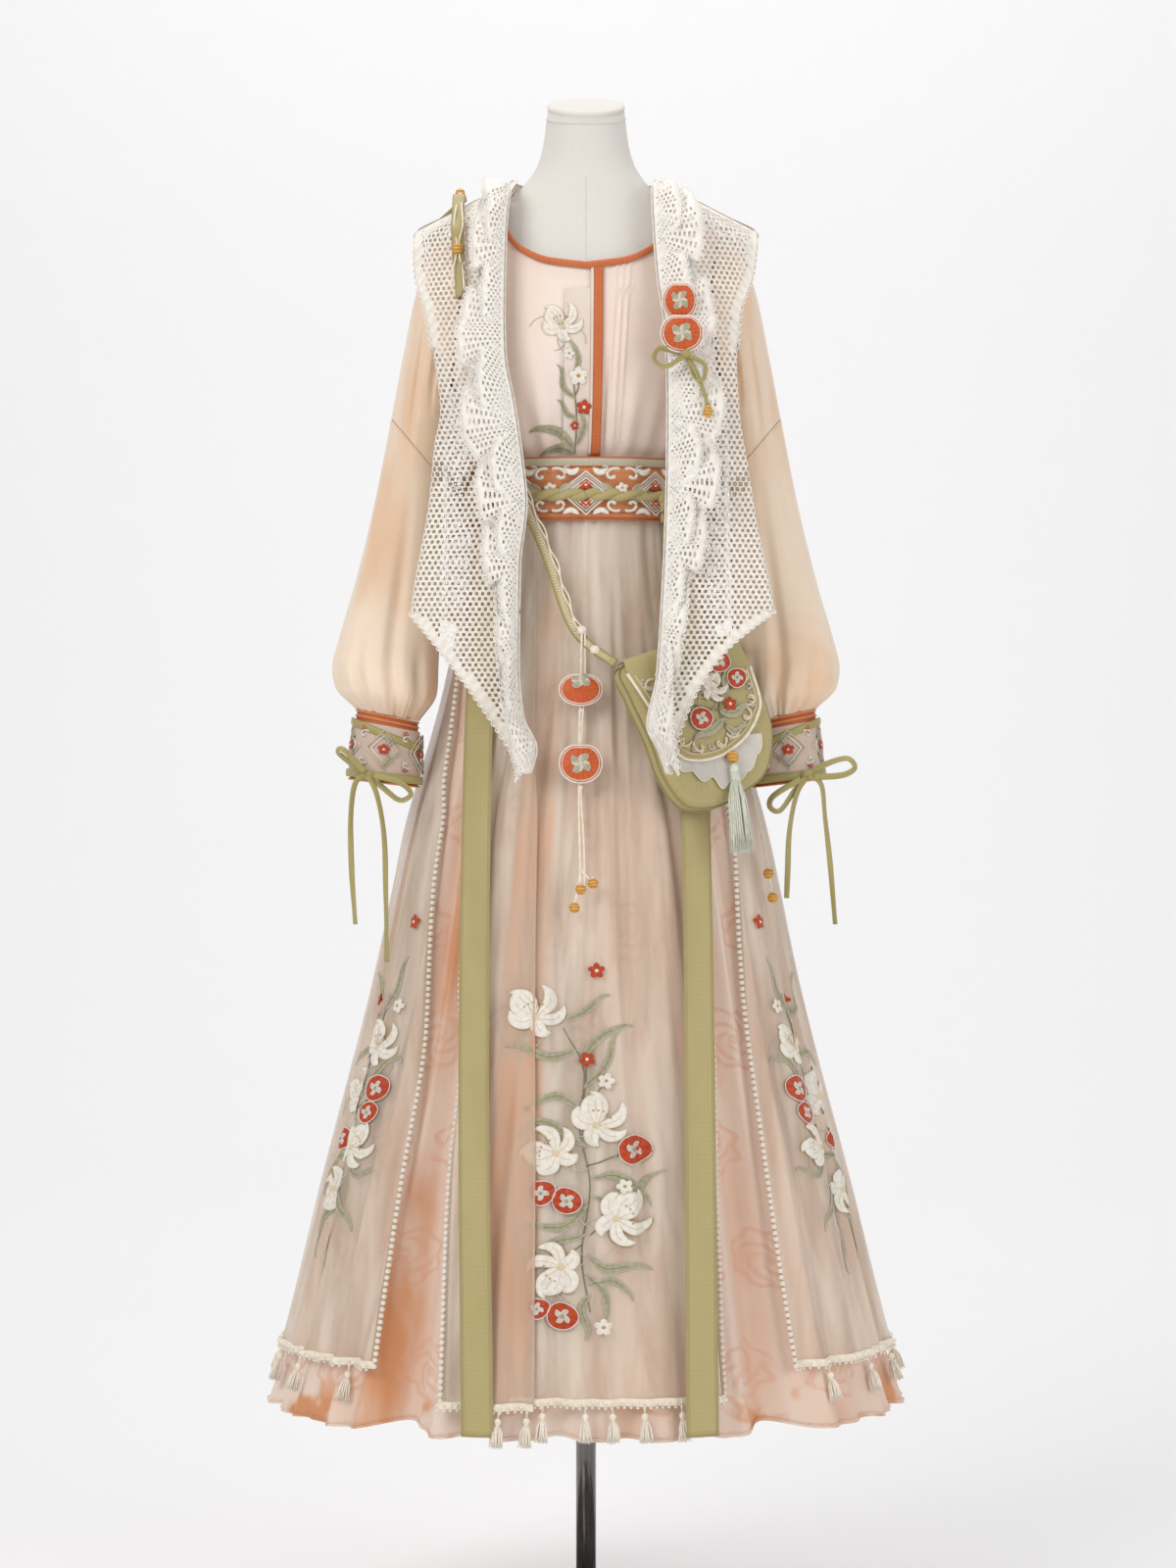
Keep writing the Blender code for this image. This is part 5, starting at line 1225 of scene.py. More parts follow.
def blouse_fine(angle, z, out=0.0):
    """The blouse's surface: pleats that fan up from the belt, and the pin tucks."""
    flat = around(BLOUSE, angle, z)
    fade = eased(z, 1.288, 1.300) * (1 - eased(z, 1.31, 1.42))
    fan = angle * (1 - 0.6 * (z - 1.29))
    gather = -BELT_GATHER_DEPTH * fade * (0.55 + 0.45 * math.cos(38 * fan + 2.0 * math.sin(5 * fan)))
    drape = -0.0016 * (1 - eased(z, 1.40, 1.52)) * (0.5 + 0.5 * math.cos(9 * fan + 1.2))
    tuck = 0.0
    if 1.31 < z < 1.52:
        for at in TUCK_X:
            off = (flat.x - at - 0.06 * (z - 1.42)) / TUCK_HALF_WIDTH
            tuck += 1.5 * TUCK_HEIGHT * max(0.0, 1 - abs(off))
    front = 1.0 if math.cos(angle) > 0 else 0.5
    tuck = tuck if math.cos(angle) > 0 else 0.0
    return around(BLOUSE, angle, z, (gather + drape) * front + tuck + out)


def on_blouse(x, z, out=0.0):
    """A point on the blouse's front as seen at x."""
    angle = math.asin(max(-0.99, min(0.99, x / smooth(BLOUSE, "half", z))))
    return blouse_fine(angle, z, out)


PLACKET_ANGLE = math.radians(5.0)


def placket_x(z):
    """Where the middle of the placket shows at a height."""
    return smooth(BLOUSE, "half", z) * math.sin(PLACKET_ANGLE)


def strip(name, finish, low, high, out, top=1.4945, columns=5, wall=0.0008):
    """A strip down the placket, between two distances from its middle."""
    rows = []
    for z in spread(1.2905, top, 50):
        rows.append([in_front(BLOUSE, placket_x(z) + x, z, out) for x in spread(low, high, columns)])
    cloth(name, finish, rows, wall=wall)


def blouse():
    rises = spread(0.0, 1.0, 46)
    for side, sign in SIDES.items():
        start = PLACKET_ANGLE - 0.0125 if sign < 0 else PLACKET_ANGLE
        rows = []
        for rise in rises:
            far = sign * edge_angle(rise, True)
            rows.append([blouse_fine(a, blouse_z(a, rise)) for a in spread(start, far, 150)])
        cloth(f"blouse_front_{side}", "blouse_silk", rows, flip=sign < 0)
    rows = []
    behind = Vector((0, 2 * SEAM, 0))
    for rise in rises:
        far = edge_angle(rise, False)
        turns = spread(math.pi - far, math.pi + far, 160)
        rows.append([blouse_fine(a, blouse_z(a, rise)) + behind for a in turns])
    cloth("blouse_back", "blouse_silk", rows)
    band = []
    drops = (0.0068, 0.0062, 0.0035, 0.0008, -0.0010, -0.0008)
    outs = (0.0030, 0.0038, 0.0042, 0.0040, 0.0030, 0.0016)
    for drop, out in zip(drops, outs):
        band.append([around(BLOUSE, a, neck_z(a) - drop, out) for a in circle(160)])
    cloth("neck_binding", "orange_binding", band, ring=True)
    strip("front_strip", "orange_binding", -0.0050, 0.0050, 0.0036)
    strip("grey_strip", "placket_silk", -0.0082, -0.0052, 0.0032)
    strip("placket_panel", "placket_silk", -0.036, -0.0084, 0.0022, 1.470, 12, 0.0)


# Sleeves and cuffs

# Turn round the sleeve in degrees, share of its length where the crease is deepest, reach, width, depth.
SLEEVE_CREASES = [
    (20, 0.85, 0.35, 16, 0.0030), (62, 0.90, 0.30, 12, 0.0040), (100, 0.80, 0.40, 14, 0.0045),
    (135, 0.92, 0.26, 12, 0.0035), (170, 0.55, 0.35, 18, 0.0030), (215, 0.80, 0.36, 14, 0.0040),
    (250, 0.90, 0.30, 12, 0.0040), (290, 0.82, 0.34, 14, 0.0040), (330, 0.90, 0.30, 12, 0.0035),
    (75, 0.25, 0.25, 14, 0.0030), (110, 0.12, 0.18, 12, 0.0035), (255, 0.20, 0.22, 14, 0.0030),
    (45, 0.45, 0.20, 16, 0.0025), (300, 0.40, 0.25, 15, 0.0025),
]

RingRow = namedtuple("RingRow", "place out_x out_z in_x in_z depth")


def ring_at(table, share):
    """A ring of a table on a smooth curve through all of its rings."""
    place = share * (len(table) - 1)
    key = ("rings", id(table))
    if key not in CURVES:
        CURVES[key] = [RingRow(i, *ring) for i, ring in enumerate(table)]
    return Ring(*(smooth(CURVES[key], column, place) for column in RingRow._fields[1:]))


def fine_sleeve_ring(ring, sign, count, whole):
    """A ring of a sleeve with its creases, and gathers into the cuff. whole is the share of its length."""
    points = []
    for turn in circle(count):
        pull = 0.0
        for at, centre, length, width, depth in SLEEVE_CREASES:
            off = turned(math.degrees(turn) - at - 25 * (whole - centre)) / width
            along = (whole - centre) / length
            if abs(off) < 1 and abs(along) < 1:
                pull += 1.9 * depth * (1 + math.cos(math.pi * off)) * (1 + math.cos(math.pi * along)) / 4
        gather = eased(whole, 0.86, 0.99)
        lean = turn + 0.25 * math.sin(3 * turn)
        pull += gather * 0.0034 * (0.5 + 0.5 * math.cos(26 * lean))
        points.append(on_ring(ring, sign, turn, 1 - pull / ring.depth))
    return points


UPPER_SHARE = 0.42  # of the sleeve's length above the seam


def sleeves():
    count = 144
    for side, sign in SIDES.items():
        first = armhole_ring(sign, count)
        rows = [first]
        start = sleeve_ring(UPPER_SLEEVE[0], sign, count)
        for t in (0.33, 0.66):
            rows.append([a.lerp(b, t) for a, b in zip(first, start)])
        for share in spread(0.0, 1.0, 34):
            rows.append(fine_sleeve_ring(ring_at(UPPER_SLEEVE, share), sign, count, UPPER_SHARE * share))
        cloth(f"sleeve_upper_{side}", "sleeve_silk", rows, ring=True, flip=sign < 0)
        rows = []
        for share in spread(0.0, 1.0, 54):
            whole = UPPER_SHARE + 0.58 * share
            rows.append(fine_sleeve_ring(ring_at(LOWER_SLEEVE, share), sign, count, whole))
        cloth(f"sleeve_lower_{side}", "sleeve_silk", rows, ring=True, flip=sign < 0)
        seam = fine_sleeve_ring(ring_at(LOWER_SLEEVE, 0.004), sign, 72, UPPER_SHARE)
        centre = sum(seam, Vector()) / len(seam)
        line = [p + (p - centre).normalized() * 0.0003 for p in seam + seam[:1]]
        thread(f"sleeve_seam_{side}", "sleeve_silk", line, 0.0006, 4)


def ribbon(gathered, line, width, sag=0.0004, face=Vector((0, -1, 0)), twist=0.8):
    """A soft ribbon along a line, slightly hollow across its width."""
    rows, uvs, run_length = [], [], 0.0
    for i, p in enumerate(line):
        run = heading(line, i)
        out = face - run * face.dot(run)
        out = out.normalized() if out.length > 0.2 else Vector((0, 0, 1))
        side = run.cross(out).normalized()
        run_length += (p - line[max(i - 1, 0)]).length
        wide = width * (1 + 0.06 * math.sin(40 * run_length))
        lean = twist * math.sin(26 * run_length + 0.4)
        c, s = math.cos(lean), math.sin(lean)
        side, out = side * c + out * s, out * c - side * s
        rows.append([p + side * wide * c / 2 + out * sag * (1 - c * c) for c in (-1, -0.5, 0, 0.5, 1)])
        uvs += [(width * c / 2, run_length) for c in (-1, -0.5, 0, 0.5, 1)]
    gathered.grid(rows, uvs=uvs)


def tie_rows(ring, flare, sign):
    """A ribbon tied round a cuff, down from a ring."""
    rows = []
    for s in spread(0, 1, 6):
        out = flare * s + 0.0008 * math.sin(math.pi * s)
        rows.append(sleeve_ring(grown(ring, out, BOW_WIDTH * s), sign, 72))
    return rows


def cuffs():
    for side, sign in SIDES.items():
        rows = [sleeve_ring(between(CUFF, s), sign, 72) for s in spread(0, 1, 8)]
        cloth(f"cuff_{side}", "orange_binding", rows, ring=True, flip=sign < 0, wall=0.0012)
        edges = Gathered()
        for share in (0.01, 0.085, 0.915, 0.99):
            ring = sleeve_ring(grown(between(CUFF, share), 0.0006), sign, 72)
            edges.tube(ring + ring[:1], 0.0011, 6)
        edges.made(f"cuff_piping_{side}", "rust_cloth")
        rows = []
        for s in spread(0.15, 0.87, 12):
            puff = 0.0021 + 0.0010 * math.sin(math.pi * (s - 0.15) / 0.72)
            rows.append(sleeve_ring(grown(between(CUFF, s), puff), sign, 72))
        cloth(f"cuff_wrap_{side}", "cuff_brocade", rows, ring=True, flip=sign < 0)
        cuff_motifs(side, sign)
        high = grown(between(CUFF, 0.20), 0.0041)
        slant = 0.011
        top = Ring(high.out_x, high.out_z + slant - 0.004, high.in_x, high.in_z - slant, high.depth)
        rows = tie_rows(top, 0.0003, sign)
        cloth(f"cuff_tie_upper_{side}", "olive_ribbon", rows, ring=True, flip=sign < 0, wall=0.0008)
        low = grown(between(CUFF, 0.84), 0.0042)
        rows = tie_rows(low, 0.0004, sign)
        tie = Gathered()
        tie.grid(rows, True, sign < 0)
        knot_x = 0.2335 if sign < 0 else 0.2385
        middle, half = (low.out_x + low.in_x) / 2, (low.out_x - low.in_x) / 2
        face = sleeve_y(low.in_z) - low.depth * math.sqrt(1 - ((knot_x - middle) / half) ** 2)
        knot = Vector((sign * knot_x, face, 0.9475))
        tie.ball(knot + Vector((0, -0.0045, 0)), (0.0070, 0.0062, 0.0058), 16, 10)
        whole, area = 0.0, 0.0
        for number, line in enumerate(BOWS[side]):
            start = knot + Vector((0, -0.0028 - 0.0018 * number, 0))
            points = through([start + Vector(p) for p in line], 44)
            width = 0.85 * BOW_WIDTH - 0.0004 * number
            ribbon(tie, points, width)
            whole += path_length(points)
            area += width * path_length(points)
        made = tie.made(f"cuff_tie_{side}", "olive_ribbon")
        ring = path_length(rows[0] + rows[0][:1])
        CUTS[f"cuff_tie_{side}"] = (made, 0.010, whole + ring, area + BOW_WIDTH * ring)
        solidify(made, 0.0007)


# Embroidery

def polar(x, y, reach, angle):
    """A place at a distance and an angle from x and y."""
    return x + reach * math.cos(angle), y + reach * math.sin(angle)


class Motif:
    """Embroidered shapes on one surface, gathered by thread. place maps across, up and out to a point."""

    def __init__(self, name, place):
        self.name, self.place = name, place
        self.threads = {}
        self.level = 0

    def of(self, thread):
        return self.threads.setdefault(thread, Gathered())

    def lift(self, base=0.0):
        """Each new shape lies a hair above the last, so that no two share a plane."""
        self.level += 1
        return 0.0004 + 0.00003 * self.level + base

    def blade(self, thread, spine, half, rise=0.0007, belly=0.5, edge=None, vein=None, base=0.0):
        """A petal or leaf along a spine, widest at the share belly, with an outline and a middle vein."""
        line = through([Vector((x, y, 0)) for x, y in spine], 15)
        lift = self.lift(base)
        rows, uvs, left, right = [], [], [], []
        run_length = 0.0
        for i, p in enumerate(line):
            t = i / 14
            run = heading(line, i)
            side = Vector((-run.y, run.x, 0))
            power = math.log(0.5) / math.log(belly)
            wide = half * max(0.0, math.sin(math.pi * t**power)) ** 0.75 + 0.00012
            run_length += (p - line[max(i - 1, 0)]).length
            row = []
            for c in (-1.0, -0.5, 0.0, 0.5, 1.0):
                q = p + side * wide * c
                row.append(self.place(q.x, q.y, lift + rise * (1 - c * c)))
            rows.append(row)
            uvs += [(run_length, wide * c) for c in (-1.0, -0.5, 0.0, 0.5, 1.0)]
            left.append(p + side * wide)
            right.append(p - side * wide)
        self.of(thread).grid(rows, uvs=uvs)
        if edge:
            loop = left + right[::-1]
            self.line(edge, [(q.x, q.y) for q in loop + loop[:1]], 0.00042, lift + 0.0002, False)
        if vein:
            self.line(vein, [(q.x, q.y) for q in line[1:10]], 0.0004, lift + rise, False)

    def line(self, thread, points, radius, lift=None, smoothed=True):
        lift = self.lift() if lift is None else lift
        if smoothed:
            points = [(p.x, p.y) for p in through([Vector((x, y, 0)) for x, y in points], 4 * len(points))]
        self.of(thread).tube([self.place(x, y, lift) for x, y in points], radius, 4, cap=False)

    def dome(self, thread, x, y, wide, high, rise=0.0012, lobes=0, depth=0.06, turn=0.0, edge=None, base=0.0):
        """A round padded shape with its stitches running out from the middle."""
        lift = self.lift(base)
        turns = circle(32 if max(wide, high) > 0.006 else 16)

        def at(a, size):
            lobe = 1 + depth * math.cos(lobes * a) if lobes else 1.0
            dx, dy = wide * size * lobe * math.cos(a), high * size * lobe * math.sin(a)
            c, s = math.cos(turn), math.sin(turn)
            return x + dx * c - dy * s, y + dx * s + dy * c

        rows, uvs = [], []
        for size in (1.0, 0.8, 0.4, 0.02):
            rows.append([self.place(*at(a, size), lift + rise * (1 - size**2.5)) for a in turns])
            uvs += [(0.010 * a, 0.01 * size) for a in turns]
        self.of(thread).grid(rows, True, False, uvs)
        if edge:
            self.line(edge, [at(a, 1.02) for a in turns + turns[:1]], 0.0006, lift + 0.0003, False)

    def lily(self, x, y, size, turn):
        """An open lily: pointed petals over shorter ones, with fine stamens and tendrils."""
        for angle, reach, bend in ((32, 1.45, 0.9), (-86, 1.35, -0.8), (148, 1.30, 0.7), (-150, 1.15, -0.9)):
            start = math.radians(angle) + turn
            curl = [polar(x, y, size * reach * t, start + bend * t * t) for t in (0.3, 0.6, 0.85, 1.0)]
            self.line("silver_thread", curl, 0.00042)
        petals = (
            (176, 0.72, 0.60), (-118, 0.96, 0.75), (112, 0.84, -0.80),
            (-60, 1.12, 0.70), (58, 1.02, -0.60), (4, 1.16, 0.55),
        )
        for order, (angle, reach, bend) in enumerate(petals):
            start = math.radians(angle) + turn
            shares = (0.04, 0.30, 0.60, 0.85, 1.0)
            spine = [polar(x, y, size * reach * t, start + bend * t**3) for t in shares]
            half = size * (0.20 if order % 2 else 0.25)
            self.blade("white_thread", spine, half, 0.0015, 0.42, "beige_thread", "beige_thread")
        self.dome("beige_thread", x, y, size * 0.16, size * 0.14, 0.0008, 5, 0.2, turn, base=0.0010)
        for k in range(5):
            a = turn + math.radians(-38 + 19 * k)
            tip = polar(x, y, 0.50 * size, a)
            self.line("gold_thread", [(x, y), polar(x, y, 0.28 * size, a + 0.12), tip], 0.00035, 0.0022)
            self.dome("gold_thread", *tip, 0.0010, 0.0008, 0.0005, base=0.0014)

    def fruit(self, x, y, size, turn=0.0):
        """A round red fruit with a pale outline, and a calyx of small silvery leaves."""
        self.dome("red_thread", x, y, size * 1.04, size * 0.97, 0.0014, 3, 0.03, turn, "white_thread")
        top = 0.0013
        for k in range(4):
            a = turn + math.pi / 4 + k * math.pi / 2
            spine = [(x, y), polar(x, y, 0.34 * size, a + 0.3), polar(x, y, 0.60 * size, a)]
            self.blade("silver_thread", spine, size * 0.17, 0.0006, 0.5, "white_thread", base=top)
        self.dome("leaf_thread", x, y, size * 0.16, size * 0.16, 0.0008, base=top + 0.0006)

    def blossom(self, x, y, size, thread, turn=0.0, petals=5):
        for k in range(petals):
            a = turn + 2 * math.pi * k / petals
            self.dome(thread, *polar(x, y, 0.52 * size, a), size * 0.46, size * 0.36, 0.0008, turn=a)
        heart = "gold_thread" if thread == "white_thread" else "white_thread"
        self.dome(heart, x, y, size * 0.24, size * 0.24, 0.0010)

    def leaf(self, points, half, belly=0.40):
        """A long leaf whose tip curls on past its last point."""
        (ax, ay), (bx, by) = points[-2:]
        dx, dy = 0.42 * (bx - ax), 0.42 * (by - ay)
        way = 0.55 if (bx - ax) > 0 else -0.55
        tip = (bx + dx + way * dy, by + dy - way * dx)
        self.blade("leaf_thread", [*points, tip], half * 1.15, 0.0008, belly, "silver_thread", "stem_thread")

    def sewn(self):
        for thread, shape in self.threads.items():
            shape.made(f"{self.name}_{thread}", thread)


Bloom = namedtuple("Bloom", "kind x z size turn")
# The spray on the front panel, from the skirt's middle line: places in metres, turn in degrees.
FRONT_SPRAY = rows_of(
    Bloom,
    ("lily", -0.047, 0.694, 0.030, 100), ("lily", 0.010, 0.583, 0.030, 65),
    ("lily", -0.029, 0.553, 0.029, 150), ("lily", 0.029, 0.487, 0.031, 20),
    ("lily", -0.024, 0.437, 0.030, 210), ("fruit", 0.046, 0.557, 0.0150, 10),
    ("fruit", -0.042, 0.513, 0.0125, 30), ("fruit", -0.018, 0.505, 0.0135, -15),
    ("fruit", -0.045, 0.396, 0.0105, 20), ("fruit", -0.022, 0.388, 0.0140, 0),
    ("red", 0.010, 0.742, 0.0085, 20), ("red", 0.001, 0.650, 0.0080, 50),
    ("white", 0.019, 0.628, 0.0085, 0), ("white", 0.016, 0.378, 0.0090, 15),
    ("white", 0.036, 0.520, 0.0080, 40),
)
FRONT_STEMS = [
    [(0.004, 0.392), (-0.004, 0.450), (0.004, 0.520), (-0.006, 0.580), (-0.002, 0.640), (-0.022, 0.682)],
    [(0.004, 0.470), (0.014, 0.480), (0.024, 0.486)],
    [(-0.004, 0.600), (0.000, 0.625), (0.000, 0.648)],
    [(0.002, 0.610), (0.012, 0.618), (0.019, 0.628)],
    [(0.000, 0.540), (0.022, 0.548), (0.044, 0.556)],
    [(-0.004, 0.460), (-0.016, 0.450), (-0.024, 0.440)],
]
FRONT_LEAVES = [
    ([(-0.020, 0.690), (0.000, 0.700), (0.014, 0.714)], 0.0030),
    ([(-0.008, 0.660), (-0.034, 0.652), (-0.062, 0.664)], 0.0036),
    ([(-0.004, 0.650), (0.012, 0.672), (0.034, 0.684)], 0.0032),
    ([(-0.002, 0.620), (0.020, 0.646), (0.026, 0.672)], 0.0028),
    ([(-0.006, 0.600), (-0.026, 0.612), (-0.050, 0.604)], 0.0034),
    ([(0.000, 0.560), (-0.040, 0.586), (-0.062, 0.575)], 0.0034),
    ([(0.004, 0.528), (0.030, 0.530), (0.056, 0.512)], 0.0036),
    ([(0.004, 0.510), (0.040, 0.504), (0.062, 0.530)], 0.0034),
    ([(0.002, 0.500), (-0.022, 0.478), (-0.052, 0.480)], 0.0034),
    ([(0.000, 0.470), (-0.030, 0.462), (-0.054, 0.446)], 0.0032),
    ([(0.002, 0.450), (0.020, 0.436), (0.050, 0.440)], 0.0038),
    ([(0.000, 0.430), (0.016, 0.414), (0.020, 0.392)], 0.0034),
    ([(0.004, 0.410), (-0.004, 0.396), (0.002, 0.374)], 0.0030),
    ([(0.002, 0.420), (0.024, 0.424), (0.040, 0.412)], 0.0030),
]
SIDE_SPRAY = rows_of(
    Bloom,
    ("lily", 0.012, 0.655, 0.027, 80), ("lily", -0.020, 0.600, 0.028, 130),
    ("lily", 0.010, 0.548, 0.026, 30), ("lily", -0.024, 0.500, 0.026, 190),
    ("fruit", 0.026, 0.612, 0.0140, 10), ("fruit", 0.022, 0.586, 0.0115, 25),
    ("fruit", -0.030, 0.554, 0.0120, -10), ("red", 0.032, 0.790, 0.0085, 15),
    ("red", -0.006, 0.705, 0.0070, 40), ("white", 0.030, 0.700, 0.0080, 0),
)
SIDE_STEMS = [
    [(-0.012, 0.462), (-0.004, 0.510), (-0.010, 0.560), (0.002, 0.610), (0.004, 0.660), (0.014, 0.712)],
    [(0.002, 0.590), (0.014, 0.598), (0.026, 0.610)],
]
SIDE_LEAVES = [
    ([(0.006, 0.690), (0.020, 0.715), (0.022, 0.742)], 0.0030),
    ([(0.004, 0.680), (-0.022, 0.700), (-0.034, 0.725)], 0.0034),
    ([(0.002, 0.640), (-0.026, 0.650), (-0.046, 0.640)], 0.0032),
    ([(0.000, 0.600), (0.028, 0.640), (0.050, 0.644)], 0.0032),
    ([(-0.006, 0.560), (0.020, 0.520), (0.044, 0.528)], 0.0034),
    ([(-0.008, 0.540), (-0.040, 0.530), (-0.056, 0.505)], 0.0034),
    ([(-0.006, 0.510), (0.010, 0.484), (0.030, 0.470)], 0.0034),
    ([(-0.010, 0.485), (-0.030, 0.470), (-0.034, 0.440)], 0.0034),
    ([(-0.012, 0.470), (-0.004, 0.450), (0.004, 0.424)], 0.0032),
]


def spray(motif, blooms, stems, leaves, mirror=1):
    """Sews a whole spray: stems, then leaves, then blooms over them."""
    for stem in stems:
        motif.line("stem_thread", [(mirror * x, z) for x, z in stem], 0.0008)
    for points, half in leaves:
        motif.leaf([(mirror * x, z) for x, z in points], half)
    for bloom in blooms:
        x, turn = mirror * bloom.x, math.radians(bloom.turn)
        if mirror < 0:
            turn = math.pi - turn
        if bloom.kind == "lily":
            motif.lily(x, bloom.z, bloom.size, turn)
        elif bloom.kind == "fruit":
            motif.fruit(x, bloom.z, bloom.size, turn)
        else:
            motif.blossom(x, bloom.z, bloom.size, f"{bloom.kind}_thread", turn)
    motif.sewn()


def on_veil(centre):
    """Maps across and height to the overskirt, from a line at an angle in degrees."""
    middle = math.radians(centre)

    def place(x, z, out):
        radius = 0.5 * (smooth(SKIRT, "half", z) + smooth(SKIRT, "front", z))
        over = 0.0
        if centre == 0 and z > 0.64:  # the top flower lies on the folded lap
            over = 0.0064 * eased(-x, 0.040, 0.058)
        return fine_veil(middle + x / radius, z, out + 0.0003 + over)

    return place


def embroider_skirt():
    spray(Motif("front_spray", on_veil(0)), FRONT_SPRAY, FRONT_STEMS, FRONT_LEAVES)
    for side, sign in SIDES.items():
        spray(Motif(f"side_spray_{side}", on_veil(sign * 66)), SIDE_SPRAY, SIDE_STEMS, SIDE_LEAVES, -sign)


BLOUSE_SPRAY = rows_of(
    Bloom,
    ("lily", -0.026, 1.428, 0.024, 95), ("white", -0.008, 1.374, 0.0105, 20),
    ("white", -0.018, 1.398, 0.0065, 0), ("red", -0.002, 1.341, 0.0085, 10),
    ("red", -0.012, 1.322, 0.0050, 30),
)
BLOUSE_STEMS = [
    [(-0.012, 1.294), (-0.010, 1.330), (-0.013, 1.370), (-0.010, 1.398), (-0.022, 1.420)],
    [(-0.012, 1.352), (-0.008, 1.362), (-0.008, 1.372)],
]
BLOUSE_LEAVES = [
    ([(-0.011, 1.380), (-0.008, 1.392), (-0.014, 1.408)], 0.0026),
    ([(-0.011, 1.350), (-0.024, 1.362), (-0.026, 1.380)], 0.0026),
    ([(-0.010, 1.330), (-0.020, 1.334), (-0.026, 1.346)], 0.0024),
    ([(-0.012, 1.298), (-0.030, 1.316), (-0.052, 1.320)], 0.0042),
    ([(-0.010, 1.302), (-0.002, 1.320), (-0.004, 1.332)], 0.0026),
    ([(-0.012, 1.294), (-0.028, 1.300), (-0.044, 1.296)], 0.0034),
]


def embroider_blouse():
    def place(x, z, out):
        p = on_blouse(x, z, out)
        if placket_x(z) - 0.037 < x and z < 1.471:
            p = in_front(BLOUSE, x, z, out + 0.0024)
        return p

    spray(Motif("blouse_spray", place), BLOUSE_SPRAY, BLOUSE_STEMS, BLOUSE_LEAVES)


def scroll(motif, thread, x, y, size, turn, mirror=1, radius=0.0008):
    """A curling tendril: a spiral that opens into a tail, a traditional scroll."""
    points = []
    for t in spread(0.0, 1.0, 16):
        points.append(polar(x, y, size * (0.12 + 0.88 * t**1.4), turn + mirror * (4.6 * (1 - t))))
    motif.line(thread, points, radius, None, False)
    motif.dome(thread, *points[0], size * 0.20, size * 0.20, 0.0006)


def cuff_motifs(side, sign):
    """The front of each cuff: a diamond with a small red flower, and scrolls to its sides."""

    def place(x, y, out):
        ring = grown(between(CUFF, 0.5 - y / 0.074), 0.0032 + out)
        return on_ring(ring, sign, QUARTER + x / 0.034)

    motif = Motif(f"cuff_motif_{side}", place)
    for centre in (-0.084, -0.042, 0.0, 0.042, 0.084):
        corners = ((-0.017, 0), (0, 0.021), (0.017, 0), (0, -0.021), (-0.017, 0))
        diamond = [(centre + x, y) for x, y in corners]
        motif.line("beige_thread", diamond, 0.0009, None, False)
        small = [(centre + 0.72 * (x - centre), 0.72 * y) for x, y in diamond]
        motif.line("white_thread", small, 0.0009, None, False)
        motif.blossom(centre, 0.0, 0.0062, "red_thread", 0.3)
        for up in (1, -1):
            leaf = [(centre + x, up * y) for x, y in ((0.002, 0.005), (0.006, 0.010), (0.0, 0.015))]
            motif.leaf(leaf, 0.0016)
            scroll(motif, "white_thread", centre + 0.021, up * 0.013, 0.0062, up * 0.6, up, 0.0009)
            motif.blossom(centre + 0.021, up * 0.020, 0.0030, "red_thread", 0.0, 4)
    motif.sewn()


# Belt

BELT_RADIUS = 0.112  # of a circle as long as the belt
# Thread, place from a rose, size, turn, mirror and thickness of the scrolls on one side of it.
BELT_SCROLLS = (
    ("white_thread", 0.0235, 0.0135, 0.0098, 0.9, 1, 0.0017),
    ("white_thread", 0.0240, -0.0160, 0.0092, -0.9, -1, 0.0016),
    ("silver_thread", 0.0170, 0.0195, 0.0052, 2.1, -1, 0.0012),
)
BELT_LEAVES = (
    (((0.006, 0.0225), (0.012, 0.0175), (0.019, 0.0215)), "white_thread", 0.0030, 0.0009, "silver_thread"),
    (((0.006, -0.0275), (0.013, -0.0230), (0.020, -0.0270)), "white_thread", 0.0026, 0.0009, "silver_thread"),
    (((0.014, 0.006), (0.020, 0.002), (0.024, -0.004)), "leaf_thread", 0.0018, 0.0007, None),
)


def belt_motifs():
    """Chevrons all round, with roses, scrolls and leaves between them."""

    def place(s, z, lift):
        return around(SKIRT, s / BELT_RADIUS, z, BELT_OUT + 0.0006 + lift)

    motif = Motif("belt_motif", place)
    steps = 11
    pitch = 2 * math.pi * BELT_RADIUS / steps
    middle_z = 1.255
    colours = ("white_thread", "silver_thread", "white_thread", "beige_thread")
    for k in range(steps):
        s = (k - steps // 2) * pitch
        for size, colour in zip((1.0, 0.84, 0.68, 0.52), colours):
            for up in (0.0215, -0.0250):
                foot_z = middle_z - 0.003
                wide = 0.0225 * size
                chevron = [(s - wide, foot_z), (s, foot_z + up * size), (s + wide, foot_z)]
                motif.line(colour, chevron, 0.0013, None, False)
        motif.blossom(s, middle_z + 0.004, 0.0064, "red_thread", 0.2)
        motif.blossom(s, middle_z - 0.0155, 0.0052, "red_thread", 0.9)
        for way in (-1, 1):
            lean = math.pi if way < 0 else 0
            for colour, x, z, size, turn, mirror, radius in BELT_SCROLLS:
                place_x, turn = s + way * x, way * turn + lean
                scroll(motif, colour, place_x, middle_z + z, size, turn, way * mirror, radius)
            for places, colour, half, rise, edge in BELT_LEAVES:
                spine = [(s + way * x, middle_z + z) for x, z in places]
                motif.blade(colour, spine, half, rise, 0.5, edge)
        motif.blossom(s + pitch / 2, middle_z + 0.0010, 0.0060, "white_thread", 0.5)
    motif.sewn()


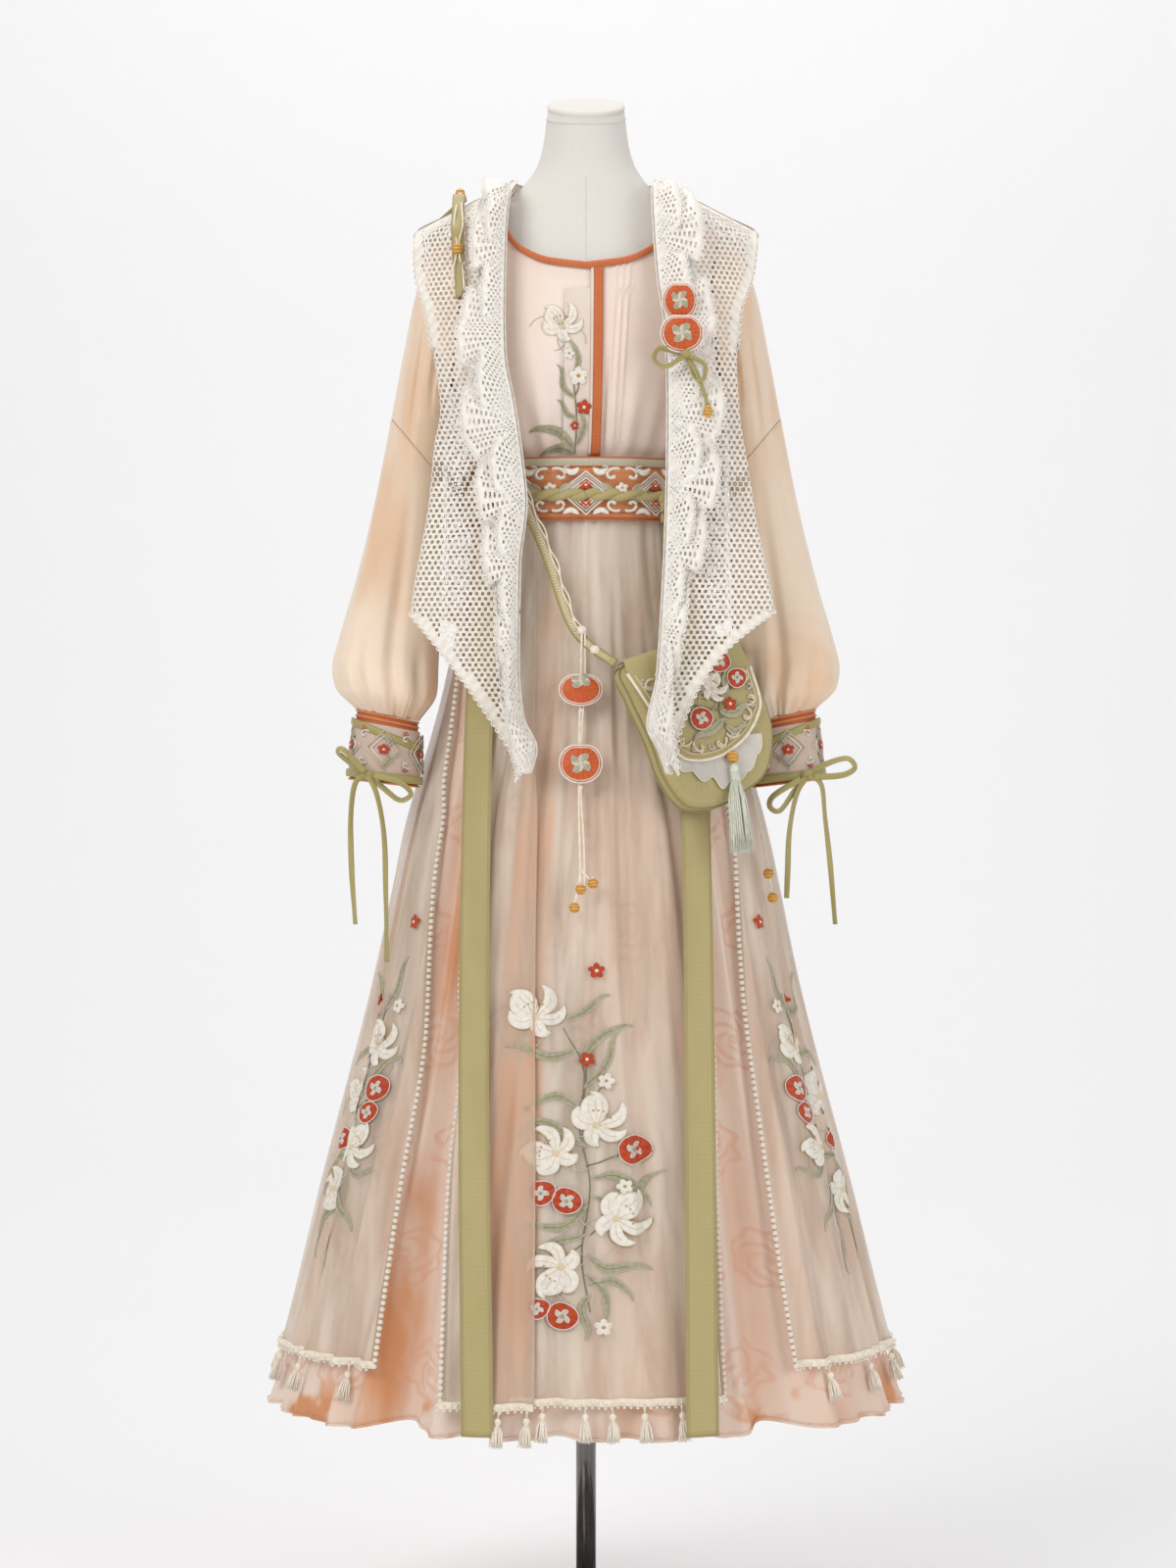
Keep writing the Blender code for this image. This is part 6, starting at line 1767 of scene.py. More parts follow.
def belt():
    turns = circle(180)
    rows = []
    for z in spread(BELT_LOW, BELT_HIGH, 12):
        puff = 0.0006 * math.sin(math.pi * (z - BELT_LOW) / (BELT_HIGH - BELT_LOW))
        rows.append([around(SKIRT, a, z, BELT_OUT + puff) for a in turns])
    cloth("belt", "rust_cloth", rows, ring=True, wall=0.0022)
    rows = []
    for z, puff in ((1.2795, 0.0), (1.2815, 0.0006), (1.2875, 0.0006), (1.2892, 0.0)):
        rows.append([around(SKIRT, a, z, BELT_OUT + 0.0008 + puff) for a in turns])
    cloth("belt_top_band", "grey_green", rows, ring=True)
    piping = Gathered()
    closed = turns + turns[:1]
    for z, radius in ((BELT_LOW + 0.0006, 0.0013), (1.2300, 0.0009), (1.2793, 0.0010), (1.2893, 0.0010)):
        piping.tube([around(SKIRT, a, z, BELT_OUT + 0.0008) for a in closed], radius, 6, cap=False)
    piping.made("belt_piping", "orange_binding")
    belt_motifs()
    rope = Gathered()
    for strand in range(2):
        line = []
        for turn in spread(0, 2 * math.pi, 420):
            lie = around(SKIRT, turn, 1.246 + 0.0025 * math.cos(turn), BELT_OUT + 0.0062)
            phase = 16 * turn + 0.8 * math.sin(5 * turn) + math.pi * strand
            up = Vector((0, 0, 0.0030 * math.sin(phase)))
            line.append(lie + outward(lie) * 0.0024 * math.cos(phase) + up)
        rope.tube(line, 0.0046, 8, cap=False)
    end = around(SKIRT, math.radians(36), 1.246, BELT_OUT + 0.0100)
    rope.ball(end, (0.0062, 0.0055, 0.0062), 12, 8)
    for dx, drop in ((0.001, 0.026), (0.008, 0.022)):
        tail = [end, end + Vector((dx * 0.5, -0.002, -drop * 0.5)), end + Vector((dx, 0.001, -drop))]
        rope.tube(through(tail, 10), 0.0026, 6)
    rope.made("belt_cord", "green_satin")


# Skirts

SKIRT_SEAM = 0.0030  # half the gap at a seam down the skirts, as an angle


def skirt():
    for name, low, high in (("front", -QUARTER, QUARTER), ("back", QUARTER, 3 * QUARTER)):
        angles = spread(low + SKIRT_SEAM, high - SKIRT_SEAM, 281)
        rows = []
        for share in spread(0.0, 1.0, 50):
            row = []
            for a in angles:
                foot = HEM_Z + 0.22 * valley(a, HEM_Z)
                row.append(fine_skirt(a, foot + (WAIST_Z - foot) * share))
            rows.append(row)
        cloth(f"skirt_{name}", "skirt_jacquard", rows)
        line = [p + Vector((0, 0, 0.004)) + outward(p) * 0.0002 for p in rows[0]]
        thread(f"skirt_hem_stitch_{name}", "skirt_jacquard", line, 0.0007, 4)


def strands(gathered, neck, tip, count, spread_out, thickness, wave=0.0012):
    """A tassel's threads: from its neck, fanned out to its tip, each a little uneven."""
    along = tip - neck
    side = along.cross(Vector((0, 1, 0))).normalized()
    front = along.cross(side).normalized()
    for k in range(count):
        turn = 2.39996 * k
        reach = math.sqrt((k + 0.5) / count)
        chance = random.Random(k * 31 + int(1000 * abs(neck.x)) + count)
        bow = side * math.cos(turn) + front * math.sin(turn) * 0.6
        long = chance.uniform(0.92, 1.03)
        start = neck + bow * spread_out * 0.30 * reach
        end = neck + along * long + bow * spread_out * reach
        sway = side * chance.uniform(-wave, wave)
        upper = start.lerp(end, 0.3) + bow * spread_out * 0.16 * reach + sway
        line = [start, upper, start.lerp(end, 0.7) + sway, end]
        gathered.tube(line, thickness, 4, (0.9, 1.0, 1.0, 0.35))


def fine_panel(name, low, high, columns, hem, tassels, out=0.0):
    """A sheer panel, the narrow band along its hem and the small tassels under it."""
    rows = []
    for z in spread(hem, WAIST_Z, 62):
        near = out + (min(out, 0.0021) - out) * eased(z, 1.00, 1.21)
        rows.append([fine_veil(a, z, near) for a in spread(low(z), high(z), columns)])
    cloth(f"overskirt_{name}", "sheer_organza", rows)
    band = []
    heights = (-0.0026, -0.0020, 0.0016, 0.0050, 0.0056)
    for height, puff in zip(heights, (0.0018, 0.0026, 0.0028, 0.0026, 0.0018)):
        row = []
        for foot, above in zip(rows[0], rows[1]):
            p = foot + (above - foot).normalized() * height
            row.append(p + outward(p) * puff)
        band.append(row)
    cloth(f"hem_band_{name}", "cream_trim", band, wall=0.0012)
    trim = Gathered()

    def on_row(row, share):
        at = share * (columns - 1)
        j = min(int(at), columns - 2)
        return row[j].lerp(row[j + 1], at - j)

    beads = round(path_length(band[2]) / 0.0072)
    for k in range(beads):
        p, low_p = on_row(band[2], k / beads), on_row(band[0], k / beads)
        away = outward(p)
        trim.ball(p + away * 0.0007, (0.0021, 0.0013, 0.0021), 6, 4)
        trim.ball(low_p + away * 0.0008 - Vector((0, 0, 0.0012)), (0.0017, 0.0012, 0.0017), 6, 4)
    for share in tassels:
        p = on_row(band[0], share)
        away = outward(p)
        start = p - away * 0.0009 + Vector((0, 0, 0.0030))
        tip = p + away * 0.0100 - Vector((0, 0, 0.0360))
        along = tip - start
        trim.tube([start, start + along * 0.30], 0.0009, 5)
        trim.ball(start + along * 0.33, (0.0036, 0.0034, 0.0040), 10, 7)
        trim.tube([start + along * s for s in (0.38, 0.44, 0.50)], 0.0024, 8, (1.0, 0.75, 1.0))
        strands(trim, start + along * 0.44, tip, 30, 0.0080, 0.0010, 0.0010)
    trim.made(f"hem_trim_{name}", "tassel_cream")


def bobbles(name, edge, foot, top, inward, out=0.0):
    """The row of small cotton bobbles that edges a slit, on a narrow tape."""
    tape, balls = [], Gathered()
    step = 0.0065
    for z in spread(foot, top, round((top - foot) / step)):
        a = edge(z)
        p = fine_veil(a, z, 0.0020 + out)
        balls.ball(p, (0.0030, 0.0026, 0.0028), 7, 5)
        row = []
        for d in (-0.0002, 0.0018, 0.0034):
            row.append(fine_veil(a + inward * d / 0.25, z, 0.0010 + out + 0.0004 * (d > 0)))
        tape.append(row)
    cloth(f"slit_tape_{name}", "tape_silk", tape, wall=0.0006)
    balls.made(f"slit_bobbles_{name}", "bobble_cotton")


LAP_OUT = 0.0060  # how far the folded lap lies over the front panel
SLIT_TOP_Z = 1.19


def overskirt():
    back_seam = math.pi - SKIRT_SEAM
    sides = spread(0.055, 0.945, 9)
    front = (0.15, 0.34, 0.46, 0.60, 0.77)
    fine_panel("front", lambda z: lap_edge(z) - 0.075, front_edge, 110, FRONT_HEM_Z, front)
    fine_panel("lap", lambda z: -front_edge(z), lap_edge, 50, FRONT_HEM_Z - 0.005, (0.65, 0.93), LAP_OUT)
    fine_panel("left", side_edge, lambda z: back_seam, 230, SIDE_HEM_Z, sides)
    fine_panel("right", lambda z: -back_seam, lambda z: -side_edge(z), 230, SIDE_HEM_Z, sides)
    fold = []
    for z in spread(FRONT_HEM_Z, 1.215, 90):
        fold.append(fine_veil(lap_edge(z), z, LAP_OUT - 0.0039 * eased(z, 1.00, 1.21)))
    thread("lap_fold", "sheer_organza", fold, 0.0011)
    bobbles("left", side_edge, SIDE_HEM_Z, SLIT_TOP_Z, 1)
    bobbles("right", lambda z: -side_edge(z), SIDE_HEM_Z, SLIT_TOP_Z, -1)
    bobbles("front_left", front_edge, FRONT_HEM_Z, SLIT_TOP_Z, -1)
    bobbles("front_right", lambda z: -front_edge(z), FRONT_HEM_Z, SLIT_TOP_Z, 1, 0.0045)


def sashes():
    made = []
    for side, sign in SIDES.items():
        rows, edges = [], [[], [], [], []]
        for z in spread(SASH_FOOT_Z, 1.2214, 130):
            width = SASH_WIDTH_FOOT + (SASH_WIDTH_TOP - SASH_WIDTH_FOOT) * (z - SASH_FOOT_Z) / 0.951
            middle = sign * smooth(SASH[side], "x", z)
            out = 0.0050 + (SASH_OUT - 0.0050) * (1 - eased(z, 1.12, 1.2214))
            ripple = 0.0012 * math.sin(19 * z + sign) + 0.0007 * math.sin(43 * z)
            row = []
            for c in spread(-1, 1, 13):
                roll = 0.0008 * math.cos(2.2 * c + 5 * z) + 0.0005 * math.sin(30 * z + 2 * c)
                row.append(over_front(middle + c * width / 2, z, out + ripple + roll))
            rows.append(row)
            for k, j in enumerate((0, 1, 11, 12)):
                edges[k].append(row[j] + Vector((0, -0.0002, 0)))
        obj = cloth(f"sash_{side}", "green_satin", rows, wall=0.0009)
        hems = Gathered()
        for line in edges:
            hems.tube(line, 0.0005, 4)
        hems.tube(rows[0], 0.0007, 4)
        stitched = hems.made(f"sash_stitch_{side}", "green_satin")
        made.append((obj, stitched))
    return made


# Vest

def net(gathered, lines, pitch, solid_rows=(), border=0.0085, edge_in=0.0085, hole=0.56, relief=0.0005,
        wide=None):
    """A crocheted net over rows of points: a solid border, and holes half a pitch apart from row to row."""
    half = pitch / 2
    lattice, ends, starts = [], [], []
    for line in lines:
        lengths = running(line)
        steps = max(2, int(lengths[-1] / half))
        index = len(gathered.points)
        row, at = [], 0
        for k in range(steps + 1):
            goal = k * half
            while at < len(lengths) - 2 and lengths[at + 1] < goal:
                at += 1
            t = (goal - lengths[at]) / max(lengths[at + 1] - lengths[at], 1e-9)
            gathered.points.append(line[at].lerp(line[at + 1], min(1.0, t)))
            gathered.uvs.append((goal, 0.005 * len(lattice)))
            row.append(index + k)
        gathered.points.append(line[-1])
        gathered.uvs.append((lengths[-1], 0.005 * len(lattice)))
        ends.append(index + steps + 1)
        starts.append(lengths[-1])
        lattice.append(row)
    for i in range(len(lattice) - 1):
        low, high = lattice[i], lattice[i + 1]
        last = min(len(low), len(high)) - 1
        k = 0
        if i % 2:
            gathered.faces.append((low[0], low[1], high[1], high[0]))
            k = 1
        while k + 2 <= last:
            loop = (low[k], low[k + 1], low[k + 2], high[k + 2], high[k + 1], high[k])
            middle = (k + 1) * half
            if i in solid_rows or middle < border or min(starts[i], starts[i + 1]) - middle < edge_in:
                gathered.faces.append((loop[0], loop[1], loop[4], loop[5]))
                gathered.faces.append((loop[1], loop[2], loop[3], loop[4]))
            else:
                corners = [gathered.points[v] for v in loop]
                centre = sum(corners, Vector()) / 6
                size = hole * (wide(i, centre) if wide else 1.0)
                normal = (corners[2] - corners[0]).cross(corners[4] - corners[1])
                push = normal.normalized() * relief if normal.length > 0 else Vector()
                first = len(gathered.points)
                for n, corner in enumerate(corners):
                    share = size * (1.22 if n in (1, 4) else 0.94)
                    gathered.points.append(centre.lerp(corner, share) + push)
                    gathered.uvs.append(gathered.uvs[loop[n]])
                for n in range(6):
                    m = (n + 1) % 6
                    gathered.faces.append((loop[n], loop[m], first + m, first + n))
            k += 2
        tail = low[k:] + [ends[i], ends[i + 1]] + high[k:][::-1]
        if len(tail) > 2:
            gathered.faces.append(tuple(tail))


def picots(gathered, edge, inner, period=0.0085, depth=0.0045, radius=0.0010):
    """Scalloped loops of yarn along an edge. inner is a line in the cloth with the same number of points."""
    lengths = running(edge)
    count = max(1, round(lengths[-1] / period))
    for k in range(count):
        line = []
        for step in range(7):
            goal = (k + step / 6) / count * lengths[-1]
            at = max(0, min(len(lengths) - 2, bisect.bisect_right(lengths, goal) - 1))
            t = (goal - lengths[at]) / max(lengths[at + 1] - lengths[at], 1e-9)
            p, q = edge[at].lerp(edge[at + 1], t), inner[at].lerp(inner[at + 1], t)
            out = (p - q).normalized()
            line.append(p + out * (depth * math.sin(math.pi * step / 6) - 0.0004))
        gathered.tube(line, radius, 5)
        middle = line[0].lerp(line[6], 0.5)
        gathered.tube([line[0], middle + (line[3] - middle) * 0.45, line[6]], radius * 0.9, 4)
    gathered.tube(edge, radius, 5)


def vest():
    for side in SIDES:
        hem_top = VEST_OUTER[side][0].z
        below = [(z, soft_course(side, z)) for z in spread(VEST_INNER[side][0].z + 0.004, hem_top, 33)]
        above = [(z, soft_course(side, z, True)) for z in spread(hem_top, 1.6030, 87)]
        shape = Gathered()
        net(shape, [line for _, line in below], 0.0066, wide=open_band)
        net(shape, [line for _, line in above], 0.0066, solid_rows=(85,), wide=open_band)
        arm = [line for z, line in above if 1.330 < z < 1.548]
        picots(shape, [line[-1] for line in arm], [line[-5] for line in arm])
        hem = [line[-1] for _, line in below]
        inner = [line[-6] for _, line in below]
        side_part = [p for p in above[0][1] if abs(p.x) > 0.1 and p.y > hem[-1].y]
        picots(shape, hem, inner)
        picots(shape, side_part, [p + Vector((0, 0, 0.01)) for p in side_part])
        shape.tube([line[0] for _, line in below + above], 0.0012, 5)
        name = f"vest_front_{side}"
        lines = [line for _, line in below + above]
        note_cut(shape.made(name, "crochet_cotton"), name, lines)
        made, width, _, area = CUTS[name]
        CUTS[name] = (made, width, path_length([line[0] for line in lines]), area)
    rows = []
    for share in spread(0.0, 1.0, 104):
        line = []
        for a in spread(-1.0, 1.0, 121):
            wave = (1 + math.sin(9 * a + 7 * share)) * eased(share, 0.3, 0.9)
            line.append(vest_back_point(a, share, 0.0004 + 0.0012 * wave))
        rows.append(line)
    shape = Gathered()
    net(shape, rows, 0.0062, solid_rows=(0, 1, 101, 102))
    for end, near in ((0, 3), (-1, -4)):
        arm = [(row[end], row[near]) for row, share in zip(rows, spread(0.0, 1.0, 104)) if share < 0.52]
        picots(shape, [a for a, _ in arm], [b for _, b in arm])
    picots(shape, rows[-1], rows[-3])
    shape.tube(rows[-3], 0.0009, 5)
    note_cut(shape.made("vest_back", "crochet_cotton"), "vest_back", rows)


def hem_place(side, t):
    """Across and height of a front's lower edge, from its point, 0, to its side, 1."""
    low, high = VEST_INNER[side][0], VEST_OUTER[side][0]
    return low.x + (high.x - low.x) * t, low.z + (high.z - low.z) * t + hem_rise(side, t)


def soft_course(side, z, with_side=False):
    """A level course of a vest front's net, from the inner edge to the hem, armhole or side seam."""
    inner_x = smooth(VEST_INNER[side], "x", z)
    fold_z = min(max(z, VEST_OUTER[side][0].z), 1.546)
    outer_x = smooth(VEST_OUTER[side], "x", fold_z)
    if z < VEST_OUTER[side][0].z:
        low, high = 0.0, 1.0
        for _ in range(24):
            middle = (low + high) / 2
            low, high = (middle, high) if hem_place(side, middle)[1] < z else (low, middle)
        outer_x = max(inner_x + 0.004, hem_place(side, low)[0])
    elif z > 1.546:
        outer_x = 0.0755 + (0.1865 - 0.0755) * (1.604 - z) / 0.058
    line = []
    for t in spread(0.0, 1.0, 8):
        x = inner_x + (outer_x - inner_x) * t
        p = vest_front_point(x, z, bag_lift(side, z))
        seam_z = 1.604 - 0.058 * min(1.0, max(0.0, (x - 0.0755) / 0.111))
        line.append(Vector((p.x, -0.0012 + (p.y + 0.0012) * eased(seam_z - z, -0.004, 0.022), p.z)))
    turn = min(1.0, max(0.0, (1.405 - z) / (1.405 - VEST_ARMHOLE_FOOT_Z)))
    if with_side and turn > 0:
        fold = line[-1]
        back = Vector((outer_x - 0.010, fold.y * 0.64, z))
        near, seam = Vector((VEST_SIDE_X + 0.001, -0.040, z)), Vector((VEST_SIDE_X, -0.0014, z))
        way = through([fold, back, near, seam], 40)
        line += way[6 : 6 + max(1, round(33 * turn))]
    free = eased(1.60 - z, 0.10, 0.55)
    soft = []
    for p in through(line, 110):
        wave = 0.0018 * free * (1 + math.sin(26 * p.x + 9 * p.z))
        wave += 0.0008 * (1 + math.sin(71 * p.z + 30 * p.x))
        soft.append(Vector((SIDES[side] * p.x, p.y - wave * (p.y < -0.02), p.z)))
    return soft


def open_band(_, centre):
    """A wavy band of larger holes crosses the fronts."""
    return 1.35 if abs(centre.z - 1.262 - 0.010 * math.sin(150 * centre.x)) < 0.010 else 1.0


def frill_point(side, share, across, phase, lift):
    """A point of the fine lapel, whose free edge falls in uneven folds that lie over one another."""
    inner_z = 1.590 + (VEST_INNER[side][0].z + 0.012 - 1.590) * share
    inner_x = smooth(VEST_INNER[side], "x", inner_z)
    width = 0.018 + 0.027 * math.sin(math.pi * min(1.0, share * 1.15 + 0.12)) ** 0.7
    start = 0.15 if side == "left" else 0.0
    uneven = 1.1 * math.sin(2 * math.pi * 1.7 * share + 3 * start)
    turn = 2 * math.pi * (7.5 * share + start + phase) + uneven
    strength = 0.75 + 0.25 * math.sin(2 * math.pi * 2.3 * share + 1.0)
    free = across**1.3
    x = inner_x + 0.0015 + width * across * (1 + 0.34 * strength * math.cos(turn))
    z = inner_z + 0.004 * across - 0.0240 * strength * free * math.sin(turn)
    z -= 0.0055 * free * math.sin(3.7 * turn)
    roll = 0.0060 + 0.0060 * math.sin(math.pi * min(1.0, across * 1.2)) + lift * across
    calm = 1.0
    if side == "right":  # the bag's strap presses the frill down
        calm = 1 - 0.9 * eased(inner_z, 1.170, 1.205) * (1 - eased(inner_z, 1.300, 1.335))
    fall = 0.0125 * free * (1 + math.cos(turn)) * strength
    roll += calm * (fall + 0.0024 * free * math.cos(3.3 * turn))
    roll += (1 - calm) * 0.0045 * free * (1 + math.cos(turn))
    if side == "right":  # narrower where the strap crosses the shoulder
        x = inner_x + (x - inner_x) * (1 - 0.30 * eased(inner_z, 1.40, 1.47))
    p = vest_front_point(x, z, bag_lift(side, z) + roll)
    return Vector((SIDES[side] * p.x, p.y, p.z))


def ruffles():
    for side in SIDES:
        shape = Gathered()
        for reach, lift, phase in ((1.0, 0.0, 0.0), (0.60, 0.0030, 0.35)):
            lines = []
            for share in spread(0.0, 1.0, 170):
                lines.append([frill_point(side, share, a, phase, lift) for a in spread(0.0, reach, 9)])
            net(shape, lines, 0.0052, border=0.003, edge_in=0.004, hole=0.50, relief=0.0004)
            note_cut(shape, f"frill_{side}_{reach}", lines)
            edge, inner = [line[-1] for line in lines], [line[-2] for line in lines]
            picots(shape, edge, inner, 0.0075, 0.0040, 0.0008)
        made = shape.made(f"vest_ruffle_{side}", "lace_cotton")
        _, width, length, area = CUTS.pop(f"frill_{side}_1.0")
        _, more_width, _, more_area = CUTS.pop(f"frill_{side}_0.6")
        CUTS[f"vest_ruffle_{side}"] = (made, width + more_width, length, area + more_area)
    lines = []
    for share in spread(0.012, 0.110, 22):
        line = []
        for across in spread(-0.40, 0.40, 130):
            wave = 0.0025 * eased(share, 0.02, 0.11) * (1 - math.cos(2 * math.pi * 17.5 * across))
            line.append(vest_back_point(across, share, 0.0062 + wave))
        lines.append(line)
    shape = Gathered()
    net(shape, lines, 0.0048, border=0.003, edge_in=0.003, relief=0.0004)
    picots(shape, lines[-1], lines[-2], 0.0075, 0.0040, 0.0008)
    note_cut(shape.made("vest_collar", "crochet_cotton"), "vest_collar", lines)


# Bag

FLAP_OUT = 0.0436


def closed_curve(outline, count):
    """A smooth closed curve through a short table of places."""
    n, points = len(outline), []
    for k in range(count):
        at = n * k / count
        i, t = int(at), at - int(at)
        near = [outline[(i + step) % n] for step in (-1, 0, 1, 2)]
        points.append(blend(*(Vector((place.u, place.v, 0)) for place in near), t))
    return points


def flap_top(t):
    return Vector((-0.0810 + 0.1290 * t, 0.0675 + 0.0290 * t + 0.0035 * math.sin(math.pi * t), 0))


# The bag's rings from the back over its edge to the face: size of the outline, and how far out.
BAG_RINGS = (
    (0.02, 0.0), (0.80, 0.0), (0.92, 0.0004), (0.975, 0.0028), (0.995, 0.0075), (1.0, 0.013), (1.0, 0.024),
    (0.992, 0.0295), (0.970, 0.0335), (0.930, 0.0360), (0.84, 0.0378), (0.66, 0.0386), (0.40, 0.0390),
    (0.02, 0.0392),
)
FLAP_STEMS = [
    [(0.030, -0.006), (0.022, 0.012), (0.024, 0.034), (0.016, 0.058)],
    [(0.022, 0.014), (-0.004, 0.018), (-0.022, 0.032)],
    [(0.024, 0.030), (0.036, 0.036), (0.044, 0.044)],
]
FLAP_LEAVES = [
    ([(0.022, 0.012), (0.038, 0.010), (0.050, 0.018)], 0.0036),
    ([(0.022, 0.026), (0.008, 0.034), (0.000, 0.046)], 0.0036),
    ([(0.020, 0.046), (0.006, 0.056), (-0.006, 0.068)], 0.0038),
    ([(-0.010, 0.022), (-0.022, 0.010), (-0.036, 0.006)], 0.0034),
    ([(0.026, 0.004), (0.012, -0.008), (-0.004, -0.014)], 0.0036),
    ([(0.028, -0.004), (0.038, -0.010), (0.046, -0.004)], 0.0028),
    ([(-0.020, 0.030), (-0.036, 0.026), (-0.050, 0.034)], 0.0030),
    ([(0.032, 0.032), (0.030, 0.046), (0.036, 0.058)], 0.0030),
]


def bag_body():
    outline = closed_curve(BAG_OUTLINE, 96)
    rings = []
    for size, n in BAG_RINGS:
        ring = []
        for o in outline:
            soft = 0.0007 * math.sin(5 * o.x / 0.03 + 3 * o.y / 0.02) * (n > 0.030)
            ring.append(bag_point(o.x * size, o.y * size, n + soft))
        rings.append(ring)
    body = Gathered()
    body.grid(rings, True, False, [(0.0028 * j, 0.003 * i) for i in range(len(rings)) for j in range(96)])
    body.made("bag_body", "green_satin")
    piping = Gathered()
    for size, n in ((1.004, 0.0265), (1.0, 0.0100)):
        line = [bag_point(o.x * size, o.y * size, n) for o in outline + outline[:1]]
        piping.tube(line, 0.0016, 8, cap=False)
    piping.made("bag_piping", "dark_green")


def bag_flap():
    edge = through([(o.u, o.v, 0) for o in FLAP_EDGE], 81)
    # Share of the way down, distance out and rise of each row: over the bag's edge, then down its face.
    table = [(0.0, 0.0165, 0.0), (0.0, 0.0260, 0.0012), (0.0, 0.0340, 0.0010), (0.0, 0.0395, -0.0006)]
    table.append((0.015, 0.0424, -0.0024))
    for down in spread(0.05, 0.985, 16):
        table.append((down, FLAP_OUT + 0.0008 * math.sin(math.pi * down), -0.004 * (1 - down)))
    table.append((1.0, FLAP_OUT - 0.0008, 0.0))
    rows = []
    for down, n, rise in table:
        row = []
        for i, low in enumerate(edge):
            p = flap_top(i / 80).lerp(low, down)
            row.append(bag_point(p.x, p.y + rise, n))
        rows.append(row)
    cloth("bag_flap", "green_satin", rows, flip=True, wall=0.0020)
    thread("flap_piping", "cream_trim", [bag_point(p.x, p.y, FLAP_OUT + 0.0003) for p in edge], 0.0016, 8)
    return edge


def embroider_flap(edge):
    def on_flap(u, v, out):
        return bag_point(u, v, FLAP_OUT + 0.0009 + out)

    motif = Motif("flap_motif", on_flap)
    centre = Vector((0.008, 0.034, 0))
    inner = [centre + (p - centre) * 0.91 for p in edge]
    motif.line("beige_thread", [(p.x, p.y) for p in inner], 0.0009, None, False)
    for k in range(5, 78, 8):
        p, q = inner[k], centre + (edge[k] - centre) * 0.80
        toward = math.atan2(q.y - p.y, q.x - p.x)
        way = 1 if k % 16 < 8 else -1
        scroll(motif, "beige_thread", q.x, q.y, 0.0094, toward + 1.2 * way, way, 0.0017)
        r = centre + (edge[k - 3] - centre) * 0.84
        scroll(motif, "silver_thread", r.x, r.y, 0.0048, toward - 0.8 * way, -way, 0.0010)
        spine = [(p.x, p.y), ((p.x + q.x) / 2 + 0.002, (p.y + q.y) / 2), (q.x, q.y)]
        motif.blade("beige_thread", spine, 0.0016)
    for stem in FLAP_STEMS:
        motif.line("stem_thread", stem, 0.0009)
    for points, half in FLAP_LEAVES:
        motif.leaf(points, half)
    motif.lily(0.014, 0.036, 0.0170, 0.7)
    motif.lily(-0.028, 0.042, 0.0200, 2.2)
    motif.blossom(0.034, 0.020, 0.0080, "red_thread", 0.4)
    motif.blossom(-0.004, 0.062, 0.0066, "white_thread", 0.1)
    motif.fruit(0.000, 0.004, 0.0120, 0.2)
    motif.fruit(0.024, 0.066, 0.0120, -0.2)
    motif.fruit(0.043, 0.048, 0.0105, 0.5)
    motif.sewn()


def bag_organza():
    low = through([(o.u, o.v, 0) for o in ORGANZA_EDGE], 73)
    rows = []
    for share in spread(0.0, 1.0, 8):
        row = []
        for i, p in enumerate(low):
            t = i / 72
            top = Vector((-0.0200 + 0.0700 * t, -0.0240 + 0.0120 * t, 0))
            scallop = 1 + 0.10 * abs(math.sin(6 * math.pi * t))
            q = top.lerp(p, share * (scallop if share > 0.6 else 1.0))
            row.append(bag_point(q.x, q.y, 0.0407 + 0.0006 * math.sin(40 * t)))
        rows.append(row)
    cloth("bag_organza", "white_organza", rows, flip=True)
    thread("organza_edge", "white_thread", [p + BAG_OUT * 0.0004 for p in rows[-1]], 0.0008)


def bag_tassel():
    button = bag_point(0.0332, -0.0370, BAG_THICK + 0.0110)
    wound_bead("bag_bead", button, (0.0065, 0.0063, 0.0065), 24, 16)
    tassel = Gathered()

    def hang(drop):
        return button + Vector((0.10 * drop, -0.0015 - 0.12 * drop, -drop))

    tassel.ball(hang(0.0130), (0.0048, 0.0034, 0.0062), 14, 8)
    turns = spread(0, 2 * math.pi, 21)
    for k in range(5):
        middle = hang(0.0175 + 0.0014 * k)
        ring = [middle + Vector((0.0042 * math.cos(a), 0.0028 * math.sin(a), 0)) for a in turns]
        tassel.tube(ring, 0.0008, 5, cap=False)
    strands(tassel, hang(0.0220), hang(0.1010), 150, 0.0138, 0.00065, 0.0016)
    tassel.made("bag_tassel", "tassel_silk")


def bag():
    bag_body()
    embroider_flap(bag_flap())
    bag_organza()
    bag_tassel()


def flat_strap(name, line, widths, outs):
    """A flat woven strap with stitched edges."""
    shape = Gathered()
    rows, left, right = [], [], []
    across = (-1, -0.6, 0, 0.6, 1)
    for i, p in enumerate(line):
        run = heading(line, i)
        side = run.cross(outs[i]).normalized()
        out = side.cross(run).normalized()
        if out.dot(outs[i]) < 0:
            out = -out
        rows.append([p + side * widths[i] * c / 2 + out * (0.0006 * (1 - c * c) + 0.0008) for c in across])
        left.append(p + side * widths[i] * 0.46 + out * 0.0011)
        right.append(p - side * widths[i] * 0.46 + out * 0.0011)
    shape.grid(rows)
    edges = Gathered()
    edges.tube(left, 0.0009, 5)
    edges.tube(right, 0.0009, 5)
    edges.made(f"{name}_edges", "dark_green")
    obj = shape.made(name, "green_satin")
    note_cut(obj, name, rows)
    solidify(obj, 0.0014)


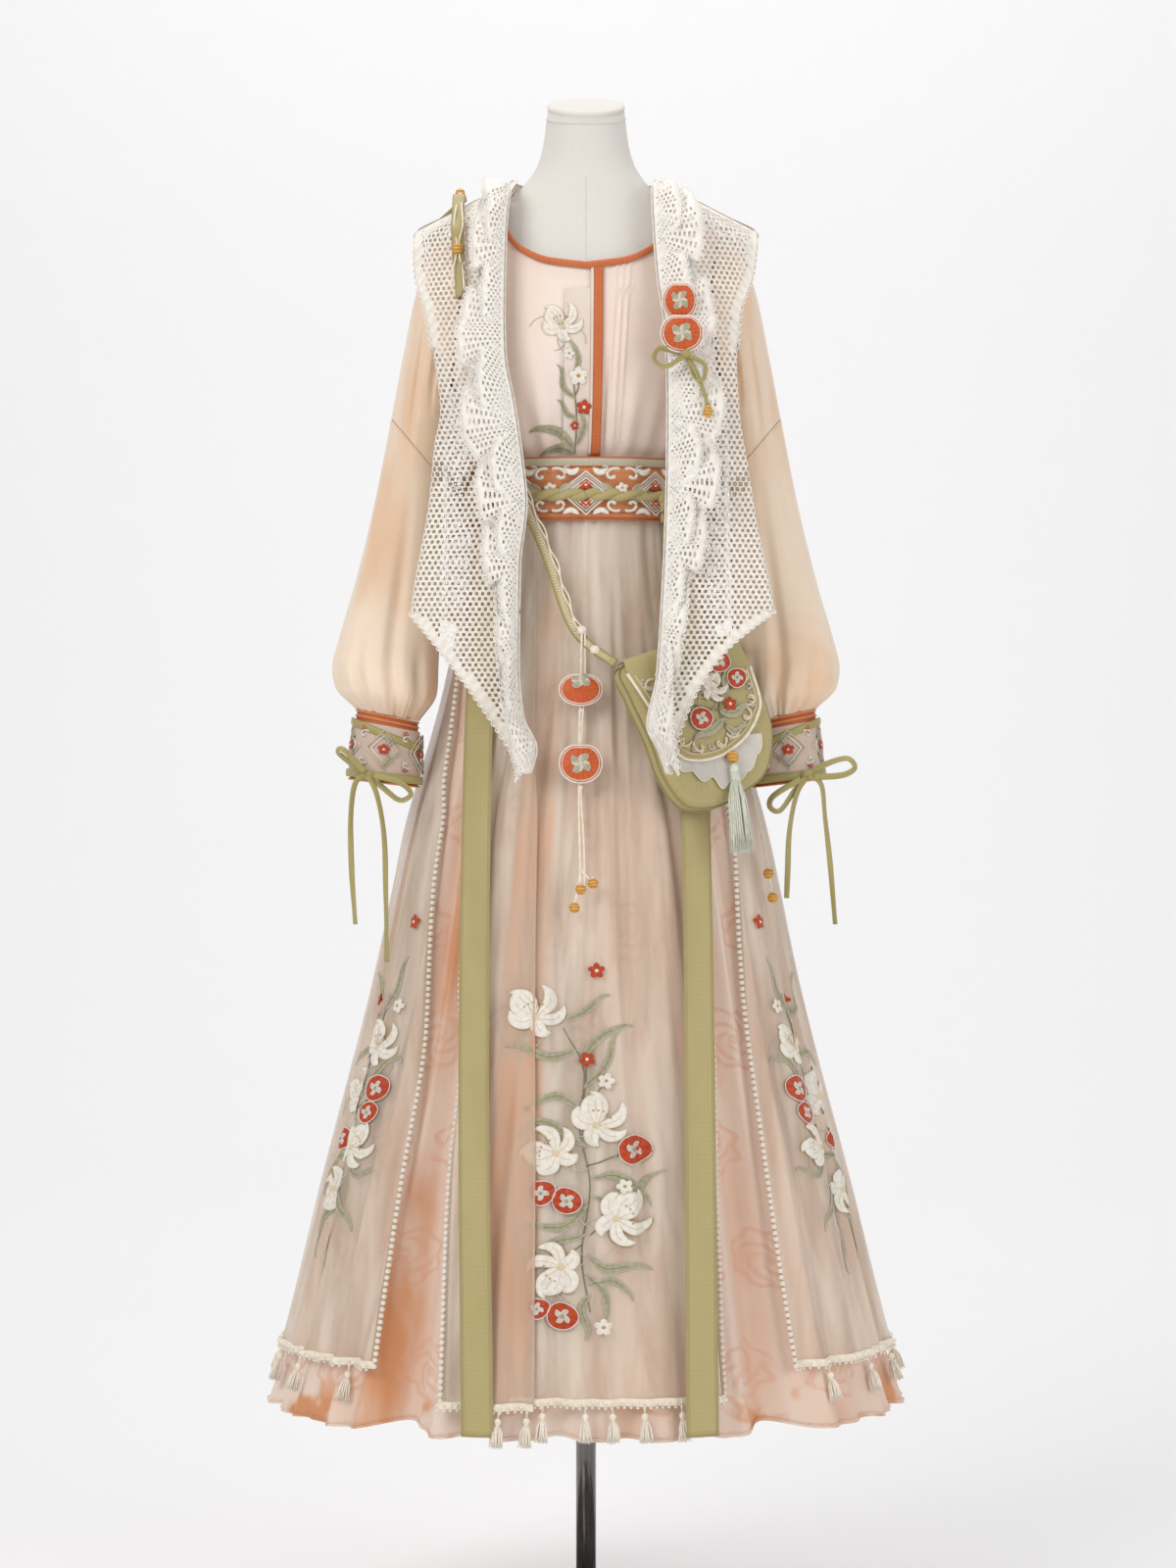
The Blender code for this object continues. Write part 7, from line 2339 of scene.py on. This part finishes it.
def straps():
    line = [over_front(x, z, out) for x, z, out in STRAP_FRONT] + [bag_point(-0.0815, 0.0680, 0.0180)]
    line = through(line, 90)
    flat_strap("bag_strap_front", line, spread(0.014, 0.009, 90), [Vector((0, -1, 0))] * 90)
    cords = Gathered()
    for k, (offset, amplitude) in enumerate(((-0.0042, 0.0012), (-0.0062, 0.0016))):
        strand = []
        for i, p in enumerate(line[:72]):
            side = heading(line, i).cross(Vector((0, -1, 0))).normalized()
            aside = side * (offset + amplitude * math.sin(0.5 * i + 2 * k))
            strand.append(p + aside + Vector((0, -0.0022 - 0.0008 * k, 0)))
        cords.tube(strand, 0.0010, 6)
    for i in range(2, 86):
        p = line[i]
        run = heading(line, i)
        side = run.cross(Vector((0, -1, 0))).normalized()
        ends = [p + side * c + Vector((0, -0.0016, 0)) - run * 0.0014 for c in (-0.0026, 0.0026)]
        cords.tube([ends[0], p + Vector((0, -0.0022, 0)) + run * 0.0008, ends[1]], 0.00075, 4)
    knot = line[-12]
    cords.ball(knot + Vector((0, -0.0040, 0)), (0.0055, 0.0040, 0.0050), 14, 8)
    cords.made("strap_cords", "cream_trim")
    front = []
    for x, z in ((0.1345, 1.4600), (0.1355, 1.4800), (0.1368, 1.5000), (0.1380, 1.5200), (0.1385, 1.5380)):
        p = vest_front_point(x, z, 0.0062 + 0.0040 * (z - 1.46) / 0.078)
        front.append(Vector((-p.x, p.y, p.z)))
    top = [over_shoulder(-0.1385, y, 0.0100) for y in (-0.050, -0.025, 0.000, 0.020)]
    places = through([Vector((place.across, place.share, 0)) for place in BACK_STRAP], 40)
    back = [vest_back_point(place.x, place.y, 0.0094) for place in places]
    side = []
    for angle, z, out in ((128, 1.108, 0.0200), (114, 1.096, 0.0140), (99, 1.090, 0.0110), (82, 1.088, 0.0110)):
        side.append(around(SKIRT, math.radians(angle), z, veil(z) + out))
    side.append(bag_point(0.0500, 0.0999, 0.0180))
    line = through(front + top + back + side, 200)
    outs = []
    for p in line:
        if p.z > 1.5:
            outs.append(Vector((0, p.y * 1.2, 0.10)).normalized())
        else:
            outs.append(outward(p))
    flat_strap("bag_strap_back", line, [0.013] * 200, outs)


# Cords, beads and the brooch

def persimmon(name, point, half_width, half_height, calyx=0.0):
    """A padded fruit seen from its calyx, stitched out from the middle. point maps across, up and out."""
    shape = Gathered()
    turns = circle(64)

    def rim(a, size):
        lobe = 1 - 0.010 * math.cos(4 * a)
        dip = 0.10 * math.exp(-(((a - QUARTER) / 0.35) ** 2))
        return size * half_width * lobe * math.cos(a), size * half_height * (lobe * math.sin(a) - dip)

    rows, uvs = [], []
    sizes = (0.90, 0.99, 1.0, 0.94, 0.80, 0.60, 0.35, 0.08)
    for size, out in zip(sizes, (0.0002, 0.0012, 0.0026, 0.0044, 0.0058, 0.0067, 0.0070, 0.0066)):
        rows.append([point(*rim(a, size), out + 0.0004 * math.cos(4 * a) * size) for a in turns])
        uvs += [(0.020 * a, 0.02 * size) for a in turns]
    shape.grid(rows, True, False, uvs, True)
    shape.made(name, "persimmon")
    edge = Gathered()
    edge.tube([point(*rim(a, 1.01), 0.0024) for a in turns + turns[:1]], 0.0012, 6, cap=False)
    edge.tube([point(*rim(a, 0.90), 0.0049) for a in turns + turns[:1]], 0.0006, 5, cap=False)
    edge.made(f"{name}_edge", "white_thread")
    high = half_height * calyx

    def on_top(x, y, out):
        reach = (x / half_width) ** 2 + ((y + high) / half_height) ** 2
        return point(x, y + high, 0.0068 + out - 0.0036 * reach * reach)

    motif = Motif(f"{name}_calyx", on_top)
    flat = 1.0 - 0.45 * abs(calyx)
    for k in range(4):
        a = math.pi / 4 + k * QUARTER
        reach = 0.56
        tip = (half_width * reach * math.cos(a), half_height * reach * flat * math.sin(a))
        bent = (half_width * 0.34 * math.cos(a + 0.25), half_height * 0.34 * flat * math.sin(a + 0.25))
        spine = [(0, 0), bent, tip]
        motif.blade("leaf_thread", spine, half_width * 0.16, 0.0010, 0.5, "silver_thread", "silver_thread")
    for k in range(4):
        a = k * QUARTER
        tip = (half_width * 0.42 * math.cos(a), half_height * 0.42 * flat * math.sin(a))
        spine = [(0, 0), (tip[0] * 0.5, tip[1] * 0.5), tip]
        motif.blade("silver_thread", spine, half_width * 0.09, 0.0008, 0.5, "white_thread")
    motif.dome("beige_thread", 0, 0, 0.0032, 0.0028, 0.0014)
    motif.sewn()


def pendants():
    line = []
    for z in spread(KNOT_Z, 0.8272, 90):
        sway = 0.002 * math.sin((z - 0.83) * 14)
        rise = min(1.0, max(0.0, (z - 1.065) / 0.033))
        line.append(over_front(PENDANT_X - sway, z, 0.0130 + 0.0066 * rise))
    near = over_front(PENDANT_X, 0.8480, 0.0130)
    main, cord, beads = Gathered(), Gathered(), Gathered()
    main.tube(line, 0.0012, 6)
    beside = [0.0030 + 0.0016 * math.sin(9 * t) for t in spread(0, 1, 90)]
    cord.tube([p + Vector((x, 0, 0)) for p, x in zip(line, beside)], 0.0010, 6)
    for x, z in ((0.0075, 0.8335), (-0.0120, 0.8080)):
        end = over_front(x, z, 0.0130)
        cord.tube([near.lerp(end, t) for t in spread(0, 1, 6)], 0.0011, 6)
        beads.ball(end, (0.0058, 0.0056, 0.0056), 18, 12)
        cord.ball(end + Vector((0, 0, 0.0060)), (0.0019, 0.0018, 0.0016), 8, 6)
    beads.ball(line[-1], (0.0058, 0.0056, 0.0056), 18, 12)
    cord.ball(line[0], (0.0055, 0.0042, 0.0050), 14, 8)
    for z in (1.0165, 0.9905, 0.9345):
        p = over_front(PENDANT_X, z, 0.0130)
        cord.ball(p, (0.0026, 0.0022, 0.0022), 10, 6)
    strand = main.made("pendant_cord", "cream_trim")
    on_it = [cord.made("pendant_strands", "cream_trim"), beads.made("pendant_beads", "wood_bead")]
    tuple(line[0])
    round(path_length(line), 3)
    for name, z, half_width, half_height in (("upper", 1.0385, 0.0225, 0.0168), ("lower", 0.9600, 0.0222, 0.0205)):
        def point(x, dz, out, z=z):
            return over_front(PENDANT_X + x, z + dz, 0.0150 + out)

        persimmon(f"pendant_{name}", point, half_width, half_height, 0.55 if name == "upper" else 0.0)


def hip_beads():
    points = [
        (0.1760, 0.945, 0.0020), (0.1850, 0.905, 0.0020), (0.1905, 0.880, 0.0024), (0.1975, 0.8410, 0.0064),
        (0.2020, 0.8150, 0.0064),
    ]
    line = through([over_front(x, z, out) for x, z, out in points], 50)
    cord, beads = Gathered(), Gathered()
    cord.tube(line, 0.0011, 6)
    for x, z, out in points[3:]:
        beads.ball(over_front(x, z, out), (0.0060, 0.0058, 0.0060), 18, 12)
    hung = cord.made("hip_cord", "cream_trim")
    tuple(line[0])
    round(path_length(line), 3)
    beads.made("hip_beads", "wood_bead")


def brooch():
    upper = vest_front_point(0.1000, 1.4530, 0.0172)
    lower = vest_front_point(0.1020, 1.4170, 0.0206)
    for name, middle, half, height in (("upper", upper, 0.0180, 0.0200), ("lower", lower, 0.0222, 0.0200)):
        def point(x, dz, out, middle=middle):
            return middle + Vector((x, -out * 0.9, dz))

        persimmon(f"brooch_{name}", point, half, height)
    knot = lower + Vector((0.004, -0.001, -0.0224))
    tie = Gathered()
    tie.ball(knot + Vector((0, -0.0035, 0)), (0.0052, 0.0060, 0.0050), 14, 8)
    loops = [
        [
            (0, 0, 0), (-0.014, -0.001, 0.004), (-0.028, -0.003, 0.006), (-0.034, -0.005, -0.005),
            (-0.022, -0.008, -0.014), (-0.002, -0.007, -0.003),
        ],
        [
            (0, 0, 0), (0.005, -0.001, -0.010), (0.009, -0.003, -0.024), (0.018, -0.005, -0.028),
            (0.020, -0.007, -0.012), (0.002, -0.006, -0.001),
        ],
        [(0.001, 0, 0), (0.012, -0.001, -0.022), (0.019, -0.002, -0.040), (0.023, -0.002, -0.054)],
    ]
    for number, line in enumerate(loops):
        start = knot + Vector((0, 0.0013 - 0.0016 * number, 0))
        ribbon(tie, through([start + Vector(p) for p in line], 36), 0.0062 - 0.0004 * number, 0.0004)
    made = tie.made("brooch_ribbon", "olive_ribbon")
    solidify(made, 0.0007)
    wound_bead("brooch_bead", knot + Vector((0.0235, -0.0040, -0.0612)), (0.0048, 0.0048, 0.0070))
    top = over_shoulder(-0.1385, -0.004, 0.0156)
    wound_bead("shoulder_bead_upper", top, (0.0055, 0.0055, 0.0055))
    low = vest_front_point(0.1378, 1.5130, 0.0132)
    wound_bead("shoulder_bead_lower", (-low.x, low.y, low.z), (0.0058, 0.0052, 0.0066))
    cords = Gathered()
    for off in (-0.0030, 0.0034):
        places = [Vector(top) + Vector((0.3 * off, -0.003, 0))]
        for z, wide in ((1.562, 1.0), (1.540, 1.5), (1.5205, 0.4), (1.505, 0.6), (1.490, 1.6), (1.466, 2.2)):
            p = vest_front_point(0.1378 - off * wide, z, 0.0122)
            places.append(Vector((-p.x, p.y, p.z)))
        cords.tube(through(places, 50), 0.0010, 6)
    cords.made("shoulder_cords", "cream_trim")


# Stage, light and camera

CAMERA_AT = Vector((0.0022, -4.2, 0.938))
FLOOR_END_Y, SWEEP_RADIUS = 4.6, 2.6  # the floor's far edge, and the curve up from it to the wall


def stage():
    """A pale paper sweep: floor, curve and back wall in one sheet."""
    rows = []
    for x in spread(-9.0, 9.0, 3):
        column = [Vector((x, y, 0.0)) for y in (-9.0, -2.0, FLOOR_END_Y)]
        for turn in spread(0, QUARTER, 13)[1:]:
            y, z = FLOOR_END_Y + SWEEP_RADIUS * math.sin(turn), SWEEP_RADIUS - SWEEP_RADIUS * math.cos(turn)
            column.append(Vector((x, y, z)))
        column.append(Vector((x, FLOOR_END_Y + SWEEP_RADIUS, 9.0)))
        rows.append(column)
    points = [p for row in rows for p in row]
    paper = Finish("sweep_paper", 0.9)
    grain = paper.noise(paper.place(), 14.0, 2.0)
    paper.tint(paper.times(grain, 0.06), (246, 245, 246), (236, 236, 238))
    sweep = mesh_object("sweep", points, grid_faces(3, len(rows[0])), paper.material)


def area_light(name, place, aim, size, power, colour=(1.0, 1.0, 1.0)):
    data = bpy.data.lights.new(name, "AREA")
    data.shape = "RECTANGLE"
    data.size, data.size_y = size
    data.energy = power
    data.color = colour
    lamp = linked(name, data)
    lamp.location = place
    lamp.rotation_euler = (Vector(aim) - Vector(place)).to_track_quat("-Z", "Y").to_euler()


def lights():
    world = bpy.data.worlds.new("room")
    world.use_nodes = True
    background = world.node_tree.nodes["Background"]
    background.inputs["Color"].default_value = (1.0, 1.0, 1.0, 1.0)
    background.inputs["Strength"].default_value = 0.41
    bpy.context.scene.world = world
    area_light("key", (-2.1, -2.7, 3.1), (0, 0, 1.05), (2.0, 2.2), 62.0, (1.0, 0.985, 0.965))
    area_light("fill", (2.9, -3.0, 1.9), (0, 0, 0.85), (2.4, 2.6), 46.0)
    area_light("top", (0.0, 0.5, 4.3), (0, 0.3, 0), (3.0, 1.2), 44.0)
    area_light("back_wall", (0.0, 3.6, 5.4), (0, 6.6, 1.0), (7.0, 1.6), 142.0)


def camera():
    data = bpy.data.cameras.new("camera")
    data.sensor_width = 36.0
    data.lens = 87.5
    data.clip_end = 50.0
    eye = linked("camera", data)
    eye.location = CAMERA_AT
    eye.rotation_euler = (math.radians(90), 0, 0)
    bpy.context.scene.camera = eye
    bpy.context.scene.view_settings.view_transform = "Standard"


# Each piece of cloth: how it is held, what it rests on, and the trims that are sewn to it. SIDE stands for
# both sides.
Held = namedtuple("Held", "name held rests_on trims")
HELD = rows_of(
    Held,
    ("blouse_front_SIDE", "hung", "form_body", ""),
    ("blouse_back", "hung", "form_body", "neck_binding"),
    ("sleeve_upper_SIDE", "hung", "blouse_front_SIDE", ""),
    ("sleeve_lower_SIDE", "gathered", "sleeve_upper_SIDE", "sleeve_seam_SIDE"),
    ("cuff_SIDE", "gathered", "sleeve_lower_SIDE", "cuff_piping_SIDE"),
    ("cuff_wrap_SIDE", "stretched", "cuff_SIDE", ""),
    ("cuff_tie_upper_SIDE", "stretched", "cuff_wrap_SIDE", ""),
    ("belt", "stretched", "blouse_front_left blouse_front_right blouse_back", "belt_top_band"),
    ("skirt_front", "gathered", "belt", ""),
    ("skirt_back", "gathered", "belt", ""),
    ("overskirt_front", "gathered", "belt",
     "hem_band_front hem_trim_front slit_tape_front_left slit_bobbles_front_left"),
    ("overskirt_lap", "folded", "belt",
     "hem_band_lap hem_trim_lap slit_tape_front_right slit_bobbles_front_right"),
    ("overskirt_SIDE", "gathered", "belt", "hem_band_SIDE hem_trim_SIDE slit_tape_SIDE slit_bobbles_SIDE"),
    ("vest_front_SIDE", "draped", "blouse_front_SIDE", ""),
    ("vest_back", "draped", "blouse_back", ""),
    ("vest_ruffle_SIDE", "gathered", "vest_front_SIDE", ""),
    ("vest_collar", "gathered", "vest_back", ""),
    ("bag_flap", "folded", "bag_body", "flap_piping"),
    ("cuff_tie_SIDE", "hung", "cuff_SIDE", ""),
    ("bag_strap_front", "hung", "bag_body vest_ruffle_right", "bag_strap_front_edges strap_cords"),
    ("bag_strap_back", "hung", "bag_body vest_back", "bag_strap_back_edges"),
    ("bag_organza", "laid", "bag_body", ""),
)


def both_sides(table):
    """The rows of a table, each with SIDE in its name once for the left and once for the right."""
    for row in table:
        for side in ("left", "right") if "SIDE" in row.name else ("",):
            yield Held(*(text.replace("SIDE", side) for text in row))


def declare_cloth():
    """Looks up the cut and the trims of each piece of cloth, and splits the names of what it rests on."""
    for row in both_sides(HELD):
        obj, width, length, area = CUTS[row.name]
        objects = bpy.data.objects
        trims = [objects.get(f"{name}.001") or objects[name] for name in row.trims.split()]
        row.rests_on.split()


def main():
    stage()
    dress_form()
    blouse()
    embroider_blouse()
    sleeves()
    cuffs()
    belt()
    skirt()
    overskirt()
    embroider_skirt()
    bands = sashes()
    vest()
    ruffles()
    bag()
    straps()
    pendants()
    hip_beads()
    brooch()
    declare_cloth()
    lights()
    camera()


main()
